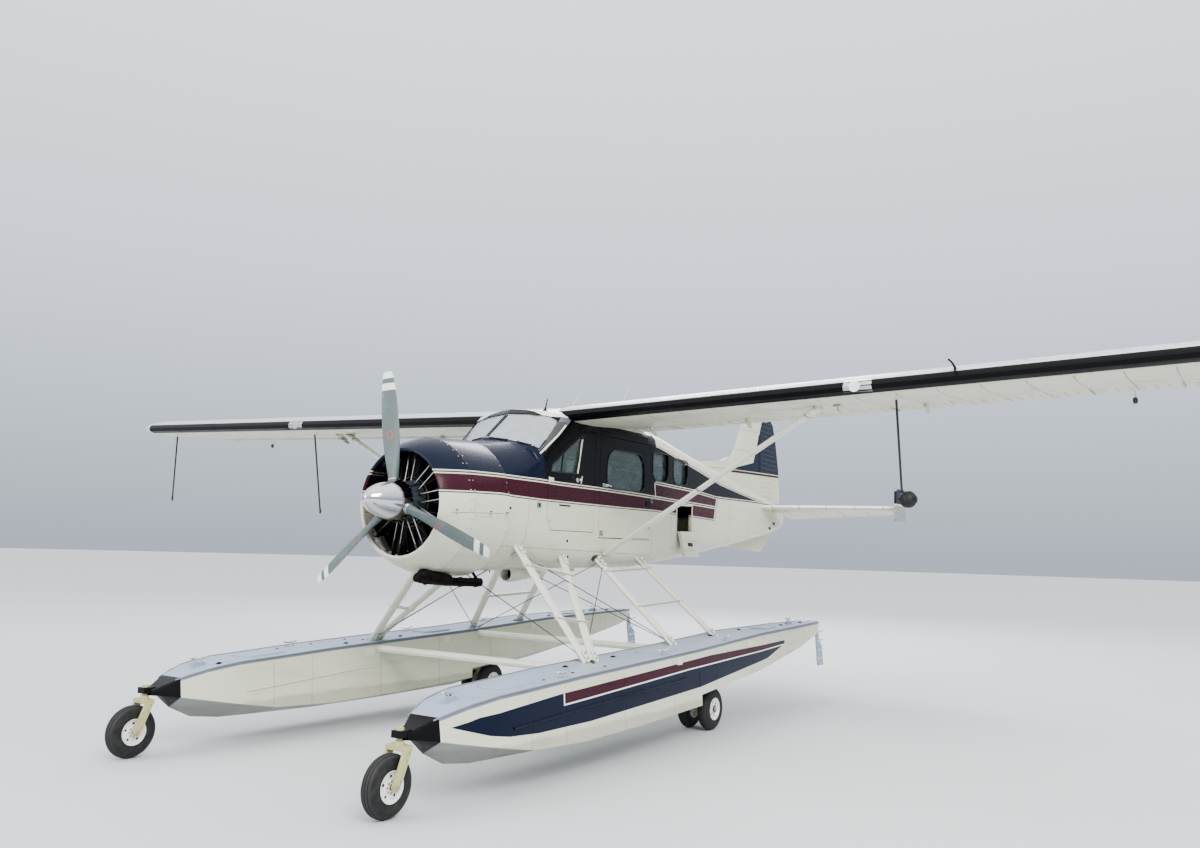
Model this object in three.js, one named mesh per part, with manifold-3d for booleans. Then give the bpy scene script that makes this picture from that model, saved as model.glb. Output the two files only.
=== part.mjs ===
// Single-engined high-wing floatplane on amphibious floats, parked on its wheels.
// Millimetres. +X forward along the propeller's axis, +Y to the left wing, +Z up. The shapes are drawn from the
// centre of the propeller, and the last lines move the whole aircraft so that the floor is at Z = 0.
import * as THREE from 'three';
import { mergeVertices } from 'three/addons/utils/BufferGeometryUtils.js';
import Module from 'manifold-3d';

const wasm = await Module();
wasm.setup();

// Whole aircraft
const FLOOR_BELOW_PROPELLER = 2287;
const CENTRE_BEHIND_PROPELLER = 3661.5;
const GAP = 0.4;
const SIDES = [['left', 1], ['right', -1]];

// Fuselage
const WALL = 38;
const END_WALL = 60;
const REAR_PANE = 8;
const CABIN_HALF_WIDTH = 660;
const FIREWALL_X = -885;
const TAIL_JOINT_X = -5300;
const CORNER_STEPS = 4;
const CABIN_FLOOR_Z = -470;
const CABIN_FLOOR_END_X = -4250;
const CARGO_PLATE = { x: [-3345, -4200], halfWidth: 420, thickness: 6 };
const TAIL_CAVITY_END_X = -7400;

// Cowling and engine
const COWL_AXIS_Z = -18;
const COWL_SPLIT_X = -363;
const COWL_END_X = -872;
const CYLINDERS = 9;
const CYLINDER_X = -285;
const COOLING_FINS = 3;
const FIN_PITCH = 72;

// Propeller
const PROPELLER_RADIUS = 1242;
const BLADES = 3;
const BLADE_START_ANGLE = -8.43;
const SPINNER_RADIUS = 200;
const SPINNER_TIP_X = 384;

// Wing
const HALF_SPAN = 7315;
const WING_LEAD_X = -1870;
const WING_CHORD = 1587.5;
const WING_ROOT_Z = 1000;
const WING_RISE = 0.03;
const WING_THICKNESS = 0.15;
const WING_CAMBER = 0.035;
const WING_INNER_Y = 440;
const BAY_X = -3013;
const CONTROL_HINGE_X = -3080;
const CONTROL_NOSE = 58;
const FLAP_INNER_Y = 684;
const FLAP_OUTER_Y = 4255;
const AILERON_INNER_Y = 4285;
const AILERON_OUTER_Y = 6982;
const TIE_DOWN_Z = 1008;
const FLAP_BRACKET_Y = [1000, 2174, 4060];

// Tail
const ELEVATOR_HINGE_Z = 320;
const TORQUE_TUBE_RADIUS = 26;
const RUDDER_HINGE_X = -8125;

// Floats and wheels
const FLOAT_Y = 1535;
const STEP_X = -2650;
const BOW_AXLE = [1465, -2065];
const BOW_WHEEL_RADIUS = 222;
const CASTER_X = 1362;
const MAIN_AXLE = [-3230, -2062];
const WHEEL_WELL = { halfLength: 280, halfWidth: 215, top: -1806 };
const WATER_RUDDER_X = -6700;
const MAIN_WHEEL_RADIUS = 225;
const MAIN_WHEEL_OFFSET = 122;
const WHEEL_SIDES = 18;

const PAINT = {
  cream: { color: 0xe9e6d6, roughness: 0.32, metalness: 0.0 },
  navy: { color: 0x10182c, roughness: 0.3, metalness: 0.0 },
  deckGrey: { color: 0xb9c3c9, roughness: 0.55, metalness: 0.0 },
  bladeGrey: { color: 0x6e757a, roughness: 0.45, metalness: 0.1 },
  chrome: { color: 0xd8dade, roughness: 0.08, metalness: 1.0 },
  engine: { color: 0x2c2e31, roughness: 0.55, metalness: 0.5 },
  exhaust: { color: 0x3a2b22, roughness: 0.8, metalness: 0.6 },
  glass: { color: 0x9fb5ad, roughness: 0.05, metalness: 0.0 },
  olive: { color: 0xb3ad72, roughness: 0.45, metalness: 0.3 },
  tyre: { color: 0x141416, roughness: 0.85, metalness: 0.0 },
  cabin: { color: 0x34363b, roughness: 0.8, metalness: 0.0 },
  rope: { color: 0x18181a, roughness: 0.9, metalness: 0.0 },
};

// Solids. A geometry becomes a solid with its faces outwards, whichever way it was drawn.
function solid(geometry) {
  const bare = new THREE.BufferGeometry();
  bare.setAttribute('position', geometry.getAttribute('position'));
  if (geometry.index) bare.setIndex(geometry.index);
  const merged = mergeVertices(bare, 0.001);
  const points = merged.getAttribute('position').array;
  const corners = [...merged.index.array];
  const triangles = [];
  let volume = 0;
  for (let i = 0; i < corners.length; i += 3) {
    const [a, b, c] = corners.slice(i, i + 3);
    if (a === b || b === c || a === c) continue;
    triangles.push([a, b, c]);
    const p = new THREE.Vector3().fromArray(points, a * 3);
    const q = new THREE.Vector3().fromArray(points, b * 3);
    const r = new THREE.Vector3().fromArray(points, c * 3);
    volume += p.dot(q.cross(r));
  }
  const outward = volume < 0 ? triangles.map(([a, b, c]) => [a, c, b]) : triangles;
  const mesh = new wasm.Mesh({
    numProp: 3,
    vertProperties: new Float32Array(points),
    triVerts: new Uint32Array(outward.flat()),
  });
  return new wasm.Manifold(mesh);
}

// The same solid with each of its points moved by change(x, y, z).
function reshaped(body, change) {
  const mesh = body.getMesh();
  const points = new Float32Array(mesh.vertProperties.length);
  for (let i = 0; i < mesh.vertProperties.length / mesh.numProp; i++) {
    const start = i * mesh.numProp;
    const [x, y, z] = mesh.vertProperties.slice(start, start + 3);
    points.set(change(x, y, z), i * 3);
  }
  const geometry = new THREE.BufferGeometry();
  geometry.setAttribute('position', new THREE.BufferAttribute(points, 3));
  geometry.setIndex([...mesh.triVerts]);
  return solid(geometry);
}

const moved = (body, dx, dy, dz) => reshaped(body, (x, y, z) => [x + dx, y + dy, z + dz]);

function turned(body, axis, degrees, centre = [0, 0, 0]) {
  const angle = THREE.MathUtils.degToRad(degrees);
  const middle = new THREE.Vector3(...centre);
  const direction = new THREE.Vector3(...axis).normalize();
  return reshaped(body, (x, y, z) => {
    const point = new THREE.Vector3(x, y, z).sub(middle);
    return point.applyAxisAngle(direction, angle).add(middle).toArray();
  });
}

function join(...bodies) {
  return bodies.flat().reduce((whole, next) => whole.add(next));
}

// body without cutter, and without cutter moved a hair towards it, so that a small gap is left.
function apart(body, cutter, ...directions) {
  let rest = body.subtract(cutter);
  for (const [dx, dy, dz] of directions) rest = rest.subtract(moved(cutter, dx * GAP, dy * GAP, dz * GAP));
  return rest;
}

function capTriangles(ring, offset) {
  const normal = new THREE.Vector3();
  ring.forEach((p, i) => {
    const q = ring[(i + 1) % ring.length];
    normal.x += (p[1] - q[1]) * (p[2] + q[2]);
    normal.y += (p[2] - q[2]) * (p[0] + q[0]);
    normal.z += (p[0] - q[0]) * (p[1] + q[1]);
  });
  const sizes = normal.toArray().map(Math.abs);
  const drop = sizes.indexOf(Math.max(...sizes));
  const keep = [(drop + 1) % 3, (drop + 2) % 3];
  const flat = ring.map((p) => new THREE.Vector2(p[keep[0]], p[keep[1]]));
  const turn = Math.sign(THREE.ShapeUtils.area(flat));
  return THREE.ShapeUtils.triangulateShape(flat, []).map((face) => {
    const way = Math.sign(THREE.ShapeUtils.area(face.map((i) => flat[i])));
    const [a, b, c] = way === turn ? face : [face[0], face[2], face[1]];
    return [a + offset, b + offset, c + offset];
  });
}

// A skin over rings of points, all of one length, closed by a cap at each end.
function loft(rings) {
  const count = rings[0].length;
  const triangles = capTriangles(rings[0], 0).map(([a, b, c]) => [a, c, b]);
  triangles.push(...capTriangles(rings[rings.length - 1], (rings.length - 1) * count));
  for (let r = 0; r + 1 < rings.length; r++) {
    for (let i = 0; i < count; i++) {
      const next = (i + 1) % count;
      const a = r * count + i;
      const b = r * count + next;
      triangles.push([a, b, a + count], [b, b + count, a + count]);
    }
  }
  const geometry = new THREE.BufferGeometry();
  geometry.setAttribute('position', new THREE.Float32BufferAttribute(rings.flat(2), 3));
  geometry.setIndex(triangles.flat());
  return solid(geometry);
}

function box([x0, x1], [y0, y1], [z0, z1]) {
  const geometry = new THREE.BoxGeometry(Math.abs(x1 - x0), Math.abs(y1 - y0), Math.abs(z1 - z0));
  return solid(geometry.translate((x0 + x1) / 2, (y0 + y1) / 2, (z0 + z1) / 2));
}

// A flat outline in the plane of two axes, drawn out along the third.
const prismAlongY = (outline, y0, y1) => loft([y0, y1].map((y) => outline.map(([x, z]) => [x, y, z])));
const prismAlongX = (outline, x0, x1) => loft([x0, x1].map((x) => outline.map(([y, z]) => [x, y, z])));

// A round body about an axis parallel to X or Y. Its profile is a list of [place along the axis, radius].
function turnedProfile(profile, sides, axis, [cx, cy, cz]) {
  const points = profile.map(([along, radius]) => new THREE.Vector2(radius, along));
  const geometry = new THREE.LatheGeometry(points, sides, Math.PI / sides);
  if (axis === 'x') geometry.rotateZ(-Math.PI / 2);
  return solid(geometry.translate(cx, cy, cz));
}

function rod(from, to, radius, sides = 8) {
  const start = new THREE.Vector3(...from);
  const end = new THREE.Vector3(...to);
  const geometry = new THREE.CylinderGeometry(radius, radius, start.distanceTo(end), sides);
  const direction = end.clone().sub(start).normalize();
  geometry.applyQuaternion(new THREE.Quaternion().setFromUnitVectors(new THREE.Vector3(0, 1, 0), direction));
  const middle = start.add(end).multiplyScalar(0.5);
  return solid(geometry.translate(middle.x, middle.y, middle.z));
}

// A tube with round section along a smooth curve through points.
function tube(points, radius, steps, sides = 8) {
  const curve = new THREE.CatmullRomCurve3(points.map((p) => new THREE.Vector3(...p)));
  const section = new THREE.Shape();
  for (let i = 0; i < sides; i++) {
    const angle = (i / sides) * 2 * Math.PI;
    const place = [radius * Math.cos(angle), radius * Math.sin(angle)];
    if (i === 0) section.moveTo(...place);
    else section.lineTo(...place);
  }
  section.closePath();
  return solid(new THREE.ExtrudeGeometry(section, { steps, extrudePath: curve, bevelEnabled: false }));
}

// A streamlined bar between two points, its chord as nearly fore and aft as the bar allows.
function streamlinedBar(from, to, chord, thickness, sides = 10) {
  const start = new THREE.Vector3(...from);
  const end = new THREE.Vector3(...to);
  const along = end.clone().sub(start).normalize();
  const across = new THREE.Vector3(1, 0, 0).projectOnPlane(along).normalize();
  const side = new THREE.Vector3().crossVectors(along, across);
  const ring = (centre) => Array.from({ length: sides }, (_, i) => {
    const angle = (i / sides) * 2 * Math.PI;
    const width = 0.5 * thickness * Math.sin(angle) * (0.82 + 0.25 * Math.cos(angle));
    const place = centre.clone().addScaledVector(across, 0.5 * chord * Math.cos(angle));
    return place.addScaledVector(side, width).toArray();
  });
  return loft([ring(start), ring(end)]);
}

// Fuselage sections. A rounded box with five points in each corner and three along the roof.
function fuselageRing(station, inset = 0) {
  const { x, half, bottom, top, lower, upper } = station;
  const width = half - inset;
  const low = bottom + inset;
  const high = top - inset;
  const small = Math.max(lower - inset, 8);
  const large = Math.max(upper - inset, 8);
  const corners = [
    { y: width - small, z: low + small, r: small, from: -90 },
    { y: width - large, z: high - large, r: large, from: 0 },
    { y: -width + large, z: high - large, r: large, from: 90 },
    { y: -width + small, z: low + small, r: small, from: 180 },
  ];
  const ring = [];
  corners.forEach((corner, which) => {
    for (let i = 0; i <= CORNER_STEPS; i++) {
      const angle = THREE.MathUtils.degToRad(corner.from + (90 * i) / CORNER_STEPS);
      ring.push([x, corner.y + corner.r * Math.cos(angle), corner.z + corner.r * Math.sin(angle)]);
    }
    if (which !== 1) return;
    const rise = 0.05 * (width - large);
    for (const share of [0.5, 0, -0.5]) ring.push([x, share * (width - large), high + rise * (1 - Math.abs(share))]);
  });
  return ring;
}

const station = ([x, half, bottom, top, lower, upper]) => ({ x, half, bottom, top, lower, upper });

// Columns: x, half width, bottom, top, lower corner radius, upper corner radius
const FRONT_STATIONS = [
  [FIREWALL_X, 640, -655, 636, 600, 560],
  [-1200, 652, -640, 690, 530, 500],
  [-1500, 660, -622, 715, 390, 330],
  [-2000, 660, -606, 715, 235, 200],
  [-3450, 660, -590, 715, 225, 150],
].map(station);

const REAR_STATIONS = [
  [-3400, 660, -590, 1090, 225, 190],
  [-3900, 648, -560, 1035, 245, 190],
  [-4600, 594, -495, 930, 275, 185],
  [TAIL_JOINT_X, 537, -420, 832, 240, 180],
].map(station);

const TAIL_STATIONS = [
  [TAIL_JOINT_X - GAP, 537, -420, 832, 240, 180],
  [-6500, 440, -275, 665, 195, 150],
  [-7600, 345, -132, 520, 150, 110],
  [-8300, 268, -22, 425, 95, 70],
  [-8650, 208, 48, 375, 70, 50],
  [-8880, 135, 120, 345, 50, 40],
  [-9010, 55, 215, 320, 25, 25],
].map(station);

// Cabin roof and windscreen, in slices across the width.
// Columns: y, foot of the glass x and z, head of the glass x and z, roof height over the doors and at the back
const ROOF_SLICES = [
  [0, -1201, 690, -1665, 1082, 1170, 1118],
  [300, -1262, 655, -1722, 1066, 1155, 1108],
  [510, -1325, 598, -1778, 1035, 1120, 1075],
  [600, -1362, 548, -1806, 985, 1070, 1030],
  [CABIN_HALF_WIDTH, -1430, 470, -1905, 880, 985, 950],
];
const ROOF_FOOT_Z = 350;
const ROOF_REAR_X = -3480;

function roofBody(inset) {
  const slices = [...ROOF_SLICES.slice(1).map(([y, ...rest]) => [-y, ...rest]).reverse(), ...ROOF_SLICES];
  const narrower = (CABIN_HALF_WIDTH - inset) / CABIN_HALF_WIDTH;
  const back = inset * 1.15;
  return loft(slices.map(([y, footX, footZ, headX, headZ, roofZ, rearZ]) => [
    [footX - back, ROOF_FOOT_Z - inset],
    [footX - back, footZ - inset],
    [headX - back, headZ - inset * 0.4],
    [-2250, roofZ - inset],
    [ROOF_REAR_X, rearZ - inset],
    [ROOF_REAR_X, ROOF_FOOT_Z - inset],
  ].map(([x, z]) => [x, y * narrower, z])));
}

const frontSkin = loft(FRONT_STATIONS.map((s) => fuselageRing(s)));
const rearSkin = loft(REAR_STATIONS.map((s) => fuselageRing(s)));
const fuselageForm = join(frontSkin, rearSkin, roofBody(0));

// The rear part of the cabin space, and the panes that lie against its walls, at a distance inside the skin.
function rearSpace(inset) {
  const last = { ...REAR_STATIONS[REAR_STATIONS.length - 1], x: TAIL_JOINT_X + END_WALL };
  return loft([...REAR_STATIONS.slice(0, -1), last].map((s) => fuselageRing(s, inset)));
}

function cabinSpace() {
  const first = { ...FRONT_STATIONS[0], x: FIREWALL_X - END_WALL };
  const front = loft([first, ...FRONT_STATIONS.slice(1)].map((s) => fuselageRing(s, WALL)));
  return join(front, rearSpace(WALL), roofBody(WALL));
}

// Outlines in the X-Z plane of what is cut into the sides
const FRONT_DOOR = [
  [-1492, -105], [-1560, -215], [-2355, -215], [-2355, 868], [-2075, 868], [-1900, 752], [-1560, 520], [-1492, 470],
];
const FRONT_DOOR_WINDOW = [[-1540, 388], [-1560, 462], [-1905, 700], [-2085, 812], [-2100, 790], [-1985, 395]];
const CABIN_DOOR = [[-2452, -268], [-3560, -258], [-3560, 868], [-2452, 868]];
const BAGGAGE_DOOR = [[-4305, -140], [-4765, -136], [-4765, 196], [-4305, 180]];
const ROUNDED_WINDOWS = {
  cabin: { x: [-2600, -3425], z: [285, 735], lower: 110, upper: 190 },
  rearOne: { x: [-3625, -4030], z: [455, 790], lower: 110, upper: 50 },
  rearTwo: { x: [-4185, -4620], z: [452, 765], lower: 120, upper: 50 },
};

function roundedOutline({ x: [front, rear], z: [low, high], lower, upper }, inset = 0) {
  const corners = [
    [front - lower, low + lower, lower, 270], [front - upper, high - upper, upper, 0],
    [rear + upper, high - upper, upper, 90], [rear + lower, low + lower, lower, 180],
  ];
  return corners.flatMap(([x, z, radius, from]) => [0, 30, 60, 90].map((step) => {
    const angle = THREE.MathUtils.degToRad(from + step);
    return [x + (radius - inset) * Math.cos(angle), z + (radius - inset) * Math.sin(angle)];
  }));
}

// An outline moved inwards all round by a distance.
function insetOutline(outline, distance) {
  const turn = Math.sign(THREE.ShapeUtils.area(outline.map(([x, z]) => new THREE.Vector2(x, z))));
  return outline.map((point, i) => {
    const before = new THREE.Vector2(...outline[(i + outline.length - 1) % outline.length]);
    const here = new THREE.Vector2(...point);
    const after = new THREE.Vector2(...outline[(i + 1) % outline.length]);
    const first = here.clone().sub(before).normalize();
    const second = after.sub(here).normalize();
    const inward = new THREE.Vector2(-first.y - second.y, first.x + second.x).multiplyScalar(turn);
    const reach = distance / (0.5 * inward.lengthSq());
    return here.addScaledVector(inward, reach).toArray();
  });
}

const sideCut = (outline, side, inner = 380) => prismAlongY(outline, side * inner, side * 900);
const DOOR_GAP = 6;

const WINDSCREEN_HOLE = [
  [0, 734], [300, 698], [500, 648], [592, 604], [592, 700], [584, 900], [566, 950], [480, 992], [300, 1016], [0, 1032],
  [-300, 1016], [-480, 992], [-566, 950], [-584, 900], [-592, 700], [-592, 604], [-500, 648], [-300, 698],
];

const cabinHollow = cabinSpace();
const cabinWalls = fuselageForm.subtract(cabinHollow);
const windscreenWay = prismAlongX(WINDSCREEN_HOLE, -1050, -2120);

// Oil cooler scoop under the belly, open at the front. Columns: x, radius, height of its middle
const SCOOP_SECTIONS = [[-1440, 96, -648], [-1475, 106, -648], [-1620, 104, -640], [-1850, 86, -628], [-2060, 50, -600]];
const SCOOP_Y = 200;
const SCOOP_MOUTH = 66;

function bellyScoop() {
  const skin = loft(SCOOP_SECTIONS.map(([x, radius, z]) => Array.from({ length: 16 }, (_, i) => {
    const angle = (i / 16) * 2 * Math.PI;
    return [x, SCOOP_Y + radius * Math.cos(angle), z + radius * Math.sin(angle)];
  })));
  const mouth = rod([-1400, SCOOP_Y, -672], [-1580, SCOOP_Y, -672], SCOOP_MOUTH, 16);
  return skin.subtract(cabinHollow).subtract(mouth);
}

function fuselageShell() {
  let shell = cabinWalls.subtract(windscreenWay);
  for (const [, side] of SIDES) {
    for (const outline of [FRONT_DOOR, CABIN_DOOR]) shell = shell.subtract(sideCut(outline, side));
    for (const name of ['rearOne', 'rearTwo']) {
      shell = shell.subtract(sideCut(roundedOutline(ROUNDED_WINDOWS[name]), side));
    }
  }
  shell = shell.subtract(sideCut(BAGGAGE_DOOR, 1));
  const floor = box([-1250, CABIN_FLOOR_END_X], [-560, 560], [CABIN_FLOOR_Z - 40, CABIN_FLOOR_Z]);
  const { x, halfWidth, thickness } = CARGO_PLATE;
  const plate = box(x, [-halfWidth, halfWidth], [CABIN_FLOOR_Z - 1, CABIN_FLOOR_Z + thickness]);
  return join(shell, floor.intersect(fuselageForm), plate, bellyScoop());
}

function door(outline, windowOutline, side) {
  const panel = cabinWalls.intersect(sideCut(insetOutline(outline, DOOR_GAP), side));
  return panel.subtract(sideCut(windowOutline, side));
}

// The baggage hatch is drawn shut and then turned down and out about the hinge along its lower edge.
const HATCH_HINGE = [-4535, 605, -138];
const HATCH_HINGE_AXIS = [1, 0.08, -0.01];
const HATCH_OPEN = 168;

function baggageHatch() {
  const shut = cabinWalls.intersect(sideCut(insetOutline(BAGGAGE_DOOR, DOOR_GAP), 1));
  return turned(shut, HATCH_HINGE_AXIS, -HATCH_OPEN, HATCH_HINGE);
}

// A pane sits in the middle of the wall's thickness, a hair clear of its frame.
function sidePane(windowOutline, side, y = CABIN_HALF_WIDTH - 22, thickness = 6) {
  return prismAlongY(insetOutline(windowOutline, GAP), side * y, side * (y + thickness));
}

function windscreen() {
  const outer = moved(roofBody(0), -10, 0, -5);
  const inner = moved(roofBody(0), -18, 0, -10);
  const way = prismAlongX(insetOutline(WINDSCREEN_HOLE, GAP), -1050, -2120);
  const shell = outer.subtract(inner).intersect(way);
  return shell.intersect(box([-1100, -2060], [-700, 700], [500, 1040]));
}

// Behind the doors one long pane lies against the inside of the wall, behind both window holes.
function rearGlass(side) {
  const sheet = rearSpace(WALL + GAP).subtract(rearSpace(WALL + REAR_PANE));
  const strip = [[-3590, 425], [-4655, 425], [-4655, 778], [-4150, 800], [-3590, 800]];
  return sheet.intersect(sideCut(strip, side));
}

// Columns: x, radius
const COWL_STATIONS = [[COWL_SPLIT_X - GAP, 650], [-600, 668], [COWL_END_X, 684]];
const COWL_STEPS = 12;
const COWL_SKIN = 20;

function cowlArc(x, radius, side) {
  return Array.from({ length: COWL_STEPS + 1 }, (_, i) => {
    const angle = THREE.MathUtils.degToRad((side > 0 ? 0 : 180) - 89.8 + (179.6 * i) / COWL_STEPS);
    return [x, radius * Math.cos(angle), COWL_AXIS_Z + radius * Math.sin(angle)];
  });
}

function cowlHalf(side) {
  return loft(COWL_STATIONS.map(([x, radius]) => [
    ...cowlArc(x, radius, side), ...cowlArc(x, radius - COWL_SKIN, side).reverse(),
  ]));
}

// Columns: place along X, radius. Out over the lip and back along the inside.
const NOSE_BOWL_PROFILE = [
  [-70, 490], [-58, 502], [-62, 516], [-90, 538], [-150, 574], [-240, 614], [COWL_SPLIT_X, 650],
  [COWL_SPLIT_X, 630], [-240, 594], [-150, 553], [-110, 521], [-92, 495],
];

function noseBowl() {
  return turnedProfile([...NOSE_BOWL_PROFILE, NOSE_BOWL_PROFILE[0]], 32, 'x', [0, 0, COWL_AXIS_Z]);
}

function engineCylinder() {
  const fins = [[165, 0], [165, 56]];
  for (let fin = 0; fin < COOLING_FINS; fin++) {
    const start = 262 + fin * FIN_PITCH;
    fins.push([start, 60], [start + 4, 80], [start + 36, 80], [start + 40, 60]);
  }
  fins.push([484, 82], [560, 66], [574, 0]);
  const barrel = turnedProfile(fins, 8, 'y', [CYLINDER_X, 0, 0]);
  const pushrods = [-38, 38].map((z) => rod([-146, 120, z], [-215, 520, z], 9, 4));
  return join(barrel, pushrods);
}

// Columns: place along X, radius
const CRANKCASE_PROFILE = [
  [-58, 0], [-58, 92], [-78, 128], [-120, 150], [-180, 172], [-390, 190], [-400, 270], [-600, 250],
  [FIREWALL_X + GAP, 250], [FIREWALL_X + GAP, 0],
];

function engineBody() {
  const crankcase = turnedProfile(CRANKCASE_PROFILE, 18, 'x', [0, 0, 0]);
  const cylinders = Array.from({ length: CYLINDERS }, (_, i) =>
    turned(engineCylinder(), [1, 0, 0], 90 + (360 * i) / CYLINDERS));
  return join(crankcase, cylinders);
}

// The side panels' outside as a full body, for what is fitted to it
const cowlForm = loft(COWL_STATIONS.map(([x, radius]) => SIDES.flatMap(([, side]) => cowlArc(x, radius, side))));

function exhaustPipe() {
  const pipe = tube([
    [-225, 105, -700], [-300, 112, -716], [-420, 120, -728], [-700, 140, -744], [-900, 160, -750], [-1060, 180, -752],
  ], 44, 14, 10);
  return apart(apart(pipe, cowlForm, [0, 0, -1]), fuselageForm, [0, 0, -1]);
}

// Propeller. Columns: radius, chord, thickness, pitch angle from the plane of rotation
const BLADE_SECTIONS = [
  [150, 92, 92, 50], [240, 100, 84, 48], [340, 124, 58, 44], [520, 154, 34, 37], [720, 164, 24, 31],
  [920, 156, 18, 27], [1100, 130, 13, 23], [1200, 106, 9, 21], [1232, 88, 7, 20], [PROPELLER_RADIUS, 60, 5, 20],
];

function bladeSection([radius, chord, thickness, pitch]) {
  const angle = THREE.MathUtils.degToRad(pitch);
  return Array.from({ length: 10 }, (_, i) => {
    const around = (i / 10) * 2 * Math.PI;
    const along = 0.5 * chord * Math.cos(around);
    const out = 0.5 * thickness * Math.sin(around);
    return [out * Math.cos(angle) - along * Math.sin(angle), along * Math.cos(angle) + out * Math.sin(angle), radius];
  });
}

const SPINNER_PROFILE = [
  [SPINNER_TIP_X, 0], [372, 38], [345, 72], [290, 112], [220, 146], [140, 174], [50, 194], [-34, SPINNER_RADIUS],
  [-38, 190], [-38, 0],
];

function blade(which) {
  const upright = loft(BLADE_SECTIONS.map(bladeSection));
  const placed = turned(upright, [1, 0, 0], -BLADE_START_ANGLE + (360 * which) / BLADES);
  const grown = SPINNER_PROFILE.map(([x, r]) => [x + Math.sign(x) * GAP, r > 0 ? r + GAP : 0]);
  return placed.subtract(turnedProfile(grown, 36, 'x', [0, 0, 0]));
}

// Wing section. Points from the trailing edge over the top to the leading edge and back below.
const SECTION_SHARES = [1, 0.86, 0.72, 0.56, 0.4, 0.26, 0.14, 0.06, 0.015, 0];

function sectionHalfThickness(share) {
  const root = 0.2969 * Math.sqrt(share);
  return 5 * (root - 0.126 * share - 0.3516 * share ** 2 + 0.2843 * share ** 3 - 0.1016 * share ** 4);
}

function foilRing({ lead, chord, z, y, thickness, camber, edge = 3 }) {
  const place = (share, sign) => {
    const half = Math.max(sectionHalfThickness(share) * thickness * chord, share > 0.5 ? edge : 0);
    return [lead - share * chord, y, z + 4 * camber * chord * share * (1 - share) + sign * half];
  };
  const top = SECTION_SHARES.map((share) => place(share, 1));
  const under = SECTION_SHARES.slice(0, -1).reverse().map((share) => place(share, -1));
  return [...top, ...under];
}

const wingZ = (y) => WING_ROOT_Z + WING_RISE * Math.abs(y);

// Columns: y, cut back of the leading edge, cut back of the trailing edge, share of the thickness
const WING_STATIONS = [
  [WING_INNER_Y, 0, 0, 1],
  [7000, 0, 0, 1],
  [7130, 25, 55, 0.93],
  [7230, 90, 170, 0.75],
  [7290, 200, 370, 0.5],
  [HALF_SPAN, 380, 620, 0.22],
];

function wing(side) {
  const rings = WING_STATIONS.map(([y, leadCut, trailCut, share]) => {
    const chord = WING_CHORD - leadCut - trailCut;
    const thickness = WING_THICKNESS * share * (WING_CHORD / chord);
    const lead = WING_LEAD_X - leadCut;
    return foilRing({ lead, chord, z: wingZ(y) + 12 * (1 - share), y: side * y, thickness, camber: WING_CAMBER });
  });
  const bay = box([BAY_X, -3700], [side * (FLAP_INNER_Y - 14), side * (AILERON_OUTER_Y + 14)], [700, 1500]);
  const brackets = FLAP_BRACKET_Y.map((y) => prismAlongY([
    [BAY_X + 60, wingZ(y) - 20], [BAY_X + 60, wingZ(y) - 70], [-3060, wingZ(y) - 118], [-3098, wingZ(y) - 118],
    [-3098, wingZ(y) - 90], [BAY_X + 6, wingZ(y) - 22],
  ], side * (y - 8), side * (y + 8)));
  const panel = loft(rings).subtract(bay);
  const trimmed = apart(panel, fuselageForm, [0, side, 0], [0, 0, 1], [0, 0, -1], [1, 0, 0]);
  const pad = box([-2300, -2384], [side * 3376, side * 3444], [TIE_DOWN_Z, TIE_DOWN_Z + 50]);
  return join(trimmed, brackets, pad);
}

// A control surface: round nose about its hinge line, then the wing section to the trailing edge.
function controlRing(y, side, { lead, chord, z, thickness, camber, hingeX, nose }) {
  const heart = (lead - hingeX) / chord;
  const middle = z + 4 * camber * chord * heart * (1 - heart);
  const arc = [90, 60, 30, 0, -30, -60, -90].map((degrees) => {
    const angle = THREE.MathUtils.degToRad(degrees);
    return [hingeX + nose * Math.cos(angle), side * y, middle + nose * Math.sin(angle)];
  });
  const place = (share, sign) => {
    const half = Math.max(sectionHalfThickness(share) * thickness * chord, 3);
    return [lead - share * chord, side * y, z + 4 * camber * chord * share * (1 - share) + sign * half];
  };
  const shares = [heart + (1 - heart) * 0.5, 1];
  return [...arc, ...shares.map((s) => place(s, -1)), ...shares.reverse().map((s) => place(s, 1))];
}

function wingControl(side, inner, outer) {
  const rings = [inner, outer].map((y) => controlRing(y, side, {
    lead: WING_LEAD_X, chord: WING_CHORD, z: wingZ(y), thickness: WING_THICKNESS, camber: WING_CAMBER,
    hingeX: CONTROL_HINGE_X, nose: CONTROL_NOSE,
  }));
  return loft(rings);
}

function wingStrut(side) {
  const bar = streamlinedBar([-2580, side * 560, -515], [-2340, side * 3235, 1015], 135, 52, 12);
  const clear = apart(bar, fuselageForm, [0, side, 0], [0, side * 0.7, -0.7]);
  const head = prismAlongY([[-2270, 990], [-2410, 990], [-2400, 1060], [-2280, 1060]], side * 3190, side * 3240);
  return apart(join(clear, head), wing(side), [0, 0, -1]);
}

// Tail
const TAILPLANE_STATIONS = [[0, -7480, -8012, 335], [300, -7490, -8013, 334], [2404, -7616, -8027, 317]];

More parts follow.
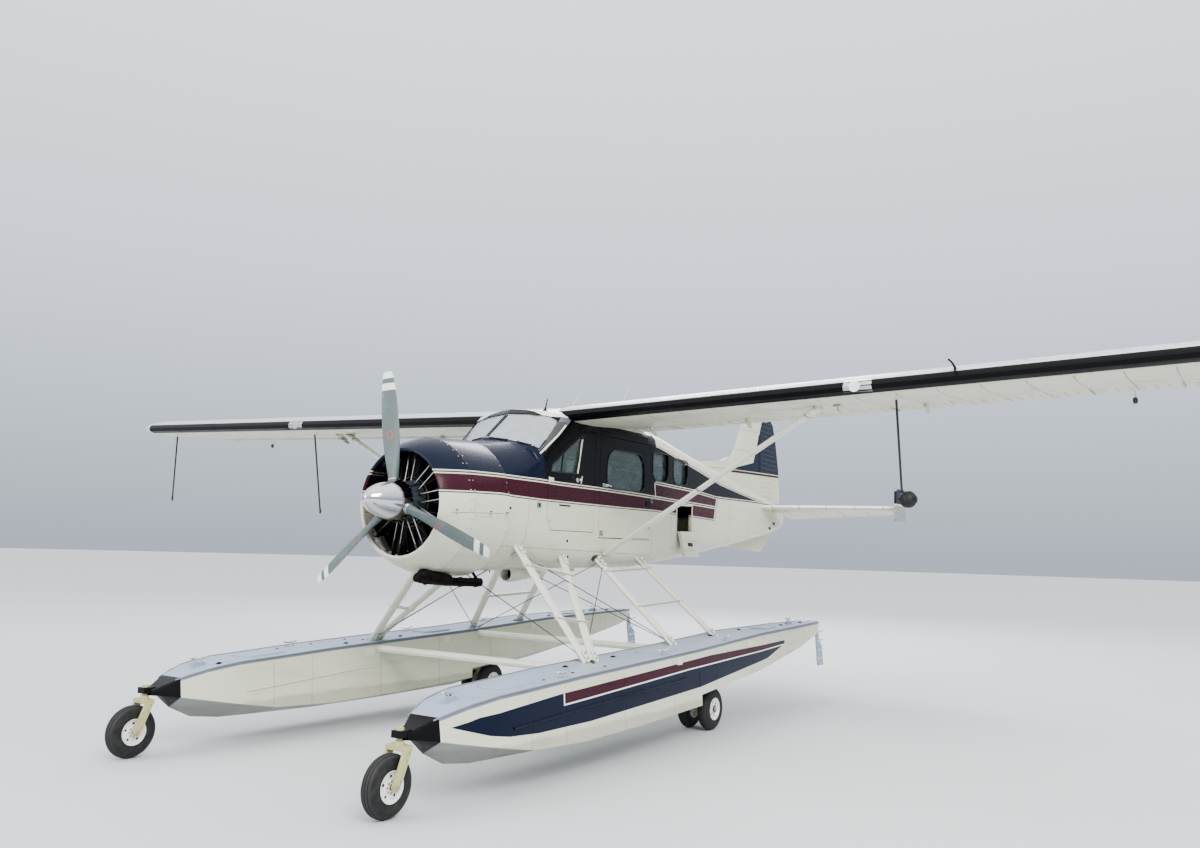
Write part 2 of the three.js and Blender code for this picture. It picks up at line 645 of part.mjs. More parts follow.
function stabilizer() {
  const stations = [...TAILPLANE_STATIONS.slice(1).map(([y, ...rest]) => [-y, ...rest]).reverse(), ...TAILPLANE_STATIONS];
  const rings = stations.map(([y, lead, rear, z]) => {
    const chord = lead - rear;
    const half = (share) => 40 * Math.sin(Math.PI * Math.min(share * 0.9 + 0.1, 1) ** 0.8) ** 0.6 * (1 - 0.15 * share);
    const shares = [0, 0.06, 0.2, 0.45, 0.75, 1];
    const top = shares.map((s) => [lead - s * chord, y, z + (s === 0 ? 6 : Math.max(half(s), 24))]);
    const under = [...shares].reverse().map((s) => [lead - s * chord, y, z - (s === 0 ? 6 : Math.max(half(s), 24))]);
    return [...top, ...under];
  });
  const plates = SIDES.map(([, side]) => prismAlongY([
    [-7480, 160], [-7500, 560], [-7560, 592], [-7880, 592], [-7925, 560], [-7925, 160], [-7890, 128], [-7510, 128],
  ], side * 2400, side * 2434));
  return join(loft(rings), plates);
}

const ELEVATOR_HINGE_X = -8062;

// At rest the elevator hangs down, as it does with free controls.
function elevatorHalf(side) {
  const noseRing = (y, rear, rearZ, nose) => {
    const arc = [90, 45, 0, -45, -90].map((degrees) => {
      const angle = THREE.MathUtils.degToRad(degrees);
      return [ELEVATOR_HINGE_X + nose * Math.cos(angle), side * y, ELEVATOR_HINGE_Z + nose * Math.sin(angle)];
    });
    return [...arc, [rear, side * y, rearZ - 4], [rear, side * y, rearZ + 4]];
  };
  return loft([
    noseRing(305, -8240, 280, 34),
    noseRing(430, -8600, 198, 33),
    noseRing(2150, -8250, 250, 22),
    noseRing(2235, -8170, 280, 20),
  ]);
}

function elevator() {
  const tubeAcross = rod([ELEVATOR_HINGE_X, -330, ELEVATOR_HINGE_Z], [ELEVATOR_HINGE_X, 330, ELEVATOR_HINGE_Z],
    TORQUE_TUBE_RADIUS, 12);
  return join(tubeAcross, elevatorHalf(1), elevatorHalf(-1));
}

const tailForm = loft(TAIL_STATIONS.map((s) => fuselageRing(s)));

function tailCone() {
  const hollow = [{ ...TAIL_STATIONS[0], x: TAIL_JOINT_X + WALL }, TAIL_STATIONS[1], TAIL_STATIONS[2]];
  const space = loft(hollow.map((s) => fuselageRing(s, WALL)));
  const kept = box([TAIL_JOINT_X + WALL + 1, TAIL_CAVITY_END_X], [-700, 700], [-700, 1000]);
  const cone = tailForm.subtract(space.intersect(kept));
  const ventral = prismAlongY([[-6500, -230], [-6560, -268], [-8240, -350], [-8740, 30], [-8400, 60]], -12, 12);
  const slot = reshaped(stabilizer(), (x, y, z) => [x + (x > -7750 ? 1 : -1) * GAP, y, z + (z > 330 ? 1 : -1) * GAP]);
  const bore = rod([ELEVATOR_HINGE_X, -400, ELEVATOR_HINGE_Z], [ELEVATOR_HINGE_X, 400, ELEVATOR_HINGE_Z],
    TORQUE_TUBE_RADIUS + 6, 16);
  return join(cone, ventral).subtract(slot).subtract(bore);
}

// Fin in level slices. Columns: z, leading edge x, rear edge x, half thickness
const FIN_SLICES = [
  [380, -6700, -8079, 46], [880, -6900, -8079, 46], [1000, -7010, -8079, 45], [1110, -7130, -8079, 42],
  [1240, -7260, -8079, 39], [1600, -7474, -8082, 32], [1770, -7570, -8085, 28], [1842, -7660, -8090, 18],
];

function verticalRing([z, lead, rear, half]) {
  const chord = lead - rear;
  const side = (sign) => [[0, 0.12], [0.06, 0.55], [0.25, 0.95], [0.6, 1], [1, 0.82]]
    .map(([share, width]) => [lead - share * chord, sign * width * half, z]);
  return [...side(1), ...side(-1).reverse()];
}

function fin() {
  const blade = loft(FIN_SLICES.map(verticalRing));
  const fillet = prismAlongY([
    [-5380, 780], [-5380, 846], [-6160, 934], [-6750, 993], [-7010, 1073], [-7100, 1073], [-7100, 500], [-5380, 700],
  ], -15, 15);
  const whole = join(blade, fillet);
  const clear = apart(whole, tailForm, [0, 0, 1], [0, 1, 0], [0, -1, 0]);
  const cut = apart(clear, fuselageForm, [0, 0, 1], [-1, 0, 0]);
  return cut.subtract(box([-5200, -9500], [-400, 400], [-400, 470]));
}

// Rudder in level slices. Columns: z, trailing edge x, half thickness at the hinge
const RUDDER_SLICES = [
  [468, -9006, 37], [566, -9010, 37], [1020, -8962, 34], [1518, -8828, 28], [1760, -8722, 22], [1842, -8600, 15],
];

function rudder() {
  return loft(RUDDER_SLICES.map(([z, rear, half]) => {
    const arc = [90, 45, 0, -45, -90].map((degrees) => {
      const angle = THREE.MathUtils.degToRad(degrees);
      return [RUDDER_HINGE_X + half * Math.cos(angle), half * Math.sin(angle), z];
    });
    return [...arc, [rear, -4, z], [rear, 4, z]];
  }));
}

// Floats. Columns: x, half width of the deck, deck height, half width of the chine, chine height, keel height
const FOREBODY = [
  [1335, 50, -1725, 56, -1770, -1776],
  [1245, 76, -1688, 88, -1780, -1790],
  [1120, 141, -1631, 170, -1797, -1900],
  [900, 217, -1568, 256, -1838, -2006],
  [600, 271, -1521, 317, -1896, -2048],
  [200, 280, -1501, 330, -1968, -2062],
  [-500, 292, -1463, 334, -2000, -2080],
  [-1500, 292, -1426, 334, -1985, -2076],
  [STEP_X, 287, -1386, 330, -1945, -2056],
];
const AFTERBODY = [
  [STEP_X + 40, 287, -1388, 326, -1842, -1968],
  [-4200, 272, -1310, 300, -1716, -1836],
  [-5600, 200, -1288, 215, -1556, -1652],
  [-6400, 118, -1284, 122, -1440, -1522],
  [-6640, 60, -1284, 54, -1400, -1462],
];
const RUB_RAIL_HEIGHT = 26;
const BOW_LUG_Z = [-1752, -1702];

// Columns: x, height of the flat top
const MOORING_PADS = [[850, -1535], [-5700, -1255]];

function floatRing([x, deckHalf, deckZ, chineHalf, chineZ, keelZ], side, middle = FLOAT_Y) {
  const half = [[0, keelZ], [chineHalf, chineZ], [deckHalf + 6, deckZ - RUB_RAIL_HEIGHT], [deckHalf - 4, deckZ]];
  const right = half.map(([y, z]) => [x, side * middle + y, z]);
  const left = half.slice(1).reverse().map(([y, z]) => [x, side * middle - y, z]);
  return [...right, ...left];
}

function floatHull(side) {
  const hull = join(loft(FOREBODY.map((row) => floatRing(row, side))), loft(AFTERBODY.map((row) => floatRing(row, side))));
  const middle = side * FLOAT_Y;
  const lug = box([1290, CASTER_X + 40], [middle - 46, middle + 46], BOW_LUG_Z);
  const stemHole = rod([CASTER_X, middle, -1800], [CASTER_X, middle, -1600], 25, 16);
  const wheelWell = box([MAIN_AXLE[0] - WHEEL_WELL.halfLength, MAIN_AXLE[0] + WHEEL_WELL.halfLength],
    [middle - WHEEL_WELL.halfWidth, middle + WHEEL_WELL.halfWidth], [-2300, WHEEL_WELL.top]);
  const pads = MOORING_PADS.map(([x, top]) => box([x - 70, x + 70], [middle - 20, middle + 20], [top - 80, top]));
  const tailLugs = [-1302, -1342].map((z) => box([-6600, -6732], [middle - 28, middle + 28], [z - 6, z + 6]));
  const postHole = rod([WATER_RUDDER_X, middle, -1250], [WATER_RUDDER_X, middle, -1380], 20, 16);
  const whole = join(hull, lug, tailLugs, pads);
  return whole.subtract(stemHole).subtract(postHole).subtract(wheelWell);
}

function bowFork(side) {
  const middle = side * FLOAT_Y;
  const stem = rod([CASTER_X, middle, -1812], [CASTER_X, middle, -1688], 22, 12);
  const collar = rod([CASTER_X, middle, BOW_LUG_Z[1] + GAP], [CASTER_X, middle, -1684], 30, 12);
  const crown = box([CASTER_X - 42, CASTER_X + 46], [middle - 92, middle + 92], [-1834, -1800]);
  const [axleX, axleZ] = BOW_AXLE;
  const blades = [-1, 1].map((way) => {
    const y0 = middle + way * 74;
    const y1 = middle + way * 92;
    return prismAlongY([
      [CASTER_X - 40, -1806], [CASTER_X + 30, -1806], [axleX + 32, axleZ + 10], [axleX + 20, axleZ - 26],
      [axleX - 16, axleZ - 30], [axleX - 34, axleZ - 6],
    ], y0, y1);
  });
  const axle = rod([axleX, middle - 84, axleZ], [axleX, middle + 84, axleZ], 13, 12);
  return join(stem, collar, crown, blades, axle);
}

// Columns: distance from the middle of the tyre, radius, on the flats
const BOW_WHEEL_PROFILE = [
  [-54, 17], [-54, 50], [-36, 90], [-52, 112], [-54, 152], [-42, 196], [-16, BOW_WHEEL_RADIUS],
  [16, BOW_WHEEL_RADIUS], [42, 196], [54, 152], [52, 112], [36, 90], [54, 50], [54, 17],
];
const MAIN_WHEEL_PROFILE = [
  [-50, 30], [-44, 96], [-59, 116], [-56, 186], [-30, MAIN_WHEEL_RADIUS],
  [30, MAIN_WHEEL_RADIUS], [56, 186], [59, 116], [44, 96], [50, 30],
];

function wheel(profile, centre) {
  const flats = 1 / Math.cos(Math.PI / WHEEL_SIDES);
  const ring = profile.map(([along, radius]) => [along, radius * flats]);
  return turnedProfile([...ring, ring[0]], WHEEL_SIDES, 'y', centre);
}

function bowWheel(side) {
  return wheel(BOW_WHEEL_PROFILE, [BOW_AXLE[0], side * FLOAT_Y, BOW_AXLE[1]]);
}

function mainWheels(side) {
  const [x, z] = MAIN_AXLE;
  const places = [-1, 1].map((way) => side * FLOAT_Y + way * MAIN_WHEEL_OFFSET);
  const axle = rod([x, places[0] - 60, z], [x, places[1] + 60, z], 32, 12);
  return join(axle, places.map((y) => wheel(MAIN_WHEEL_PROFILE, [x, y, z])));
}

function mainLeg(side, hull) {
  const middle = side * FLOAT_Y;
  const [x, z] = MAIN_AXLE;
  const arm = prismAlongY([
    [x - 48, z - 46], [x + 48, z - 46], [x + 60, z + 60], [x + 150, -1700], [x + 20, -1700], [x - 52, z + 40],
  ], middle - 44, middle + 44);
  const bore = rod([x, middle - 80, z], [x, middle + 80, z], 37, 16);
  return apart(arm.subtract(bore), hull, [0, 0, -1]);
}

// Struts between the fuselage and the floats. Columns: head x, y, z, foot x, y, z
const FRONT_STRUTS = [[-1160, 529, -360, -1186, 1418, -1462], [-1877, 590, -470, -1244, 1455, -1462]];
const REAR_STRUTS = [[-2462, 628, -480, -2849, 1430, -1410], [-3350, 595, -450, -3800, 1448, -1370]];
const STRUT_CHORD = 120;
const STRUT_THICKNESS = 50;
const RUNG_OVERHANG = 70;

function floatStruts(table, side, hull, rungShares) {
  const bars = table.map(([hx, hy, hz, fx, fy, fz]) =>
    streamlinedBar([hx, side * hy, hz], [fx, side * fy, fz], STRUT_CHORD, STRUT_THICKNESS));
  const whole = join(bars, rungShares.map((share) => rungBetween(table, side, share, 13)));
  return apart(apart(whole, fuselageForm, [0, side, 0], [0, 0, -1]), hull, [0, 0, 1]);
}

function rungBetween(table, side, share, radius) {
  const [front, rear] = table.map(([hx, hy, hz, fx, fy, fz]) => new THREE.Vector3(
    hx + (fx - hx) * share, side * (hy + (fy - hy) * share), hz + (fz - hz) * share));
  const out = rear.clone().sub(front).setLength(RUNG_OVERHANG);
  return rod(front.sub(out).toArray(), rear.add(out).toArray(), radius, 8);
}

function spreader(x, z, hulls) {
  const bar = streamlinedBar([x, -1300, z], [x, 1300, z], 120, 86);
  return apart(bar, join(hulls), [0, 1, 0], [0, -1, 0]);
}

function waterRudder(side) {
  const middle = side * FLOAT_Y;
  const plate = prismAlongY([
    [-6686, -1358], [-6742, -1358], [-6800, -1560], [-6900, -1640], [-6960, -1900], [-6760, -1900], [-6690, -1560],
  ], middle - 8, middle + 8);
  const post = rod([WATER_RUDDER_X, middle, -1286], [WATER_RUDDER_X, middle, -1500], 16, 10);
  return join(plate, post);
}

// Cabin
function instrumentPanel() {
  const board = prismAlongX([[-560, 180], [560, 180], [560, 470], [500, 540], [-500, 540], [-560, 470]], -1455, -1490);
  const hood = prismAlongY([[-1400, 520], [-1492, 520], [-1492, 560], [-1420, 566]], -470, 470);
  return join(board, hood);
}

function seatPair(x, halfWidth, y) {
  const cushion = box([x, x - 460], [y - halfWidth, y + halfWidth], [-190, -70]);
  const back = prismAlongY([[x - 400, -90], [x - 500, -90], [x - 590, 470], [x - 500, 480]], y - halfWidth, y + halfWidth);
  const legs = box([x - 60, x - 400], [y - halfWidth + 50, y + halfWidth - 50], [-469, -180]);
  return join(cushion, back, legs);
}

// Free ropes under the wings, with a rubber ball at the end of the inner one.
// Columns: name, x and y at the wing, drop, set back of the end, radius of the ball
const HAND_ROPES = [['hand_rope_inner', -2385, 3950, 850, 150, 80], ['hand_rope_outer', -2300, 6930, 960, 0, 0]];
const ROPE_RADIUS = 11;
const ROPE_STEPS = 8;

function handRope(side, [x, y, drop, back, ball]) {
  const top = wingZ(y) - 70;
  const points = [0, 0.25, 0.5, 0.75, 1].map((share) => [x - share * back, side * y, top - share * drop]);
  const rope = apart(tube(points, ROPE_RADIUS, ROPE_STEPS, 8), wing(side), [0, 0, -1]);
  if (!ball) return rope;
  const profile = [[-1, 0], [-0.92, 0.55], [-0.5, 0.95], [0, 1], [0.5, 0.95], [0.92, 0.55], [1, 0]];
  const middle = [x - back, side * (y + 0.68 * ball), top - drop - 0.72 * ball];
  return join(rope, turnedProfile(profile.map(([along, r]) => [along * ball, r * ball]), 12, 'y', middle));
}

// Assembly
const aircraft = new THREE.Group();
aircraft.position.set(CENTRE_BEHIND_PROPELLER, 0, FLOOR_BELOW_PROPELLER);

function place(name, body, paint) {
  const raw = body.getMesh();
  const geometry = new THREE.BufferGeometry();
  geometry.setAttribute('position', new THREE.BufferAttribute(new Float32Array(raw.vertProperties), 3));
  geometry.setIndex([...raw.triVerts]);
  geometry.computeVertexNormals();
  const mesh = new THREE.Mesh(geometry, new THREE.MeshStandardMaterial(PAINT[paint]));
  mesh.name = name;
  aircraft.add(mesh);
}

place('fuselage_shell', fuselageShell(), 'cream');
place('tail_cone', apart(tailCone(), fuselageForm, [-1, 0, 0]), 'cream');
place('nose_bowl', noseBowl(), 'cream');
place('engine', engineBody(), 'engine');
place('windscreen', windscreen(), 'glass');
place('instrument_panel', instrumentPanel(), 'cabin');
place('seat_front', join(seatPair(-1780, 220, 300), seatPair(-1780, 220, -300), box([-1900, -1960], [-300, 300], [-300, -250])), 'cabin');
place('seat_rear', seatPair(-2720, 520, 0), 'cabin');
place('spinner', turnedProfile(SPINNER_PROFILE, 36, 'x', [0, 0, 0]), 'chrome');
for (let i = 0; i < BLADES; i++) place(`blade_${i + 1}`, blade(i), 'bladeGrey');
place('exhaust', exhaustPipe(), 'exhaust');
place('stabilizer', stabilizer(), 'cream');
place('elevator', elevator(), 'cream');
place('fin', fin(), 'cream');
place('rudder', rudder(), 'navy');
const hulls = SIDES.map(([, side]) => floatHull(side));
place('spreader_front', spreader(-1140, -1508, hulls), 'cream');
place('spreader_rear', spreader(-2800, -1432, hulls), 'cream');
place('baggage_hatch', baggageHatch(), 'cream');

SIDES.forEach(([name, side], index) => {
  const hull = hulls[index];
  place(`cowl_${name}`, cowlHalf(side), 'navy');
  place(`wing_${name}`, wing(side), 'cream');
  place(`flap_${name}`, wingControl(side, FLAP_INNER_Y, FLAP_OUTER_Y), 'cream');
  place(`aileron_${name}`, wingControl(side, AILERON_INNER_Y, AILERON_OUTER_Y), 'cream');
  place(`wing_strut_${name}`, wingStrut(side), 'cream');
  place(`door_front_${name}`, door(FRONT_DOOR, FRONT_DOOR_WINDOW, side), 'navy');
  place(`door_front_glass_${name}`, sidePane(FRONT_DOOR_WINDOW, side), 'glass');
  place(`door_cabin_${name}`, door(CABIN_DOOR, roundedOutline(ROUNDED_WINDOWS.cabin), side), 'navy');
  place(`door_cabin_glass_${name}`, sidePane(roundedOutline(ROUNDED_WINDOWS.cabin), side), 'glass');
  place(`rear_glass_${name}`, rearGlass(side), 'glass');
  place(`float_${name}`, hull, 'cream');
  place(`front_struts_${name}`, floatStruts(FRONT_STRUTS, side, hull, [0.2, 0.64]), 'cream');
  const rearStruts = apart(floatStruts(REAR_STRUTS, side, hull, [0.16, 0.55]), wingStrut(side), [0, 0, -1]);
  place(`rear_struts_${name}`, rearStruts, 'cream');
  place(`water_rudder_${name}`, waterRudder(side), 'deckGrey');
  place(`bow_fork_${name}`, bowFork(side), 'olive');
  place(`bow_wheel_${name}`, bowWheel(side), 'tyre');
  place(`main_leg_${name}`, mainLeg(side, hull), 'olive');
  place(`main_wheels_${name}`, mainWheels(side), 'tyre');
  for (const [rope, ...sizes] of HAND_ROPES) place(`${rope}_${name}`, handRope(side, sizes), 'rope');
});

export default aircraft;
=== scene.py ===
"""Looks of a single-engined high-wing floatplane on amphibious floats.

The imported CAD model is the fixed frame. Sizes are metres from the centre of the propeller: X forward along
its axis, Y to the left wing, Z up. HUB moves them to the frame that Blender shares with the CAD.
"""

import logging
import math
from dataclasses import dataclass
from enum import Enum
from typing import Iterable, Sequence, Union

import bmesh
import bpy
from mathutils import Matrix, Vector
from mathutils.bvhtree import BVHTree


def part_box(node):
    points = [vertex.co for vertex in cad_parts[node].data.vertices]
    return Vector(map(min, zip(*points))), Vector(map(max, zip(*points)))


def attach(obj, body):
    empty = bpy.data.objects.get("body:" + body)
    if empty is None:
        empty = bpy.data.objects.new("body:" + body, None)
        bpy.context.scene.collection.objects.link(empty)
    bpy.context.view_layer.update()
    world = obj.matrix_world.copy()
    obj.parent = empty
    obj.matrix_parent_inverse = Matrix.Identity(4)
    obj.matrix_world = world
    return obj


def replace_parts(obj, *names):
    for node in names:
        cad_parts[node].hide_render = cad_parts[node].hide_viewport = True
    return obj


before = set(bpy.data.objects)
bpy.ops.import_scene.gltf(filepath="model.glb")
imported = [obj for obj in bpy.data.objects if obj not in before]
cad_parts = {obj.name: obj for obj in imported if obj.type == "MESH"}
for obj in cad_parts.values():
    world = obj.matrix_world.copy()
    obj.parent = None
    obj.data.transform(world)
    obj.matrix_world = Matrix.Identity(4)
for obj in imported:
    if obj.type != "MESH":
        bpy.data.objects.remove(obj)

HUB = Vector((3.6615, 0.0, 2.287))
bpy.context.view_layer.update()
log = logging.getLogger("floatplane")

# How far out rays start, clear of what they look for
CLEAR = 3.0
# The radius that a turned shape keeps on its axis
POLE = 0.00005
# Faces that meet at less than this many degrees are shaded as one
SMOOTH = 38.0
AHEAD, UP, DOWN = (1, 0, 0), (0, 0, 1), (0, 0, -1)

Place = Sequence[float]
Stations = Sequence[tuple[float, float]]
# a place, the way that it faces, the way that its length lies
Seat = tuple[Vector, Vector, Place]


class Side(Enum):
    """The two sides of the aircraft, seen from the pilot's seat."""

    LEFT = 1
    RIGHT = -1

    @property
    def word(self) -> str:
        """The side's name as the CAD nodes and bodies spell it."""
        return self.name.lower()

    def at(self, x: float, y: float, z: float) -> Vector:
        """A point given for the left side, on this side."""
        return Vector((x, self.value * y, z))


class Tone(Enum):
    """Paint and material colours, as linear red, green, blue."""

    CREAM = (0.68, 0.68, 0.555)
    WHITE = (0.86, 0.86, 0.82)
    NAVY = (0.008, 0.013, 0.032)
    NIGHT = (0.004, 0.0045, 0.006)
    MAROON = (0.055, 0.012, 0.022)
    DECK = (0.38, 0.44, 0.54)
    RAIL = (0.22, 0.25, 0.29)
    HULL = (0.33, 0.35, 0.34)
    BLADE = (0.125, 0.158, 0.155)
    DIRT = (0.16, 0.13, 0.09)
    BLACK = (0.006, 0.006, 0.0065)
    RUBBER = (0.012, 0.012, 0.013)
    OLIVE = (0.52, 0.49, 0.27)
    CABIN = (0.10, 0.10, 0.105)

    @property
    def rgba(self) -> tuple[float, float, float, float]:
        """The colour as a socket takes it."""
        return (*self.value, 1.0)


Value = Union["Sock", float, Tone, tuple, Vector, int, bool]


class Sock:
    """A socket of a shader tree that takes part in Python arithmetic."""

    def __init__(self, paint: "Paint", socket: bpy.types.NodeSocket) -> None:
        """Keeps the socket and the paint that it belongs to."""
        self.paint = paint
        self.socket = socket

    def _math(self, operation: str, *values: Value) -> "Sock":
        """Adds one Math node that works on the values."""
        return self.paint.node("ShaderNodeMath", {"operation": operation}, dict(enumerate(values)))

    def __add__(self, other: Value) -> "Sock":
        """self + other."""
        return self._math("ADD", self, other)

    def __sub__(self, other: Value) -> "Sock":
        """self - other."""
        return self._math("SUBTRACT", self, other)

    def __rsub__(self, other: Value) -> "Sock":
        """other - self."""
        return self._math("SUBTRACT", other, self)

    def __mul__(self, other: Value) -> "Sock":
        """self * other."""
        return self._math("MULTIPLY", self, other)

    def __truediv__(self, other: Value) -> "Sock":
        """self / other."""
        return self._math("DIVIDE", self, other)

    def __pow__(self, other: Value) -> "Sock":
        """self to the power of other."""
        return self._math("POWER", self, other)

    def __abs__(self) -> "Sock":
        """The size of self."""
        return self._math("ABSOLUTE", self)

    __radd__ = __add__
    __rmul__ = __mul__

    def high(self, other: Value) -> "Sock":
        """The larger of self and other."""
        return self._math("MAXIMUM", self, other)

    def low(self, other: Value) -> "Sock":
        """The smaller of self and other."""
        return self._math("MINIMUM", self, other)

    def wave(self) -> "Sock":
        """The sine of self, from 0 to 1."""
        return self._math("SINE", self) * 0.5 + 0.5

    def unit(self) -> "Sock":
        """self held between 0 and 1."""
        return self.high(0.0).low(1.0)

    def over(self, edge: Value, blur: float = 0.002) -> "Sock":
        """1 where self is above an edge and 0 below it, with a narrow blur."""
        return ((self - edge) / blur + 0.5).unit()

    def under(self, edge: Value, blur: float = 0.002) -> "Sock":
        """1 where self is below an edge and 0 above it."""
        return 1.0 - self.over(edge, blur)

    def between(self, low: Value, high: Value, blur: float = 0.002) -> "Sock":
        """1 where self lies between two edges."""
        return self.over(low, blur) * self.under(high, blur)


class Paint:
    """Builds the nodes of one material on the frame of the propeller's centre."""

    def __init__(self, name: str) -> None:
        """Makes an empty material with its output and shader."""
        self.material = bpy.data.materials.new(name)
        self.material.use_nodes = True
        self.tree = self.material.node_tree
        self.tree.nodes.clear()
        output = self.tree.nodes.new("ShaderNodeOutputMaterial")
        self.shader = self.tree.nodes.new("ShaderNodeBsdfPrincipled")
        self.tree.links.new(self.shader.outputs[0], output.inputs[0])
        self._object: Union[Sock, None] = None

    def node(self, kind: str, settings: dict = {}, values: dict = {}, output: Union[int, str] = 0) -> Sock:
        """Adds a node.

        Args:
            kind: The node's type.
            settings: The node's own properties, or the stops of a ramp.
            values: What its input sockets hold or are linked to, by name or number.
            output: The output socket to return.

        Returns:
            The output socket.
        """
        made = self.tree.nodes.new(kind)
        for name, value in settings.items():
            if name == "stops":
                self._stops(made.color_ramp, value)
            else:
                setattr(made, name, value)
        for key, value in values.items():
            self.put(made.inputs[key], value)
        return Sock(self, made.outputs[output])

    def put(self, socket: bpy.types.NodeSocket, value: Value) -> None:
        """Links a socket to another one, or sets its own value."""
        if isinstance(value, Sock):
            self.tree.links.new(value.socket, socket)
        else:
            socket.default_value = value.rgba if isinstance(value, Tone) else value

    @staticmethod
    def _stops(ramp: bpy.types.ColorRamp, stops: Sequence[tuple[float, float]]) -> None:
        """Sets a ramp's stops to places and greys."""
        while len(ramp.elements) < len(stops):
            ramp.elements.new(0.5)
        for element, (place, grey) in zip(ramp.elements, stops):
            element.position = place
            element.color = (grey, grey, grey, 1.0)

    def spot(self) -> Sock:
        """Object coordinates, as a vector."""
        if self._object is None:
            self._object = self.node("ShaderNodeTexCoord", output="Object")
        return self._object

    def xyz(self) -> tuple[Sock, Sock, Sock]:
        """The place on the aircraft, from the centre of the propeller."""
        split = self.tree.nodes.new("ShaderNodeSeparateXYZ")
        self.tree.links.new(self.spot().socket, split.inputs[0])
        x, y, z = (Sock(self, output) for output in split.outputs)
        return x - HUB.x, y, z - HUB.z

    def noise(self, scale: float, detail: float = 3.0, rough: float = 0.55,
              stretch: Place = (1, 1, 1)) -> Sock:
        """A noise from about 0.3 to 0.7.

        Args:
            scale: Its scale, per metre.
            detail: How many finer layers it has.
            rough: How strong they are.
            stretch: Its scale along each axis, times the first.

        Returns:
            The noise.
        """
        where = self.spot()
        if tuple(stretch) != (1, 1, 1):
            where = self.node("ShaderNodeMapping", {}, {"Vector": where, "Scale": Vector(stretch)})
        values = {"Vector": where, "Scale": scale, "Detail": detail, "Roughness": rough}
        return self.node("ShaderNodeTexNoise", {}, values)

    def patches(self, scale: float, low: float = 0.5, high: float = 0.68, detail: float = 5.0,
                stretch: Place = (1, 1, 1)) -> Sock:
        """Irregular patches, 0 below one level of a noise and 1 above another."""
        stops = {"stops": ((low, 0.0), (high, 1.0))}
        return self.node("ShaderNodeValToRGB", stops, {0: self.noise(scale, detail, 0.6, stretch)})

    def mix(self, factor: Value, first: Value, second: Value, blend: str = "MIX") -> Sock:
        """A colour between two, by a factor."""
        settings = {"data_type": "RGBA", "blend_type": blend, "clamp_factor": True}
        return self.node("ShaderNodeMix", settings, {0: factor, 6: first, 7: second}, 2)

    def line(self, along: Sock, stations: Stations) -> Sock:
        """A value that runs straight from station to station along an axis."""
        places = sorted(stations)
        (x0, v0), (x1, v1) = places[:2]
        slope = (v1 - v0) / (x1 - x0)
        total = (along - x0) * slope + v0
        for (xa, va), (xb, vb) in zip(places[1:], places[2:]):
            turn = (vb - va) / (xb - xa) - slope
            total = total + (along - xa).high(0.0) * turn
            slope += turn
        return total

    def bump(self, height: Sock, distance: float) -> Sock:
        """A normal raised by a height over a distance."""
        values = {"Height": height, "Distance": distance, "Strength": 1.0}
        return self.node("ShaderNodeBump", {}, values)

    def surface(self, **sockets: Value) -> None:
        """Sets the shader's sockets, named with underscores for spaces."""
        for name, value in sockets.items():
            self.put(self.shader.inputs[name.replace("_", " ").title().replace("Ior", "IOR")], value)

    def enamel(self, colour: Value, rough: float = 0.3, soil: float = 0.5,
               seams: Union[Sock, None] = None) -> None:
        """Aircraft enamel: a little uneven, soiled in patches, with fine orange peel.

        Args:
            colour: The clean colour.
            rough: The clean roughness.
            soil: How dirty it is, from 0 to 1.
            seams: 1 where panels meet.
        """
        fade = self.mix(self.noise(1.7, 4.0) * 0.22, colour, (0.58, 0.57, 0.52, 1.0), "MULTIPLY")
        streaks = self.patches(5.0, 0.52, 0.78, 7.0, (0.35, 1.0, 2.2)) * (0.30 * soil)
        specks = self.patches(60.0, 0.64, 0.74, 2.0) * (0.35 * soil)
        dirty = self.mix(specks.high(streaks), fade, Tone.DIRT, "MULTIPLY")
        height = self.noise(260.0, 1.0) * 0.04 + self.noise(7.0, 2.0) * 0.5
        if seams is not None:
            dirty = self.mix(seams * 0.75, dirty, Tone.BLACK)
            height = height - seams * 2.0
        uneven = streaks * 0.9 + self.noise(24.0, 2.0) * 0.12
        self.surface(base_color=dirty, roughness=uneven + (rough - 0.06),
                     coat_weight=0.05, specular_ior_level=0.16, normal=self.bump(height, 0.0016))


@dataclass(frozen=True)
class Finish:
    """A finish, made once under its name. Kinds of finish fill in its nodes."""

    name: str

    def dress(self, paint: Paint) -> None:
        """Adds the finish's nodes to a material."""
        raise NotImplementedError

    def material(self) -> bpy.types.Material:
        """The finish as a material."""
        known = bpy.data.materials.get(self.name)
        if known is not None:
            return known
        paint = Paint(self.name)
        self.dress(paint)
        return paint.material


@dataclass(frozen=True)
class Enamel(Finish):
    """One colour of aircraft enamel."""

    tone: Tone = Tone.CREAM
    rough: float = 0.3
    soil: float = 0.5

    def dress(self, paint: Paint) -> None:
        """Adds the finish's nodes to a material."""
        paint.enamel(self.tone, self.rough, self.soil)


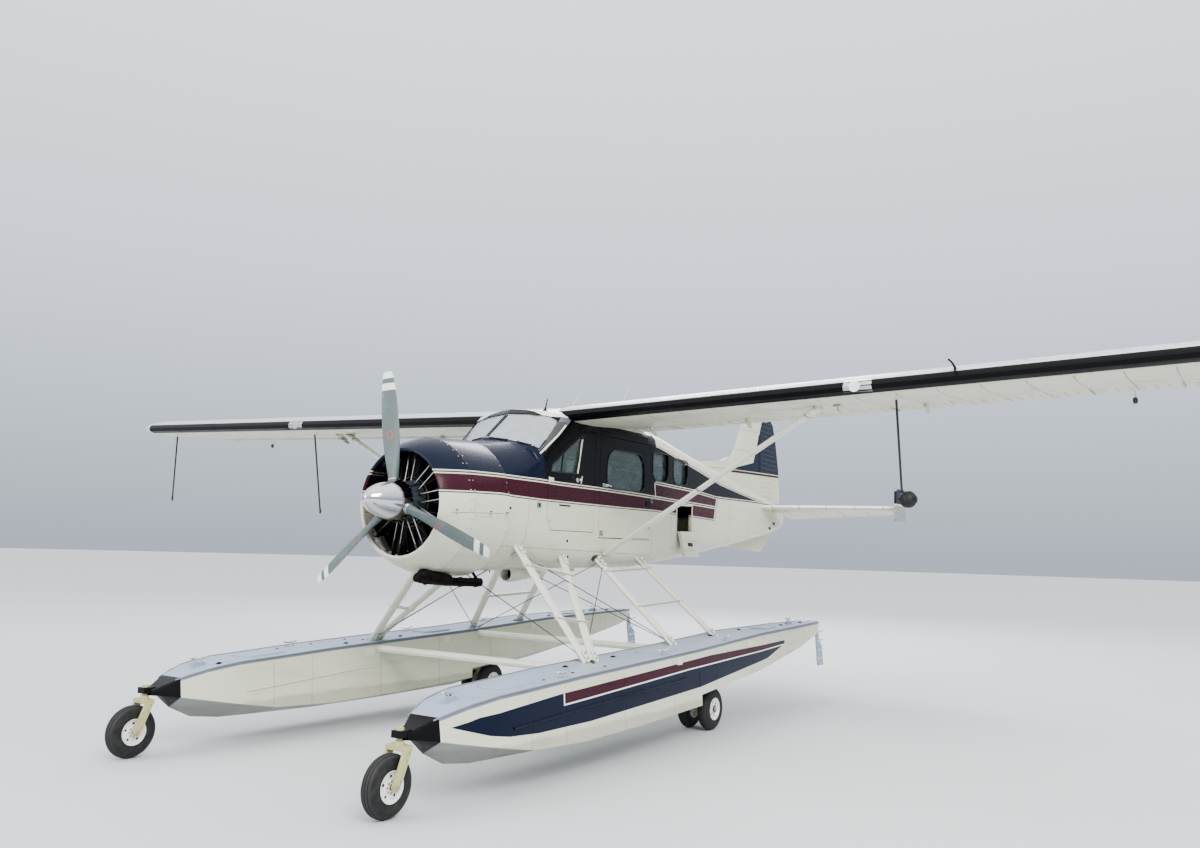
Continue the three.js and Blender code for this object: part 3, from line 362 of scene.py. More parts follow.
@dataclass(frozen=True)
class Metal(Finish):
    """Bare metal, brushed, stained or polished."""

    colour: tuple[float, float, float] = (0.6, 0.6, 0.6)
    rough: float = 0.3
    stain: tuple[float, float, float] = (0.12, 0.09, 0.06)
    stained: float = 0.3
    grain: float = 0.4

    def dress(self, paint: Paint) -> None:
        """Adds the finish's nodes to a material."""
        spots = paint.patches(18.0, 0.48, 0.7) * self.stained
        colour = paint.mix(spots, (*self.colour, 1.0), (*self.stain, 1.0))
        height = paint.noise(180.0, 3.0, 0.6, (1.0, 3.0, 1.0)) * self.grain
        paint.surface(base_color=colour, metallic=1.0 - spots * 0.6, normal=paint.bump(height, 0.0006),
                      roughness=spots * 0.5 + paint.noise(40.0, 3.0) * 0.14 + (self.rough - 0.07))


@dataclass(frozen=True)
class Rubber(Finish):
    """Black rubber, dusty in places."""

    dust: float = 0.3
    fine: float = 140.0

    def dress(self, paint: Paint) -> None:
        """Adds the finish's nodes to a material."""
        dusty = paint.patches(14.0, 0.45, 0.75) * self.dust
        colour = paint.mix(dusty, Tone.RUBBER, (0.16, 0.15, 0.14, 1.0))
        paint.surface(base_color=colour, roughness=dusty * 0.25 + 0.52,
                      normal=paint.bump(paint.noise(self.fine, 4.0), 0.0012))


@dataclass(frozen=True)
class Glazing(Finish):
    """Acrylic glazing, lightly tinted, with faint dust near its edges."""

    tint: tuple[float, float, float] = (0.035, 0.075, 0.066)
    cover: float = 0.50

    def dress(self, paint: Paint) -> None:
        """Adds the finish's nodes to a material."""
        haze = paint.patches(9.0, 0.4, 0.8) * 0.12
        colour = paint.mix(haze, (*self.tint, 1.0), (0.5, 0.52, 0.5, 1.0))
        paint.surface(base_color=colour, roughness=haze * 0.6 + 0.03, alpha=haze + self.cover, ior=1.49,
                      coat_weight=1.0, coat_roughness=0.02, specular_ior_level=0.8,
                      normal=paint.bump(paint.noise(5.0, 1.0), 0.0025))


@dataclass(frozen=True)
class Cloth(Finish):
    """Woven seat cloth."""

    colour: tuple[float, float, float] = (0.13, 0.135, 0.15)
    threads: float = 900.0

    def dress(self, paint: Paint) -> None:
        """Adds the finish's nodes to a material."""
        x, y, z = paint.xyz()
        weave = ((x + z) * self.threads).wave() * (y * self.threads).wave()
        worn = paint.patches(6.0, 0.45, 0.75) * 0.3
        colour = paint.mix(weave * 0.5 + worn, (*self.colour, 1.0), (0.30, 0.30, 0.31, 1.0))
        paint.surface(base_color=colour, roughness=worn * 0.2 + 0.8, sheen_weight=0.35,
                      normal=paint.bump(weave + paint.noise(30.0) * 0.6, 0.0008))


@dataclass(frozen=True)
class Rope(Finish):
    """Dark laid rope, its lay following the mesh's UV map."""

    colour: tuple[float, float, float] = (0.018, 0.018, 0.021)

    def dress(self, paint: Paint) -> None:
        """Adds the finish's nodes to a material."""
        split = paint.tree.nodes.new("ShaderNodeSeparateXYZ")
        uv = paint.node("ShaderNodeTexCoord", output="UV")
        paint.tree.links.new(uv.socket, split.inputs[0])
        around, along = Sock(paint, split.outputs[0]), Sock(paint, split.outputs[1])
        yarn = ((around * 18.0 - along * 40.0) * (2 * math.pi)).wave()
        fuzz = paint.noise(700.0, 3.0)
        colour = paint.mix(yarn * 0.5 + fuzz * 0.3, (*self.colour, 1.0), (0.10, 0.10, 0.11, 1.0))
        paint.surface(base_color=colour, roughness=fuzz * 0.2 + 0.75, normal=paint.bump(yarn + fuzz, 0.0008))


@dataclass(frozen=True)
class FuselagePaint(Finish):
    """The livery of the fuselage, doors and cowling: cream, a maroon band in thin lines, navy and black."""

    # heights of the bands' edges: x, z
    upper: Stations = ((0.1, 0.268), (-0.4, 0.284), (-0.8, 0.288), (-1.36, 0.279), (-1.7, 0.271),
                       (-2.46, 0.268), (-3.32, 0.256), (-4.09, 0.242), (-5.05, 0.232), (-5.57, 0.224))
    lower: Stations = ((0.1, 0.085), (-0.33, 0.096), (-0.73, 0.104), (-0.92, 0.096), (-1.37, 0.084),
                       (-2.9, 0.081), (-3.69, 0.086), (-5.47, 0.054))
    box_top: Stations = ((-3.70, 0.424), (-4.09, 0.415), (-4.71, 0.406), (-5.61, 0.362), (-6.33, 0.372),
                         (-6.97, 0.384), (-7.66, 0.386))
    spine: Stations = ((-3.43, 0.905), (-3.79, 0.871), (-4.37, 0.779), (-5.03, 0.682), (-5.75, 0.565),
                       (-6.54, 0.492), (-7.42, 0.418), (-7.95, 0.377))
    box_front: float = -3.69
    box_rear: float = -5.57
    box_lean: float = 0.55
    pinstripe: float = 0.013

    def dress(self, paint: Paint) -> None:
        """Adds the finish's nodes to a material."""
        x, y, z = paint.xyz()
        pin = self.pinstripe
        upper = z - paint.line(x, self.upper)
        lower = z - paint.line(x, self.lower)
        top = z - paint.line(x, self.box_top)
        spine = z - paint.line(x, self.spine)
        rear = x - (z * -self.box_lean * 0.55 + (self.box_rear + 0.03))
        ahead = rear.over(0.0)
        behind_door = x.under(self.box_front)
        boxed = behind_door * ahead
        dark = paint.mix(x.over(-1.43), Tone.NIGHT, Tone.NAVY)
        coats = [
            (lower.over(0.0) * upper.under(0.0) * ahead, Tone.MAROON),
            (upper.over(0.0) * x.over(self.box_front), dark),
            (upper.over(0.0) * top.under(0.0) * boxed, Tone.MAROON),
            (top.over(0.0) * spine.under(0.0) * behind_door, Tone.NIGHT),
        ]
        light = lower.between(0.0, pin).high(upper.between(pin * 0.5, pin * 1.5))
        light = light.high(upper.between(-pin * 1.5, -pin * 0.5)) * ahead
        frame_line = rear.between(0.0, pin * 2.2) * lower.over(0.0) * top.under(0.0)
        front_line = (x - self.box_front - z * 0.18 + 0.05).between(-pin * 1.5, 0.0)
        front_line = front_line * upper.over(0.0) * top.under(0.0)
        top_lines = top.between(-pin * 1.5, -pin * 0.5).high(top.between(pin * 0.5, pin * 1.5))
        top_lines = top_lines * behind_door
        spine_line = spine.between(-pin * 1.6, -pin * 0.6) * behind_door
        thin = lower.between(-pin * 0.7, 0.0) * ahead
        thin = thin.high(rear.between(-pin * 2.0, -pin) * lower.over(-pin) * top.under(0.0))
        thin = thin.high(top.between(-pin * 0.5, pin * 0.5) * behind_door)
        coats += [(light.high(frame_line).high(front_line).high(top_lines).high(spine_line), Tone.CREAM),
                  (thin, Tone.NIGHT)]
        wrap = abs(y).over(0.585, 0.004) * x.between(-1.93, -1.40)
        wrap = wrap * (z - (x + 1.40) * -0.724 - 0.585).over(0.0)
        coats.append((wrap, (0.16, 0.18, 0.20, 1.0)))
        roof = z.over(0.985, 0.01) * x.between(-3.6, -1.70) * abs(y).under(0.66)
        coats.append((roof, Tone.WHITE))
        colour: Value = Tone.CREAM
        for mask, tone in coats:
            colour = paint.mix(mask, colour, tone)
        cabin = abs(y).under(0.63) * z.between(-0.33, 0.93)
        cabin = cabin.high(abs(y).under(0.52) * z.between(-0.47, -0.33)) * x.between(-3.95, -1.47)
        inside = cabin.high(abs(y).under(0.50) * x.between(-4.95, -3.9) * z.between(-0.33, 0.6))
        colour = paint.mix(inside, colour, Tone.CABIN)
        paint.enamel(colour, 0.26, 0.55, self._seams(x, y, z))

    @staticmethod
    def _seams(x: Sock, y: Sock, z: Sock) -> Sock:
        """Thin dark joints between the panels."""
        sides = abs(y).over(0.25)
        lines = abs(x + 0.363).under(0.002, 0.001) * z.over(0.28)
        for station, low, high in ((-1.20, -0.6, 0.25), (-3.62, -0.6, 0.9), (-4.15, -0.6, 0.4),
                                   (-6.1, -0.3, 0.6), (-6.9, -0.3, 0.5), (-7.6, -0.3, 0.5)):
            lines = lines.high(abs(x - station).under(0.0016, 0.001) * z.between(low, high))
        hinge = abs(z + 0.1 + (x + 0.14) * 0.03).under(0.002, 0.001) * x.between(-0.87, -0.15)
        sill = abs(z + 0.268).under(0.0025, 0.001) * x.between(-3.57, -2.45)
        stringer = abs(z + 0.39 - (x + 1.0) * 0.02).under(0.0016, 0.001) * x.between(-3.6, -0.9)
        return lines.high(hinge).high(sill).high(stringer) * sides


@dataclass(frozen=True)
class FinPaint(Finish):
    """Cream fin and rudder with a navy wedge, a navy head on the rudder and a thin double line."""

    # x, z
    wedge: Stations = ((-8.208, 1.706), (-7.869, 1.058), (-7.422, 0.971))
    foot: Stations = ((-7.158, 0.895), (-8.963, 0.944))

    def dress(self, paint: Paint) -> None:
        """Adds the finish's nodes to a material."""
        x, _, z = paint.xyz()
        foot = z - paint.line(x, self.foot)
        wedge = paint.line(x, self.wedge) - z
        navy = wedge.over(0.0) * foot.over(0.0) * x.under(-7.16)
        colour = paint.mix(navy, Tone.CREAM, Tone.NAVY)
        colour = paint.mix(foot.between(-0.014, 0.0) * x.under(-7.0), colour, Tone.CREAM)
        colour = paint.mix(foot.between(-0.040, -0.014) * x.under(-7.0), colour, Tone.MAROON)
        colour = paint.mix(foot.between(-0.048, -0.040) * x.under(-7.0), colour, Tone.NIGHT)
        ribs = abs((z + x * 0.02) * (2 * math.pi / 0.33)).wave().over(0.995, 0.004) * x.over(-8.06)
        paint.enamel(colour, 0.28, 0.4, ribs * 0.4)


@dataclass(frozen=True)
class TailplanePaint(Finish):
    """White tailplane with cream undersides, and end plates in navy and grey with a white stripe."""

    def dress(self, paint: Paint) -> None:
        """Adds the finish's nodes to a material."""
        _, y, z = paint.xyz()
        plate = abs(y).over(2.397)
        colour = paint.mix(z.over(0.325, 0.004), Tone.CREAM, Tone.WHITE)
        ends = paint.mix(z.over(0.355), Tone.HULL, Tone.CREAM)
        ends = paint.mix(z.over(0.378), ends, Tone.NAVY)
        colour = paint.mix(plate, colour, ends)
        ribs = abs(y * (2 * math.pi / 0.42)).wave().over(0.996, 0.003) * (1.0 - plate)
        paint.enamel(colour, 0.3, 0.5, ribs * 0.5)


@dataclass(frozen=True)
class WingPaint(Finish):
    """Wing with a black leading edge and a cream underside; its grey-white top is a painted sky reflection.
    """

    lead: float = -1.87
    band: float = 0.085

    def dress(self, paint: Paint) -> None:
        """Adds the finish's nodes to a material."""
        x, y, z = paint.xyz()
        rise = z - abs(y) * 0.03 - 1.0
        # The grey-white of the top is a painted reflection of the sky; the underside keeps the cream.
        top = rise.over((x - self.lead) * -0.03 + 0.012, 0.004)
        colour = paint.mix(top, Tone.CREAM, (0.60, 0.63, 0.66, 1.0))
        nose = x.over(self.lead - self.band) * abs(y).under(7.0) * rise.under(0.055)
        colour = paint.mix(nose, colour, Tone.NIGHT)
        tip = abs(y).over(7.19)
        colour = paint.mix(tip, colour, Tone.NAVY)
        ribs = abs(y * (2 * math.pi / 0.36)).wave().over(0.997, 0.002) * x.under(-2.0)
        spar = abs(x + 2.30).under(0.0016, 0.001).high(abs(x + 2.92).under(0.0016, 0.001))
        boot = abs(x - self.lead + self.band + 0.004).under(0.0016, 0.001)
        paint.enamel(colour, 0.34, 0.7, ribs.high(spar).high(boot) * 0.6)


@dataclass(frozen=True)
class FloatPaint(Finish):
    """Cream float: grey deck and bottom, black bow, and a navy and maroon flash on its outboard side."""

    # x, z
    deck: Stations = ((1.335, -1.725), (1.245, -1.688), (1.12, -1.631), (0.9, -1.568), (0.6, -1.521),
                      (0.2, -1.501), (-0.5, -1.463), (-1.5, -1.426), (-2.65, -1.386), (-4.2, -1.31),
                      (-5.6, -1.288), (-6.64, -1.284))
    chine: Stations = ((1.335, -1.77), (1.12, -1.797), (0.9, -1.838), (0.6, -1.896), (0.2, -1.968),
                       (-0.5, -2.0), (-1.5, -1.985), (-2.64, -1.945), (-2.66, -1.842), (-4.2, -1.716),
                       (-5.6, -1.556), (-6.64, -1.40))
    flash_top: Stations = ((1.036, -1.707), (0.793, -1.659), (0.364, -1.624), (-0.19, -1.581), (-2.9, -1.462),
                           (-5.2, -1.43))
    flash_foot: Stations = ((1.036, -1.707), (0.893, -1.747), (0.708, -1.796), (0.5, -1.828), (0.128, -1.848),
                            (-0.6, -1.845), (-2.6, -1.76), (-4.4, -1.6), (-5.2, -1.43))
    box_foot: Stations = ((-0.2, -1.68), (-2.4, -1.573), (-4.6, -1.5))
    box_front: float = -0.21

    def dress(self, paint: Paint) -> None:
        """Adds the finish's nodes to a material."""
        x, y, z = paint.xyz()
        deck = z - paint.line(x, self.deck)
        outboard = abs(y).over(1.60, 0.01)
        top, foot = paint.line(x, self.flash_top), paint.line(x, self.flash_foot)
        flash = z.over(foot) * z.under(top) * outboard * x.over(-5.0)
        box = z - paint.line(x, self.box_foot)
        maroon = flash * x.under(self.box_front - 0.018) * box.over(0.014)
        frame_ = flash * x.under(self.box_front) * box.over(0.0) * (1.0 - maroon)
        colour = paint.mix(flash, Tone.CREAM, Tone.NAVY)
        colour = paint.mix(frame_, colour, Tone.WHITE)
        colour = paint.mix(maroon * x.over(-4.7), colour, Tone.MAROON)
        bottom = z.under(paint.line(x, self.chine) - 0.004, 0.004)
        colour = paint.mix(bottom, colour, Tone.HULL)
        colour = paint.mix(deck.over(-0.027, 0.002), colour, Tone.RAIL)
        grit = paint.noise(420.0, 1.0).over(0.62, 0.1)
        upper = paint.mix(grit * 0.12, Tone.DECK, Tone.RAIL)
        colour = paint.mix(deck.over(-0.004, 0.003), colour, upper)
        colour = paint.mix(x.over(1.12), colour, Tone.BLACK)
        bulkheads = abs(x * (2 * math.pi / 0.92)).wave().over(0.9985, 0.001) * deck.under(-0.03)
        water = z.under(paint.noise(2.5, 4.0, 0.6, (1, 1, 0.2)) * 0.09 - 1.93, 0.03) * 0.35
        colour = paint.mix(water, colour, (0.20, 0.19, 0.13, 1.0))
        paint.enamel(colour, 0.34, 0.6, bulkheads * 0.16)


@dataclass(frozen=True)
class BladePaint(Finish):
    """Grey propeller blade with two white bands at its tip, its leading edge worn by spray."""

    bands: tuple[tuple[float, float], ...] = ((1.06, 1.128), (1.176, 1.25))

    def dress(self, paint: Paint) -> None:
        """Adds the finish's nodes to a material."""
        _, y, z = paint.xyz()
        radius = (y * y + z * z) ** 0.5
        white = radius.between(*self.bands[0]).high(radius.between(*self.bands[1]))
        rubbed = paint.patches(38.0, 0.60, 0.7, 4.0) * radius.over(0.75, 0.5) * 0.55
        colour = paint.mix(white, Tone.BLADE, Tone.WHITE)
        colour = paint.mix(paint.patches(7.0) * 0.25, colour, (0.26, 0.29, 0.30, 1.0))
        colour = paint.mix(rubbed, colour, (0.40, 0.41, 0.42, 1.0))
        ring = self._decal(y, z)
        colour = paint.mix(ring, colour, (0.42, 0.13, 0.09, 1.0))
        paint.surface(base_color=colour, metallic=rubbed * 0.6, roughness=0.46 - rubbed * 0.1,
                      normal=paint.bump(paint.noise(90.0, 3.0), 0.0006))

    @staticmethod
    def _decal(y: Sock, z: Sock) -> Sock:
        """A plain ring halfway along each blade."""
        rings: Value = 0.0
        for k in range(3):
            turn = math.radians(98.43 + 120 * k)
            along = y * math.cos(turn) + z * math.sin(turn) - 0.625
            across = z * math.cos(turn) - y * math.sin(turn)
            reach = ((along / 0.040) ** 2.0 + (across / 0.028) ** 2.0) ** 0.5
            rings = reach.between(0.62, 1.0, 0.05).high(rings)
        return rings


@dataclass(frozen=True)
class SpinnerChrome(Finish):
    """Polished spinner with faint turned rings and haze."""

    def dress(self, paint: Paint) -> None:
        """Adds the finish's nodes to a material."""
        x, _, _ = paint.xyz()
        rings = (x * 900.0).wave()
        haze = paint.patches(11.0, 0.45, 0.75) * 0.10
        colour = paint.mix(haze, (0.62, 0.62, 0.64, 1.0), (0.40, 0.40, 0.40, 1.0))
        paint.surface(base_color=colour, metallic=1.0, roughness=haze + 0.05,
                      normal=paint.bump(rings * 0.3 + paint.noise(9.0), 0.0003))


@dataclass(frozen=True)
class TyreRubber(Finish):
    """Tyre rubber, ringed on the wall, dusty, with a paler tread."""

    centre: tuple[float, float] = (1.465, -2.065)
    tread: float = 0.196

    def dress(self, paint: Paint) -> None:
        """Adds the finish's nodes to a material."""
        x, _, z = paint.xyz()
        radius = ((x - self.centre[0]) ** 2.0 + (z - self.centre[1]) ** 2.0) ** 0.5
        tread = radius.over(self.tread, 0.01)
        rings = (radius * (2 * math.pi / 0.014)).wave().over(0.9, 0.2) * (1.0 - tread) * 0.4
        dust = paint.patches(20.0, 0.45, 0.75) * 0.35
        colour = paint.mix(dust.high(tread * 0.25), Tone.RUBBER, (0.09, 0.087, 0.083, 1.0))
        paint.surface(base_color=colour, roughness=dust * 0.2 + 0.62,
                      normal=paint.bump(rings + paint.noise(130.0) * 0.2, 0.003))


class Finishes:
    """The finishes, by what they are on."""

    fuselage = FuselagePaint("fuselage_livery")
    fin = FinPaint("fin_livery")
    tailplane = TailplanePaint("tailplane_paint")
    wing = WingPaint("wing_paint")
    hull = FloatPaint("float_livery")
    cream = Enamel("cream_enamel", Tone.CREAM, 0.3, 0.6)
    strut = Enamel("strut_enamel", (0.78, 0.78, 0.68, 1.0), 0.3, 0.45)
    black = Enamel("black_enamel", Tone.BLACK, 0.4, 0.3)
    deck = Enamel("deck_enamel", Tone.DECK, 0.5, 0.5)
    rail = Enamel("rail_enamel", Tone.RAIL, 0.45, 0.4)
    cabin = Enamel("cabin_trim_enamel", Tone.CABIN, 0.6, 0.2)
    olive = Enamel("olive_enamel", Tone.OLIVE, 0.36, 0.55)
    rim = Enamel("rim_enamel", Tone.WHITE, 0.35, 0.8)
    crankcase = Enamel("crankcase_enamel", (0.05, 0.062, 0.075, 1.0), 0.35, 0.8)
    blade = BladePaint("blade_paint_worn")
    chrome = SpinnerChrome("spinner_chrome")
    steel = Metal("fitting_steel", (0.46, 0.46, 0.45), 0.32)
    dark_steel = Metal("dark_steel", (0.10, 0.10, 0.10), 0.42, (0.07, 0.04, 0.02), 0.5)
    aluminium = Metal("bare_aluminium", (0.70, 0.71, 0.72), 0.28, (0.3, 0.3, 0.29), 0.25)
    cylinder = Metal("cylinder_iron", (0.055, 0.055, 0.06), 0.45, (0.09, 0.05, 0.03), 0.45)
    burnt = Metal("burnt_exhaust", (0.020, 0.017, 0.016), 0.55, (0.045, 0.022, 0.014), 0.5)
    rubber = Rubber("black_rubber")
    glass = Glazing("tinted_glazing")
    screen = Glazing("windscreen_glazing", (0.52, 0.56, 0.61), 0.55)
    lens = Glazing("lamp_lens", (0.75, 0.77, 0.78), 0.55)
    red_lens = Glazing("red_lens", (0.55, 0.02, 0.02), 0.85)
    green_lens = Glazing("green_lens", (0.02, 0.45, 0.08), 0.85)
    cloth = Cloth("seat_cloth_woven")
    rope = Rope("laid_rope")
    bow_tyre = TyreRubber("bow_tyre_rubber")
    main_tyre = TyreRubber("main_tyre_rubber", (-3.230, -2.062), 0.198)


class Shape:
    """A mesh under construction, in metres from the centre of the propeller."""

    def __init__(self) -> None:
        """Starts with nothing in it."""
        self.points: list[Vector] = []
        self.faces: list[tuple[int, ...]] = []
        self.marks: list[int] = []
        self.mark = 0

    def using(self, mark: int) -> "Shape":
        """The faces added from here on take this one of the piece's finishes."""
        self.mark = mark
        return self

    def add(self, points: Iterable[Place], faces: Iterable[Sequence[int]]) -> "Shape":
        """Adds points, and faces that count from the first of them."""
        start = len(self.points)
        self.points += [Vector(point) for point in points]
        new = [tuple(i + start for i in face) for face in faces]
        self.faces += new
        self.marks += [self.mark] * len(new)
        return self

    def loft(self, rings: Sequence[Sequence[Place]], caps: bool = True, closed: bool = True) -> "Shape":
        """Adds a skin over rings of points, all of one length.

        Args:
            rings: The rings in order.
            caps: Whether the ends are closed.
            closed: Whether each ring runs back to its first point.

        Returns:
            This shape.
        """
        count, last = len(rings[0]), len(rings) - 1
        faces: list[tuple[int, ...]] = []
        for row in range(last):
            low, high = row * count, (row + 1) * count
            for i in range(count if closed else count - 1):
                j = (i + 1) % count
                faces.append((low + i, low + j, high + j, high + i))
        if caps:
            faces += [tuple(reversed(range(count))), tuple(range(last * count, (last + 1) * count))]
        return self.add([point for ring in rings for point in ring], faces)

    @staticmethod
    def _across(direction: Vector) -> tuple[Vector, Vector]:
        """Two directions square to one another and to a direction."""
        start = Vector(UP) if abs(direction.z) < 0.9 else Vector(AHEAD)
        first = direction.cross(start).normalized()
        return first, direction.cross(first)

    @staticmethod
    def _round(centre: Vector, u: Vector, v: Vector, radius: float, sides: int) -> list[Vector]:
        """The points of a circle in the plane of two directions."""
        turns = [2 * math.pi * i / sides for i in range(sides)]
        return [centre + radius * (u * math.cos(a) + v * math.sin(a)) for a in turns]

    def circle(self, centre: Place, direction: Vector, radius: float, sides: int) -> list[Vector]:
        """The points of a circle about a direction."""
        return self._round(Vector(centre), *self._across(direction), radius, sides)

    def rod(self, start: Place, end: Place, radius: float, sides: int = 12,
            end_radius: float = -1.0) -> "Shape":
        """Adds a round rod, tapered where a second radius is given.

        Args:
            start: The middle of one end.
            end: The middle of the other.
            radius: Its radius.
            sides: How many sides it has.
            end_radius: Its radius at the end, or less than 0 where it is not tapered.

        Returns:
            This shape.
        """
        a, b = Vector(start), Vector(end)
        way = (b - a).normalized()
        last = radius if end_radius < 0 else end_radius
        return self.loft([self.circle(a, way, radius, sides), self.circle(b, way, last, sides)])

    def tube(self, path: Sequence[Place], radius: float, sides: int = 10) -> "Shape":
        """Adds a round tube that follows a path.

        Args:
            path: The points that it runs through.
            radius: Its radius.
            sides: How many sides it has.

        Returns:
            This shape.
        """
        points = [Vector(point) for point in path]
        ways = [(b - a).normalized() for a, b in zip(points, points[1:])]
        ways = [ways[0]] + [(a + b).normalized() for a, b in zip(ways, ways[1:])] + [ways[-1]]
        u = self._across(ways[0])[0]
        rings = []
        for point, way in zip(points, ways):
            u = (u - way * u.dot(way)).normalized()
            rings.append(self._round(point, u, way.cross(u), radius, sides))
        return self.loft(rings)

    def turned(self, profile: Stations, centre: Place, axis: Place = AHEAD, sides: int = 32) -> "Shape":
        """Adds a body turned about an axis.

        Args:
            profile: Distance along the axis and radius, point by point.
            centre: Where the axis starts.
            axis: The axis's direction.
            sides: How many sides it has.

        Returns:
            This shape.
        """
        way, start = Vector(axis).normalized(), Vector(centre)
        return self.loft([self.circle(start + way * along, way, max(radius, POLE), sides)
                          for along, radius in profile])

    def box(self, low: Place, high: Place) -> "Shape":
        """Adds a box between two corners."""
        (x0, y0, z0), (x1, y1, z1) = low, high
        return self.loft([[(x, y0, z0), (x, y1, z0), (x, y1, z1), (x, y0, z1)] for x in (x0, x1)])

    def slab(self, outline: Sequence[Place], thickness: Place) -> "Shape":
        """Adds a flat outline given depth by a vector."""
        depth = Vector(thickness)
        return self.loft([[Vector(p) for p in outline], [Vector(p) + depth for p in outline]])

    def block(self, centre: Place, along: Place, up: Place, size: Place) -> "Shape":
        """Adds a box about a centre.

        Args:
            centre: Its middle.
            along: The way that its length lies.
            up: The way that its top faces.
            size: Its length, width and height.

        Returns:
            This shape.
        """
        x = Vector(along).normalized()
        z = (Vector(up) - x * Vector(up).dot(x)).normalized()
        y = z.cross(x)
        half = [0.5 * s for s in size]
        return self.loft([[Vector(centre) + x * a * half[0] + y * b * half[1] + z * c * half[2]
                           for b, c in ((-1, -1), (1, -1), (1, 1), (-1, 1))] for a in (-1, 1)])

    def strut(self, start: Place, end: Place, chord: float, thickness: float, sides: int = 20) -> "Shape":
        """Adds a streamlined bar, its chord as nearly fore and aft as it can lie.

        Args:
            start: The middle of one end.
            end: The middle of the other.
            chord: How deep it is along its chord.
            thickness: How thick it is across it.
            sides: How many sides it has.

        Returns:
            This shape.
        """
        a, b = Vector(start), Vector(end)
        way = (b - a).normalized()
        across = (Vector(AHEAD) - way * way.x).normalized()
        side = way.cross(across)
        turns = [2 * math.pi * i / sides for i in range(sides)]
        section = [across * (0.5 * chord * math.cos(t))
                   + side * (0.5 * thickness * math.sin(t) * (0.82 + 0.25 * math.cos(t))) for t in turns]
        return self.loft([[centre + point for point in section] for centre in (a, b)])

    def mesh(self, name: str) -> bpy.types.Mesh:
        """The shape as a Blender mesh in the shared frame, merged and with its faces outwards."""
        made = bmesh.new()
        points = [made.verts.new(point + HUB) for point in self.points]
        for face, mark in zip(self.faces, self.marks):
            try:
                made.faces.new([points[i] for i in face]).material_index = mark
            except ValueError:
                log.debug("%s: face %s is there twice", name, face)
        bmesh.ops.remove_doubles(made, verts=made.verts, dist=0.00012)
        bmesh.ops.recalc_face_normals(made, faces=made.faces)
        mesh = bpy.data.meshes.new(name)
        made.to_mesh(mesh)
        made.free()
        return mesh

    def piece(self, name: str, body: str, finishes: Sequence[Finish], bevel: float = 0.0,
              angle: float = SMOOTH, slot: str = "") -> bpy.types.Object:
        """Makes the finished piece.

        Args:
            name: The piece's name.
            body: The CAD body that it rides on.
            finishes: Its finishes, in the order of the marks.
            bevel: The width of its rounded edges.
            angle: Faces that meet at less than this are shaded as one, in degrees.
            slot: The name of a material slot; it is not used.

        Returns:
            The piece.
        """
        return settle(bpy.data.objects.new(name, self.mesh(name)), body, finishes, bevel, angle)


def settle(piece: bpy.types.Object, body: str, finishes: Sequence[Finish], bevel: float = 0.0,
           angle: float = SMOOTH) -> bpy.types.Object:
    """Gives a made mesh its finishes, shading and body, and reports it.

    Args:
        piece: The object. The other arguments are those of Shape.piece.
        body: The CAD body that it rides on.
        finishes: Its finishes, in the order of the marks.
        bevel: The width of its rounded edges.
        angle: Faces that meet at less than this are shaded as one, in degrees.

    Returns:
        The object.
    """
    mesh = piece.data
    if not piece.users_collection:
        bpy.context.scene.collection.objects.link(piece)
    # Clearing an empty list would reset the marks of a new mesh, so it is left alone.
    if mesh.materials:
        mesh.materials.clear()
    for finish in finishes:
        mesh.materials.append(finish.material())
    mesh.shade_smooth()
    mesh.set_sharp_from_angle(angle=math.radians(angle))
    if bevel > 0:
        rounding = piece.modifiers.new("rounded_edges", "BEVEL")
        rounding.width = bevel
        rounding.segments = 2
        rounding.limit_method = "ANGLE"
        rounding.angle_limit = math.radians(35)
        rounding.use_clamp_overlap = True
    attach(piece, body)
    log.info("%-30s %6d faces, rides on %s", piece.name, len(mesh.polygons), body)
    return piece


def stud(profile: Stations, sides: int) -> Shape:
    """A small turned shape that stands on its own origin, to set out in rows."""
    return Shape().turned(profile, (0, 0, 0), UP, sides)


def lifted(seats: Iterable[Seat], lift: float) -> list[Vector]:
    """The places of seats, lifted off the skin."""
    return [spot + out * lift for spot, out, _ in seats]


def sunk(seats: Iterable[Seat], axis: int = 0, least: float = -1.0, depth: float = 0.0003) -> list[Seat]:
    """Seats pressed into the skin, those alone that face along an axis by more than so much."""
    return [(spot - out * depth, out, along) for spot, out, along in seats if abs(out[axis]) > least]


def rivet(foot: float, shoulder: float, rise: float, height: float, sides: int) -> Shape:
    """A low domed head, given by two radii and the heights of its shoulder and top."""
    return stud([(0.0, foot), (rise, shoulder), (height, 0.0)], sides)


def around(count: int, offset: float = 0.0) -> list[Vector]:
    """Directions in equal steps round the fore-and-aft axis."""
    turns = [2 * math.pi * (i + offset) / count for i in range(count)]
    return [Vector((0, math.cos(turn), math.sin(turn))) for turn in turns]


def stepped(path: Sequence[Place], steps: int, closed: bool = False) -> list[tuple[float, ...]]:
    """Points in equal steps along a path's straight runs. The last point of an open path is left out."""
    runs = list(zip(path, path[1:])) + ([(path[-1], path[0])] if closed else [])
    return [tuple(a + (b - a) * k / steps for a, b in zip(start, end)) for start, end in runs
            for k in range(steps)]


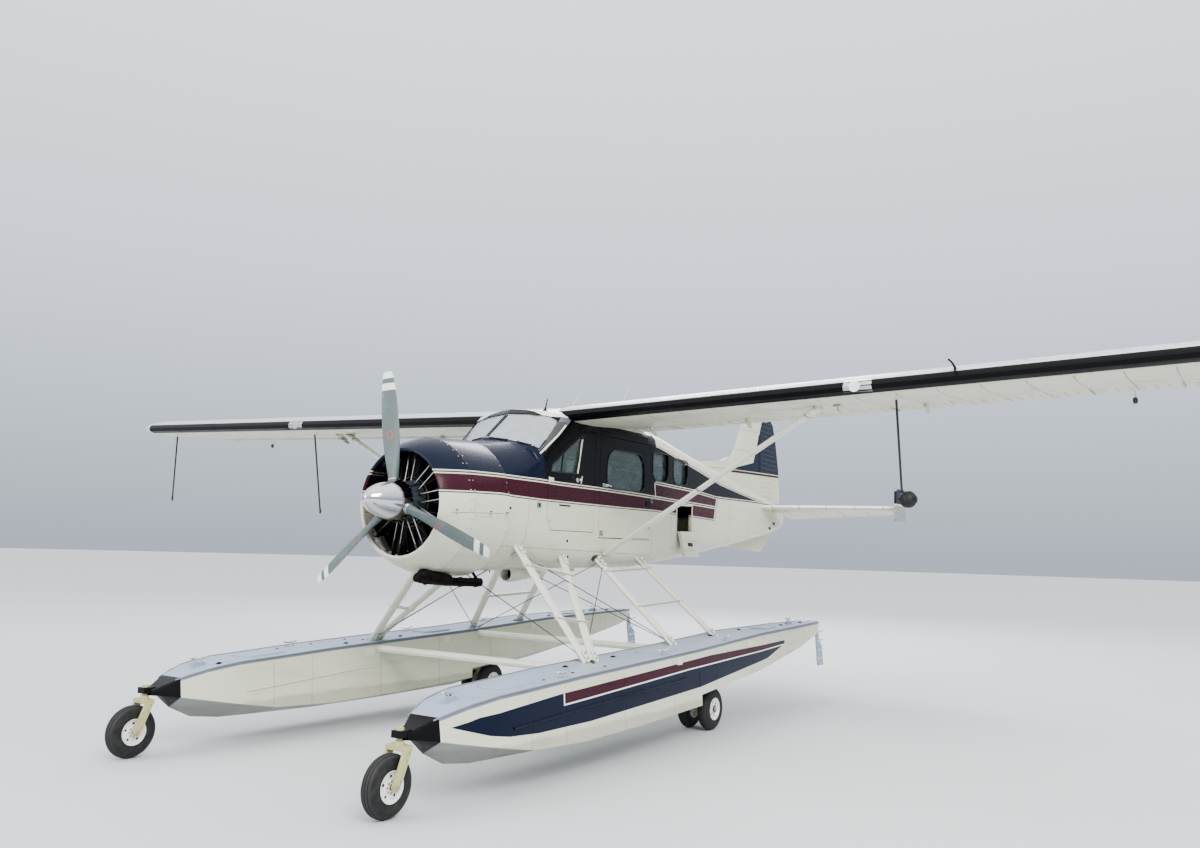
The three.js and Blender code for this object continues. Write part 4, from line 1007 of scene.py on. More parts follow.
class Tree:
    """A geometry node tree with named inputs, built once and run on a carrier object."""

    def __init__(self, name: str, inputs: Sequence[tuple[str, str]]) -> None:
        """Makes the tree with its geometry socket and its own inputs, each a name and a socket type."""
        self.group = bpy.data.node_groups.new(name, "GeometryNodeTree")
        face = self.group.interface
        face.new_socket(name="Geometry", in_out="OUTPUT", socket_type="NodeSocketGeometry")
        face.new_socket(name="Geometry", in_out="INPUT", socket_type="NodeSocketGeometry")
        self.identifiers = {label: face.new_socket(name=label, in_out="INPUT", socket_type=kind).identifier
                            for label, kind in inputs}
        self.entry = self.group.nodes.new("NodeGroupInput")
        self.exit = self.group.nodes.new("NodeGroupOutput")

    def node(self, kind: str, settings: dict = {}, values: dict = {}) -> bpy.types.Node:
        """Adds a node with its settings, then its values or links."""
        made = self.group.nodes.new(kind)
        for name, value in settings.items():
            setattr(made, name, value)
        for key, value in values.items():
            if isinstance(value, bpy.types.NodeSocket):
                self.group.links.new(value, made.inputs[key])
            else:
                made.inputs[key].default_value = value
        return made

    def given(self, label: str) -> bpy.types.NodeSocket:
        """One of the tree's own inputs."""
        return self.entry.outputs[label]

    def end(self, geometry: bpy.types.NodeSocket) -> None:
        """Realizes what came out, sets its material and ends the tree."""
        real = self.node("GeometryNodeRealizeInstances", {}, {0: geometry})
        dressed = self.node("GeometryNodeSetMaterial", {}, {"Geometry": real.outputs[0],
                                                            "Material": self.given("Finish")})
        self.group.links.new(dressed.outputs[0], self.exit.inputs[0])

    def run(self, name: str, carrier: bpy.types.Mesh, values: dict) -> bpy.types.Object:
        """Runs the tree on a mesh and returns the result as a plain mesh object.

        Args:
            name: The name of the result.
            carrier: The mesh that the tree works on.
            values: The tree's inputs, by name.

        Returns:
            The object, which no modifier is left on.
        """
        piece = bpy.data.objects.new(name, carrier)
        bpy.context.scene.collection.objects.link(piece)
        modifier = piece.modifiers.new("rule", "NODES")
        modifier.node_group = self.group
        for label, value in values.items():
            modifier[self.identifiers[label]] = value
        graph = bpy.context.evaluated_depsgraph_get()
        made = bpy.data.meshes.new_from_object(piece.evaluated_get(graph), depsgraph=graph)
        piece.modifiers.remove(modifier)
        piece.data = made
        made.name = name
        return piece


class Rows(Tree):
    """Sets one small shape on every point of a carrier, facing as its attributes say."""

    def __init__(self) -> None:
        """Builds the tree."""
        super().__init__("rows", [("Shape", "NodeSocketObject"), ("Finish", "NodeSocketMaterial")])
        shape = self.node("GeometryNodeObjectInfo", {}, {"Object": self.given("Shape")})
        facing, along = (self.node("GeometryNodeInputNamedAttribute", {"data_type": "FLOAT_VECTOR"},
                                   {"Name": name}) for name in ("facing", "along"))
        up = self.node("FunctionNodeAlignRotationToVector", {"axis": "Z"}, {"Vector": facing.outputs[0]})
        turned = self.node("FunctionNodeAlignRotationToVector", {"axis": "X", "pivot_axis": "Z"},
                           {"Rotation": up.outputs[0], "Vector": along.outputs[0]})
        set_out = self.node("GeometryNodeInstanceOnPoints", {}, {
            "Points": self.given("Geometry"), "Instance": shape.outputs["Geometry"],
            "Rotation": turned.outputs[0]})
        self.end(set_out.outputs[0])

    def place(self, name: str, body: str, seats: Sequence[Seat], shape: Shape, finish: Finish,
              angle: float = SMOOTH) -> None:
        """Sets a shape on seats.

        Args:
            name: The piece's name.
            body: The body it rides on.
            seats: Where each one sits, the way its top faces and the way its length lies.
            shape: The shape, drawn about its own origin with its top towards +Z.
            finish: Its finish.
            angle: Faces that meet at less than this are shaded as one, in degrees.
        """
        carrier = bpy.data.meshes.new(name + "_carrier")
        carrier.from_pydata([tuple(Vector(spot) + HUB) for spot, _, _ in seats], [], [])
        for column, label in enumerate(("facing", "along"), 1):
            attribute = carrier.attributes.new(label, "FLOAT_VECTOR", "POINT")
            ways = [c for seat in seats for c in Vector(seat[column]).normalized()]
            attribute.data.foreach_set("vector", ways)
        drawn = shape.mesh(name + "_one")
        drawn.transform(Matrix.Translation(-HUB))
        pattern = bpy.data.objects.new(name + "_pattern", drawn)
        bpy.context.scene.collection.objects.link(pattern)
        piece = self.run(name, carrier, {"Shape": pattern, "Finish": finish.material()})
        bpy.data.objects.remove(pattern)
        settle(piece, body, [finish], angle=angle)


class Beads(Tree):
    """Runs a round bead, wire or seal along every polyline of a carrier."""

    def __init__(self) -> None:
        """Builds the tree."""
        super().__init__("beads", [("Radius", "NodeSocketFloat"), ("Sides", "NodeSocketInt"),
                                   ("Finish", "NodeSocketMaterial")])
        curve = self.node("GeometryNodeMeshToCurve", {}, {0: self.given("Geometry")})
        circle = self.node("GeometryNodeCurvePrimitiveCircle", {}, {"Resolution": self.given("Sides"),
                                                                    "Radius": self.given("Radius")})
        swept = self.node("GeometryNodeCurveToMesh", {}, {
            "Curve": curve.outputs[0], "Profile Curve": circle.outputs[0], "Fill Caps": True})
        self.end(swept.outputs[0])

    def place(self, name: str, body: str, lines: Sequence[Sequence[Place]], radius: float, finish: Finish,
              sides: int = 8, closed: bool = False) -> None:
        """Runs a bead along lines.

        Args:
            name: The piece's name.
            body: The body it rides on.
            lines: The lines, each a list of points.
            radius: The bead's radius.
            finish: Its finish.
            sides: How many sides the bead has.
            closed: Whether each line runs back to its first point.
        """
        points, edges = [], []
        for line in lines:
            start, last = len(points), len(points) + len(line) - 1
            points += [tuple(Vector(point) + HUB) for point in line]
            edges += [(i, i + 1) for i in range(start, last)] + ([(last, start)] if closed else [])
        carrier = bpy.data.meshes.new(name + "_carrier")
        carrier.from_pydata(points, edges, [])
        piece = self.run(name, carrier, {"Radius": radius, "Sides": sides, "Finish": finish.material()})
        made = bmesh.new()
        made.from_mesh(piece.data)
        bmesh.ops.recalc_face_normals(made, faces=made.faces)
        made.to_mesh(piece.data)
        made.free()
        settle(piece, body, [finish])


class Skin:
    """The outside of some CAD nodes, for setting pieces on it."""

    def __init__(self, *nodes: str) -> None:
        """Reads the nodes' meshes."""
        points: list[Vector] = []
        faces: list[tuple[int, ...]] = []
        for node in nodes:
            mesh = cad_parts[node].data
            start = len(points)
            points += [v.co - HUB for v in mesh.vertices]
            faces += [tuple(i + start for i in polygon.vertices) for polygon in mesh.polygons]
        self.tree = BVHTree.FromPolygons(points, faces)

    def hit(self, start: Place, way: Place) -> list[Seat]:
        """The seat where a ray meets the skin, facing as the skin does, or an empty list where it misses."""
        ray = Vector(way).normalized()
        spot, normal, _, _ = self.tree.ray_cast(Vector(start), ray)
        return [] if spot is None else [(spot, normal if normal.dot(ray) < 0 else -normal, AHEAD)]

    def beside(self, side: Side, path: Iterable[Sequence[float]]) -> list[Seat]:
        """The seats along a path in x and z, seen square from one side. Places that miss are left out."""
        return [seat for x, z in path for seat in self.hit((x, side.value * CLEAR, z), (0, -side.value, 0))]

    def above(self, path: Iterable[Sequence[float]]) -> list[Seat]:
        """The seats along a path in x and y, seen from above."""
        return [seat for x, y in path for seat in self.hit((x, y, CLEAR), DOWN)]

    def below(self, path: Iterable[Sequence[float]]) -> list[Seat]:
        """The seats along a path in x and y, seen from below."""
        return [seat for x, y in path for seat in self.hit((x, y, -CLEAR), UP)]


class Carried(Tree):
    """The CAD nodes that stay in sight, each with its finish and smooth shading."""

    # A node takes the finish of the longest name here that its own name starts with, or else cream.
    finishes: dict[Finish, str] = {
        Finishes.fuselage: "fuselage_shell tail_cone nose_bowl cowl door_front door_cabin",
        Finishes.glass: "door_front_glass door_cabin_glass rear_glass",
        Finishes.screen: "windscreen", Finishes.burnt: "exhaust", Finishes.chrome: "spinner",
        Finishes.blade: "blade", Finishes.tailplane: "stabilizer elevator", Finishes.fin: "fin rudder",
        Finishes.strut: "spreader wing_strut front_struts rear_struts", Finishes.cream: "baggage_hatch",
        Finishes.wing: "wing flap aileron", Finishes.hull: "float", Finishes.deck: "water_rudder",
        Finishes.olive: "bow_fork main_leg", Finishes.cabin: "instrument_panel",
        Finishes.bow_tyre: "bow_wheel", Finishes.main_tyre: "main_wheels",
    }
    bend: float = 31.0

    def __init__(self) -> None:
        """Builds the tree that shades faces as one where they meet at a small angle."""
        super().__init__("smooth_by_angle", [("Angle", "NodeSocketFloat")])
        smooth = self.node("GeometryNodeSetShadeSmooth", {}, {"Geometry": self.given("Geometry")})
        bends = self.node("GeometryNodeInputMeshEdgeAngle")
        sharp = self.node("FunctionNodeCompare", {"operation": "GREATER_THAN"},
                          {0: bends.outputs["Unsigned Angle"], 1: self.given("Angle")})
        edges = self.node("GeometryNodeSetShadeSmooth", {"domain": "EDGE"}, {
            "Geometry": smooth.outputs[0], "Selection": sharp.outputs[0], "Shade Smooth": False})
        self.group.links.new(edges.outputs[0], self.exit.inputs[0])

    def dress(self) -> None:
        """Gives every CAD node its finish and smooth shading."""
        table = {name: finish for finish, names in self.finishes.items() for name in names.split()}
        for name, node in sorted(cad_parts.items()):
            keys = [key for key in table if name.startswith(key)]
            finish = table[max(keys, key=len)] if keys else Finishes.cream
            node.data.materials.clear()
            node.data.materials.append(finish.material())
            node.modifiers.new("weld", "WELD").merge_threshold = 0.00005
            shade = node.modifiers.new("shade", "NODES")
            shade.node_group = self.group
            shade[self.identifiers["Angle"]] = math.radians(self.bend)
            node.modifiers.new("weighted", "WEIGHTED_NORMAL").keep_sharp = True
            log.info("%-30s kept from the CAD model, in %s", name, finish.name)


@dataclass
class Studio:
    """A plain pale floor, soft light all round and a camera at the photograph's viewing angle."""

    camera: Place = (10.2681, 6.596, 1.8761)
    yaw: float = 213.315
    pitch: float = 7.361
    roll: float = 1.613
    lens: float = 29.51
    sensor: float = 36.0
    sight: float = 400.0
    exposure: float = 0.75
    floor: float = 150.0
    floor_sides: int = 64
    # name, place, what it faces, watts, size, colour
    lamps: tuple[tuple[str, Place, Place, float, float, Place], ...] = (
        ("key_lamp", (14.0, 16.0, 15.0), (0.0, 0.0, 2.0), 2300.0, 10.0, (1.0, 0.98, 0.95)),
        ("fill_lamp", (22.0, -10.0, 11.0), (0.0, 0.0, 2.0), 900.0, 12.0, (0.93, 0.96, 1.0)),
        ("rim_lamp", (-14.0, -6.0, 13.0), (0.0, 0.0, 3.0), 1100.0, 9.0, (1.0, 1.0, 1.0)))
    # height from the horizon to overhead, colour
    sky: tuple[tuple[float, Place], ...] = (
        (0.0, (0.27, 0.30, 0.34, 1)), (0.25, (0.50, 0.55, 0.62, 1)), (1.0, (1.0, 1.0, 1.0, 1)))

    def build(self) -> None:
        """Makes the camera, the floor, the lamps and the world."""
        view = bpy.context.scene.view_settings
        view.view_transform, view.look = "AgX", "AgX - Medium High Contrast"
        view.exposure = self.exposure
        self._camera()
        self._floor()
        for lamp in self.lamps:
            self._lamp(*lamp)
        self._world()

    def _camera(self) -> None:
        """Makes the camera."""
        yaw, pitch, roll = (math.radians(a) for a in (self.yaw, self.pitch, self.roll))
        ahead = Vector((math.cos(yaw) * math.cos(pitch), math.sin(yaw) * math.cos(pitch), math.sin(pitch)))
        right = Vector((math.sin(yaw), -math.cos(yaw), 0.0))
        up = right.cross(ahead)
        across = right * math.cos(roll) + up * math.sin(roll)
        over = up * math.cos(roll) - right * math.sin(roll)
        data = bpy.data.cameras.new("camera")
        data.lens, data.sensor_width, data.sensor_fit = self.lens, self.sensor, "HORIZONTAL"
        data.clip_end = self.sight
        camera = bpy.data.objects.new("camera", data)
        bpy.context.scene.collection.objects.link(camera)
        turn = Matrix((across, over, -ahead)).transposed().to_4x4()
        camera.matrix_world = Matrix.Translation(Vector(self.camera)) @ turn
        bpy.context.scene.camera = camera

    def _floor(self) -> None:
        """Makes the floor, a wide disc in matt paint."""
        mesh = bpy.data.meshes.new("studio_floor")
        turns = [2 * math.pi * i / self.floor_sides for i in range(self.floor_sides)]
        ring = [(self.floor * math.cos(t), self.floor * math.sin(t), -0.0005) for t in turns]
        mesh.from_pydata(ring, [], [tuple(range(self.floor_sides))])
        floor = bpy.data.objects.new("studio_floor", mesh)
        bpy.context.scene.collection.objects.link(floor)
        paint = Paint("studio_floor_matt")
        shade = paint.mix(paint.noise(0.6, 3.0) * 0.3, (0.62, 0.63, 0.64, 1.0), (0.54, 0.55, 0.56, 1.0))
        paint.surface(base_color=shade, roughness=0.8)
        mesh.materials.append(paint.material)

    @staticmethod
    def _lamp(name: str, place: Place, aim: Place, watts: float, size: float, colour: Place) -> None:
        """Makes a square soft lamp that faces a point.

        Args:
            name: Its name.
            place: Where it is.
            aim: What it faces.
            watts: Its power.
            size: The length of its sides.
            colour: Its colour.
        """
        data = bpy.data.lights.new(name, "AREA")
        data.energy, data.size, data.color = watts, size, colour
        lamp = bpy.data.objects.new(name, data)
        bpy.context.scene.collection.objects.link(lamp)
        lamp.location = Vector(place)
        lamp.rotation_euler = (Vector(aim) - Vector(place)).to_track_quat("-Z", "Y").to_euler()

    def _world(self) -> None:
        """Makes an even, pale sky that is a little brighter overhead."""
        world = bpy.data.worlds.new("soft_sky")
        bpy.context.scene.world = world
        world.use_nodes = True
        nodes, links = world.node_tree.nodes, world.node_tree.links
        back = nodes["Background"]
        coordinates = nodes.new("ShaderNodeTexCoord")
        split = nodes.new("ShaderNodeSeparateXYZ")
        ramp = nodes.new("ShaderNodeValToRGB")
        stops = ramp.color_ramp.elements
        stops.new(self.sky[1][0])
        for stop, (place, colour) in zip(stops, self.sky):
            stop.position, stop.color = place, colour
        links.new(coordinates.outputs["Generated"], split.inputs[0])
        links.new(split.outputs[2], ramp.inputs[0])
        links.new(ramp.outputs[0], back.inputs[0])
        back.inputs[1].default_value = 1.0


@dataclass
class HandRopes:
    """Free ropes that hang under the wings, one of them with a rubber ball, the others with a knot."""

    radius: float = 0.011
    inner: Place = (-2.385, 3.95, 1.0485)
    ball_end: Place = (-2.535, 3.95, 0.1785)
    bare_end: Place = (-2.565, 3.95, 0.0035)
    outer: Place = (-2.300, 6.93, 1.1379)
    outer_end: Place = (-2.300, 6.93, 0.1779)
    ball: float = 0.080
    strands: int = 3
    lay: float = 0.075
    sides: int = 18
    step: float = 0.0065
    path_steps: int = 20
    uv_length: float = 0.05

    def build(self) -> None:
        """Makes the four ropes and what is on their ends."""
        for side in Side:
            if side is Side.LEFT:
                ball = self._ball(side)
                self._rope("hand_rope_inner_left", side, self.inner, self.ball_end)
            else:
                knot = self._knot(side, "hand_rope_inner_knot_right", self.bare_end)
                self._rope("hand_rope_inner_right", side, self.inner, self.bare_end)
            knot = self._knot(side, f"hand_rope_knot_{side.word}", self.outer_end)
            self._rope(f"hand_rope_outer_{side.word}", side, self.outer, self.outer_end)

    def _rope(self, node: str, side: Side, top: Place, end: Place) -> None:
        """Makes one laid rope that stands for its CAD node.

        Args:
            node: The CAD node.
            side: The side it is on.
            top: Where it leaves the wing.
            end: Its lower end.
        """
        a, b = side.at(*top), side.at(*end)
        length = (b - a).length
        way = (b - a).normalized()
        u = way.cross(Vector((0, 1, 0))).normalized()
        v = way.cross(u)
        steps = int(length / self.step)
        rings = []
        for along in (length * step / steps for step in range(steps + 1)):
            ring = []
            for turn in (2 * math.pi * i / self.sides for i in range(self.sides)):
                twist = 0.5 * self.strands * (turn - 2 * math.pi * along / self.lay)
                reach = self.radius * (0.82 + 0.18 * abs(math.cos(twist)))
                ring.append(a + way * along + (u * math.cos(turn) + v * math.sin(turn)) * reach)
            rings.append(ring)
        rope = Shape().loft(rings).piece(f"{node}_laid", "airframe", [Finishes.rope], slot="rope")
        self._unwrap(rope, a + HUB, way, u, v)
        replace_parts(rope, node)
        path = [list(a + way * (length * i / self.path_steps) + HUB) for i in range(self.path_steps + 1)]

    def _unwrap(self, rope: bpy.types.Object, start: Vector, way: Vector, u: Vector, v: Vector) -> None:
        """Lays the UV map round the rope in turns and along it in equal lengths."""
        mesh = rope.data
        layer = mesh.uv_layers.new(name="lay")
        for polygon in mesh.polygons:
            places = []
            for loop in polygon.loop_indices:
                arm = mesh.vertices[mesh.loops[loop].vertex_index].co - start
                turn = math.atan2(arm.dot(v), arm.dot(u)) / (2 * math.pi)
                places.append((turn, arm.dot(way) / self.uv_length))
            high = max(turn for turn, _ in places)
            for loop, (turn, along) in zip(polygon.loop_indices, places):
                layer.data[loop].uv = (turn + 1.0 if high - turn > 0.5 else turn, along)

    def _ball(self, side: Side) -> bpy.types.Object:
        """Makes the rubber ball, grooved round its middle and with a flat on either side."""
        r = self.ball
        x, y, z = self.ball_end
        centre = side.at(x, y + 0.68 * r, z - 0.47 * r)
        wall = [(-r * math.cos(i * math.pi / 20), r * math.sin(i * math.pi / 20)) for i in range(21)]
        grooved = [(a, s * (0.965 if abs(a) < 0.06 * r else 1.0)) for a, s in wall]
        shape = Shape().turned(grooved, centre, (0, 1, 0), 40)
        flat = [(0.0, 0.0), (0.0, 0.030), (0.005, 0.030), (0.007, 0.016), (0.007, 0.0)]
        for face in (-1, 1):
            shape.turned(flat, centre + Vector((0, face * 0.93 * r, 0)), (0, face, 0), 24)
        return shape.piece(f"hand_rope_ball_{side.word}", "airframe", [Finishes.rubber], slot="rope")

    @staticmethod
    def _knot(side: Side, name: str, foot: Place) -> bpy.types.Object:
        """Makes the whipped knot at the foot of a rope.

        Args:
            side: The side it is on.
            name: The piece's name.
            foot: The rope's lower end.

        Returns:
            The piece.
        """
        x, y, z = foot
        turns = [i * math.pi / 8 for i in range(41)]
        path = [side.at(x + 0.0095 * math.cos(t), y + 0.0095 * math.sin(t), z + 0.052 - 0.0085 * t / 2.2)
                for t in turns]
        return Shape().tube(path, 0.0075, 8).piece(name, "airframe", [Finishes.rope], slot="rope")


@dataclass
class Propeller:
    """What shows of the hub: the blades' collars and the spinner's back plate."""

    blades: int = 3
    first_angle: float = 8.43
    collar_radius: float = 0.049
    screw_radius: float = 0.1995
    plate: Stations = ((-0.0545, 0.085), (-0.0545, 0.176), (-0.050, 0.186), (-0.0405, 0.196),
                       (-0.0385, 0.196), (-0.0385, 0.085))

    def ways(self) -> list[Vector]:
        """The blades' directions."""
        angles = [math.radians(self.first_angle + 360 * i / self.blades) for i in range(self.blades)]
        return [Vector((0.0, -math.sin(a), math.cos(a))) for a in angles]

    def build(self, rows: Rows) -> None:
        """Makes the collars, the back plate and its screws."""
        collars, r = Shape(), self.collar_radius
        ring = [(0.1965, 0.046), (0.1965, r), (0.203, r + 0.003), (0.2085, r), (0.2085, 0.046)]
        for way in self.ways():
            collars.turned(ring, (0, 0, 0), way, 36)
        collars.piece("blade_collars", "propeller", [Finishes.aluminium], slot="polished_metal")
        plate = Shape().turned(self.plate, (0, 0, 0), AHEAD, 60)
        plate.piece("spinner_back_plate", "propeller", [Finishes.dark_steel], slot="engine_metal")
        seats = [(out * self.screw_radius + Vector((-0.024, 0, 0)), out, AHEAD) for out in around(24, 0.5)]
        screw = stud([(0.0, 0.0055), (0.0012, 0.005), (0.0016, 0.003), (0.0016, 0.0)], 10)
        rows.place("spinner_screws", "propeller", seats, screw, Finishes.steel)


@dataclass
class Engine:
    """A nine-cylinder radial engine: finned cylinders, push rod tubes, rocker boxes and ignition ring."""

    cylinders: int = 9
    row_x: float = -0.285
    barrel_radius: float = 0.058
    fin_radius: float = 0.076
    fin_step: float = 0.0092
    head_fin_radius: float = 0.085
    head_fin_step: float = 0.0125
    head_start: float = 0.375
    head_end: float = 0.515
    ring_radius: float = 0.232
    case: Stations = ((-0.0585, 0.0), (-0.0585, 0.088), (-0.066, 0.098), (-0.078, 0.126), (-0.098, 0.141),
                      (-0.12, 0.150), (-0.15, 0.165), (-0.18, 0.172), (-0.21, 0.184), (-0.39, 0.190),
                      (-0.40, 0.270), (-0.60, 0.250), (-0.884, 0.250), (-0.884, 0.0))

    def ways(self) -> list[tuple[Vector, Vector]]:
        """Each cylinder's direction, and the way round the crankcase there."""
        outs = around(self.cylinders, self.cylinders / 4)
        return [(out, Vector((0, -out.z, out.y))) for out in outs]

    def pairs(self) -> list[tuple[Vector, Vector, int]]:
        """Each cylinder's direction and way round, once for either half of its head."""
        return [(out, turn, across) for out, turn in self.ways() for across in (-1, 1)]

    def build(self, rows: Rows, beads: Beads) -> None:
        """Makes the engine, which stands for the CAD block."""
        case = Shape().turned(self.case, (0, 0, 0), AHEAD, 54)
        for out in around(18):
            case.block(out * 0.138 + Vector((-0.120, 0, 0)), (1, -0.45 * out.y, -0.45 * out.z), out,
                       (0.085, 0.006, 0.030))
        case.rod((-0.07, 0.055, 0.148), (-0.19, 0.062, 0.176), 0.034, 20)
        case.rod((-0.062, 0.052, 0.146), (-0.07, 0.055, 0.148), 0.024, 16)
        crankcase = case.piece("engine_crankcase", "airframe", [Finishes.crankcase], 0.002,
                               slot="engine_metal")
        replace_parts(crankcase, "engine")
        self._cylinders(rows)
        self._rods(beads)
        self._ignition(beads)
        self._baffles()
        self._nuts(rows)

    def _cylinders(self, rows: Rows) -> None:
        """Makes the barrels, heads and rocker boxes, with their cooling fins."""
        bodies, barrel = Shape(), self.barrel_radius
        centre = Vector((self.row_x, 0, 0))
        wall = [(0.165, 0.0), (0.165, 0.078), (0.179, 0.078), (0.181, barrel), (0.372, barrel),
                (0.374, 0.070), (0.52, 0.068), (0.553, 0.050), (0.566, 0.020), (0.566, 0.0)]
        for out, turn, across in self.pairs():
            if across < 0:
                bodies.using(0).turned(wall, centre, out, 22)
            box_at = centre + out * 0.532 + turn * across * 0.046 + Vector((0.052, 0, 0))
            bodies.using(0).block(box_at, AHEAD, out, (0.062, 0.044, 0.042))
            bodies.using(1).block(box_at + Vector((0.034, 0, 0)), AHEAD, out, (0.007, 0.040, 0.038))
            plug = centre + out * 0.46 + turn * across * 0.066
            bodies.rod(plug, plug + turn * across * 0.030 + Vector((0.004, 0, 0)), 0.008, 8)
        bodies.piece("engine_cylinders", "airframe", [Finishes.cylinder, Finishes.aluminium], 0.0015,
                     slot="engine_metal")
        foot, head_count = barrel - 0.002, int((self.head_end - self.head_start) / self.head_fin_step)
        fin = [(0.0, foot), (0.0008, self.fin_radius), (0.0022, self.fin_radius), (0.003, foot)]
        head_fin = [(0.0, 0.066), (0.0012, self.head_fin_radius), (0.003, self.head_fin_radius),
                    (0.0042, 0.066)]
        for name, profile, start, step, count in (
                ("engine_barrel_fins", fin, 0.192, self.fin_step, 20),
                ("engine_head_fins", head_fin, self.head_start + 0.003, self.head_fin_step, head_count)):
            seats = [(centre + out * (start + step * i), out, AHEAD) for out, _ in self.ways()
                     for i in range(count)]
            rows.place(name, "airframe", seats, stud(profile, 18), Finishes.cylinder)

    def _rods(self, beads: Beads) -> None:
        """Makes the push rod tubes, and dark sleeves over their ends that are painted shade."""
        lines = [[Vector((-0.146, 0, 0)) + out * 0.128 + turn * across * 0.038,
                  Vector((-0.222, 0, 0)) + out * 0.526 + turn * across * 0.046]
                 for out, turn, across in self.pairs()]
        beads.place("engine_push_rod_tubes", "airframe", lines, 0.0062, Finishes.steel, 12)
        # Dark sleeves over both ends of each tube are painted shade: they hide the tubes' ends, as the cowl's
        # shade does.
        shade_sleeves = Shape()
        for low, high in lines:
            way = (high - low).normalized()
            shade_sleeves.rod(low - way * 0.012, low + way * 0.060, 0.0125, 14)
            shade_sleeves.rod(high - way * 0.125, high, 0.0125, 14)
        shade_sleeves.piece("engine_push_rod_cups", "airframe", [Finishes.dark_steel], slot="engine_metal")

    def _ignition(self, beads: Beads) -> None:
        """Makes the ignition ring and the leads that run from it to the plugs."""
        ring = [out * self.ring_radius + Vector((-0.205, 0, 0)) for out in around(72)]
        beads.place("engine_ignition_ring", "airframe", [ring], 0.0085, Finishes.dark_steel, 10, True)
        leads = []
        for out, turn, across in self.pairs():
            start = Vector((-0.200, 0, 0)) + out * 0.236 + turn * across * 0.030
            end = Vector((self.row_x, 0, 0)) + out * 0.46 + turn * across * 0.096
            knee = (start + end) / 2 + turn * across * 0.024 + Vector((0.020, 0, 0))
            leads.append([start * (1 - t) ** 2 + knee * 2 * t * (1 - t) + end * t * t
                          for t in (i / 10 for i in range(11))])
        beads.place("engine_ignition_leads", "airframe", leads, 0.0042, Finishes.rubber, 8)

    def _baffles(self) -> None:
        """Makes the sheet baffles between and behind the cylinders, and the intake pipes."""
        sheet = [(-0.395, 0.18), (-0.395, 0.600), (-0.398, 0.600), (-0.398, 0.18)]
        shape = Shape().turned(sheet, (0, 0, -0.009), AHEAD, 72)
        outs = [out for out, _ in self.ways()]
        for out, following in zip(outs, outs[1:] + outs[:1]):
            middle = (out + following).normalized()
            side = Vector(AHEAD).cross(middle)
            # outward, sideways
            corners = ((0.30, 0.0), (0.42, 0.045), (0.555, 0.10), (0.555, -0.10), (0.42, -0.045))
            shape.slab([middle * up + side * across + Vector((-0.345, 0, 0)) for up, across in corners],
                       (-0.002, 0, 0))
            shape.tube([Vector((-0.40, 0, 0)) + middle * 0.24, Vector((-0.372, 0, 0)) + middle * 0.36,
                        Vector((-0.36, 0, 0)) + out * 0.49 + side * 0.02], 0.021, 12)
        shape.piece("engine_baffles", "airframe", [Finishes.black], slot="engine_metal")

    def _nuts(self, rows: Rows) -> None:
        """Makes the nuts round the nose case and the cylinder flanges."""
        ahead = Vector(AHEAD)
        seats = [(out * 0.110 + ahead * -0.072, ahead * 0.9 + out * 0.5, out) for out in around(16, 0.5)]
        angles = [2 * math.pi * (i + 0.5) / 10 for i in range(10)]
        for out, turn in self.ways():
            foot = Vector((self.row_x, 0, 0)) + out * 0.178
            seats += [(foot + (ahead * math.cos(a) + turn * math.sin(a)) * 0.069, out, AHEAD) for a in angles]
        nut = stud([(0.0, 0.0085), (0.007, 0.0085), (0.007, 0.004), (0.012, 0.004), (0.012, 0.0)], 6)
        rows.place("engine_nuts", "airframe", seats, nut, Finishes.steel, angle=20)


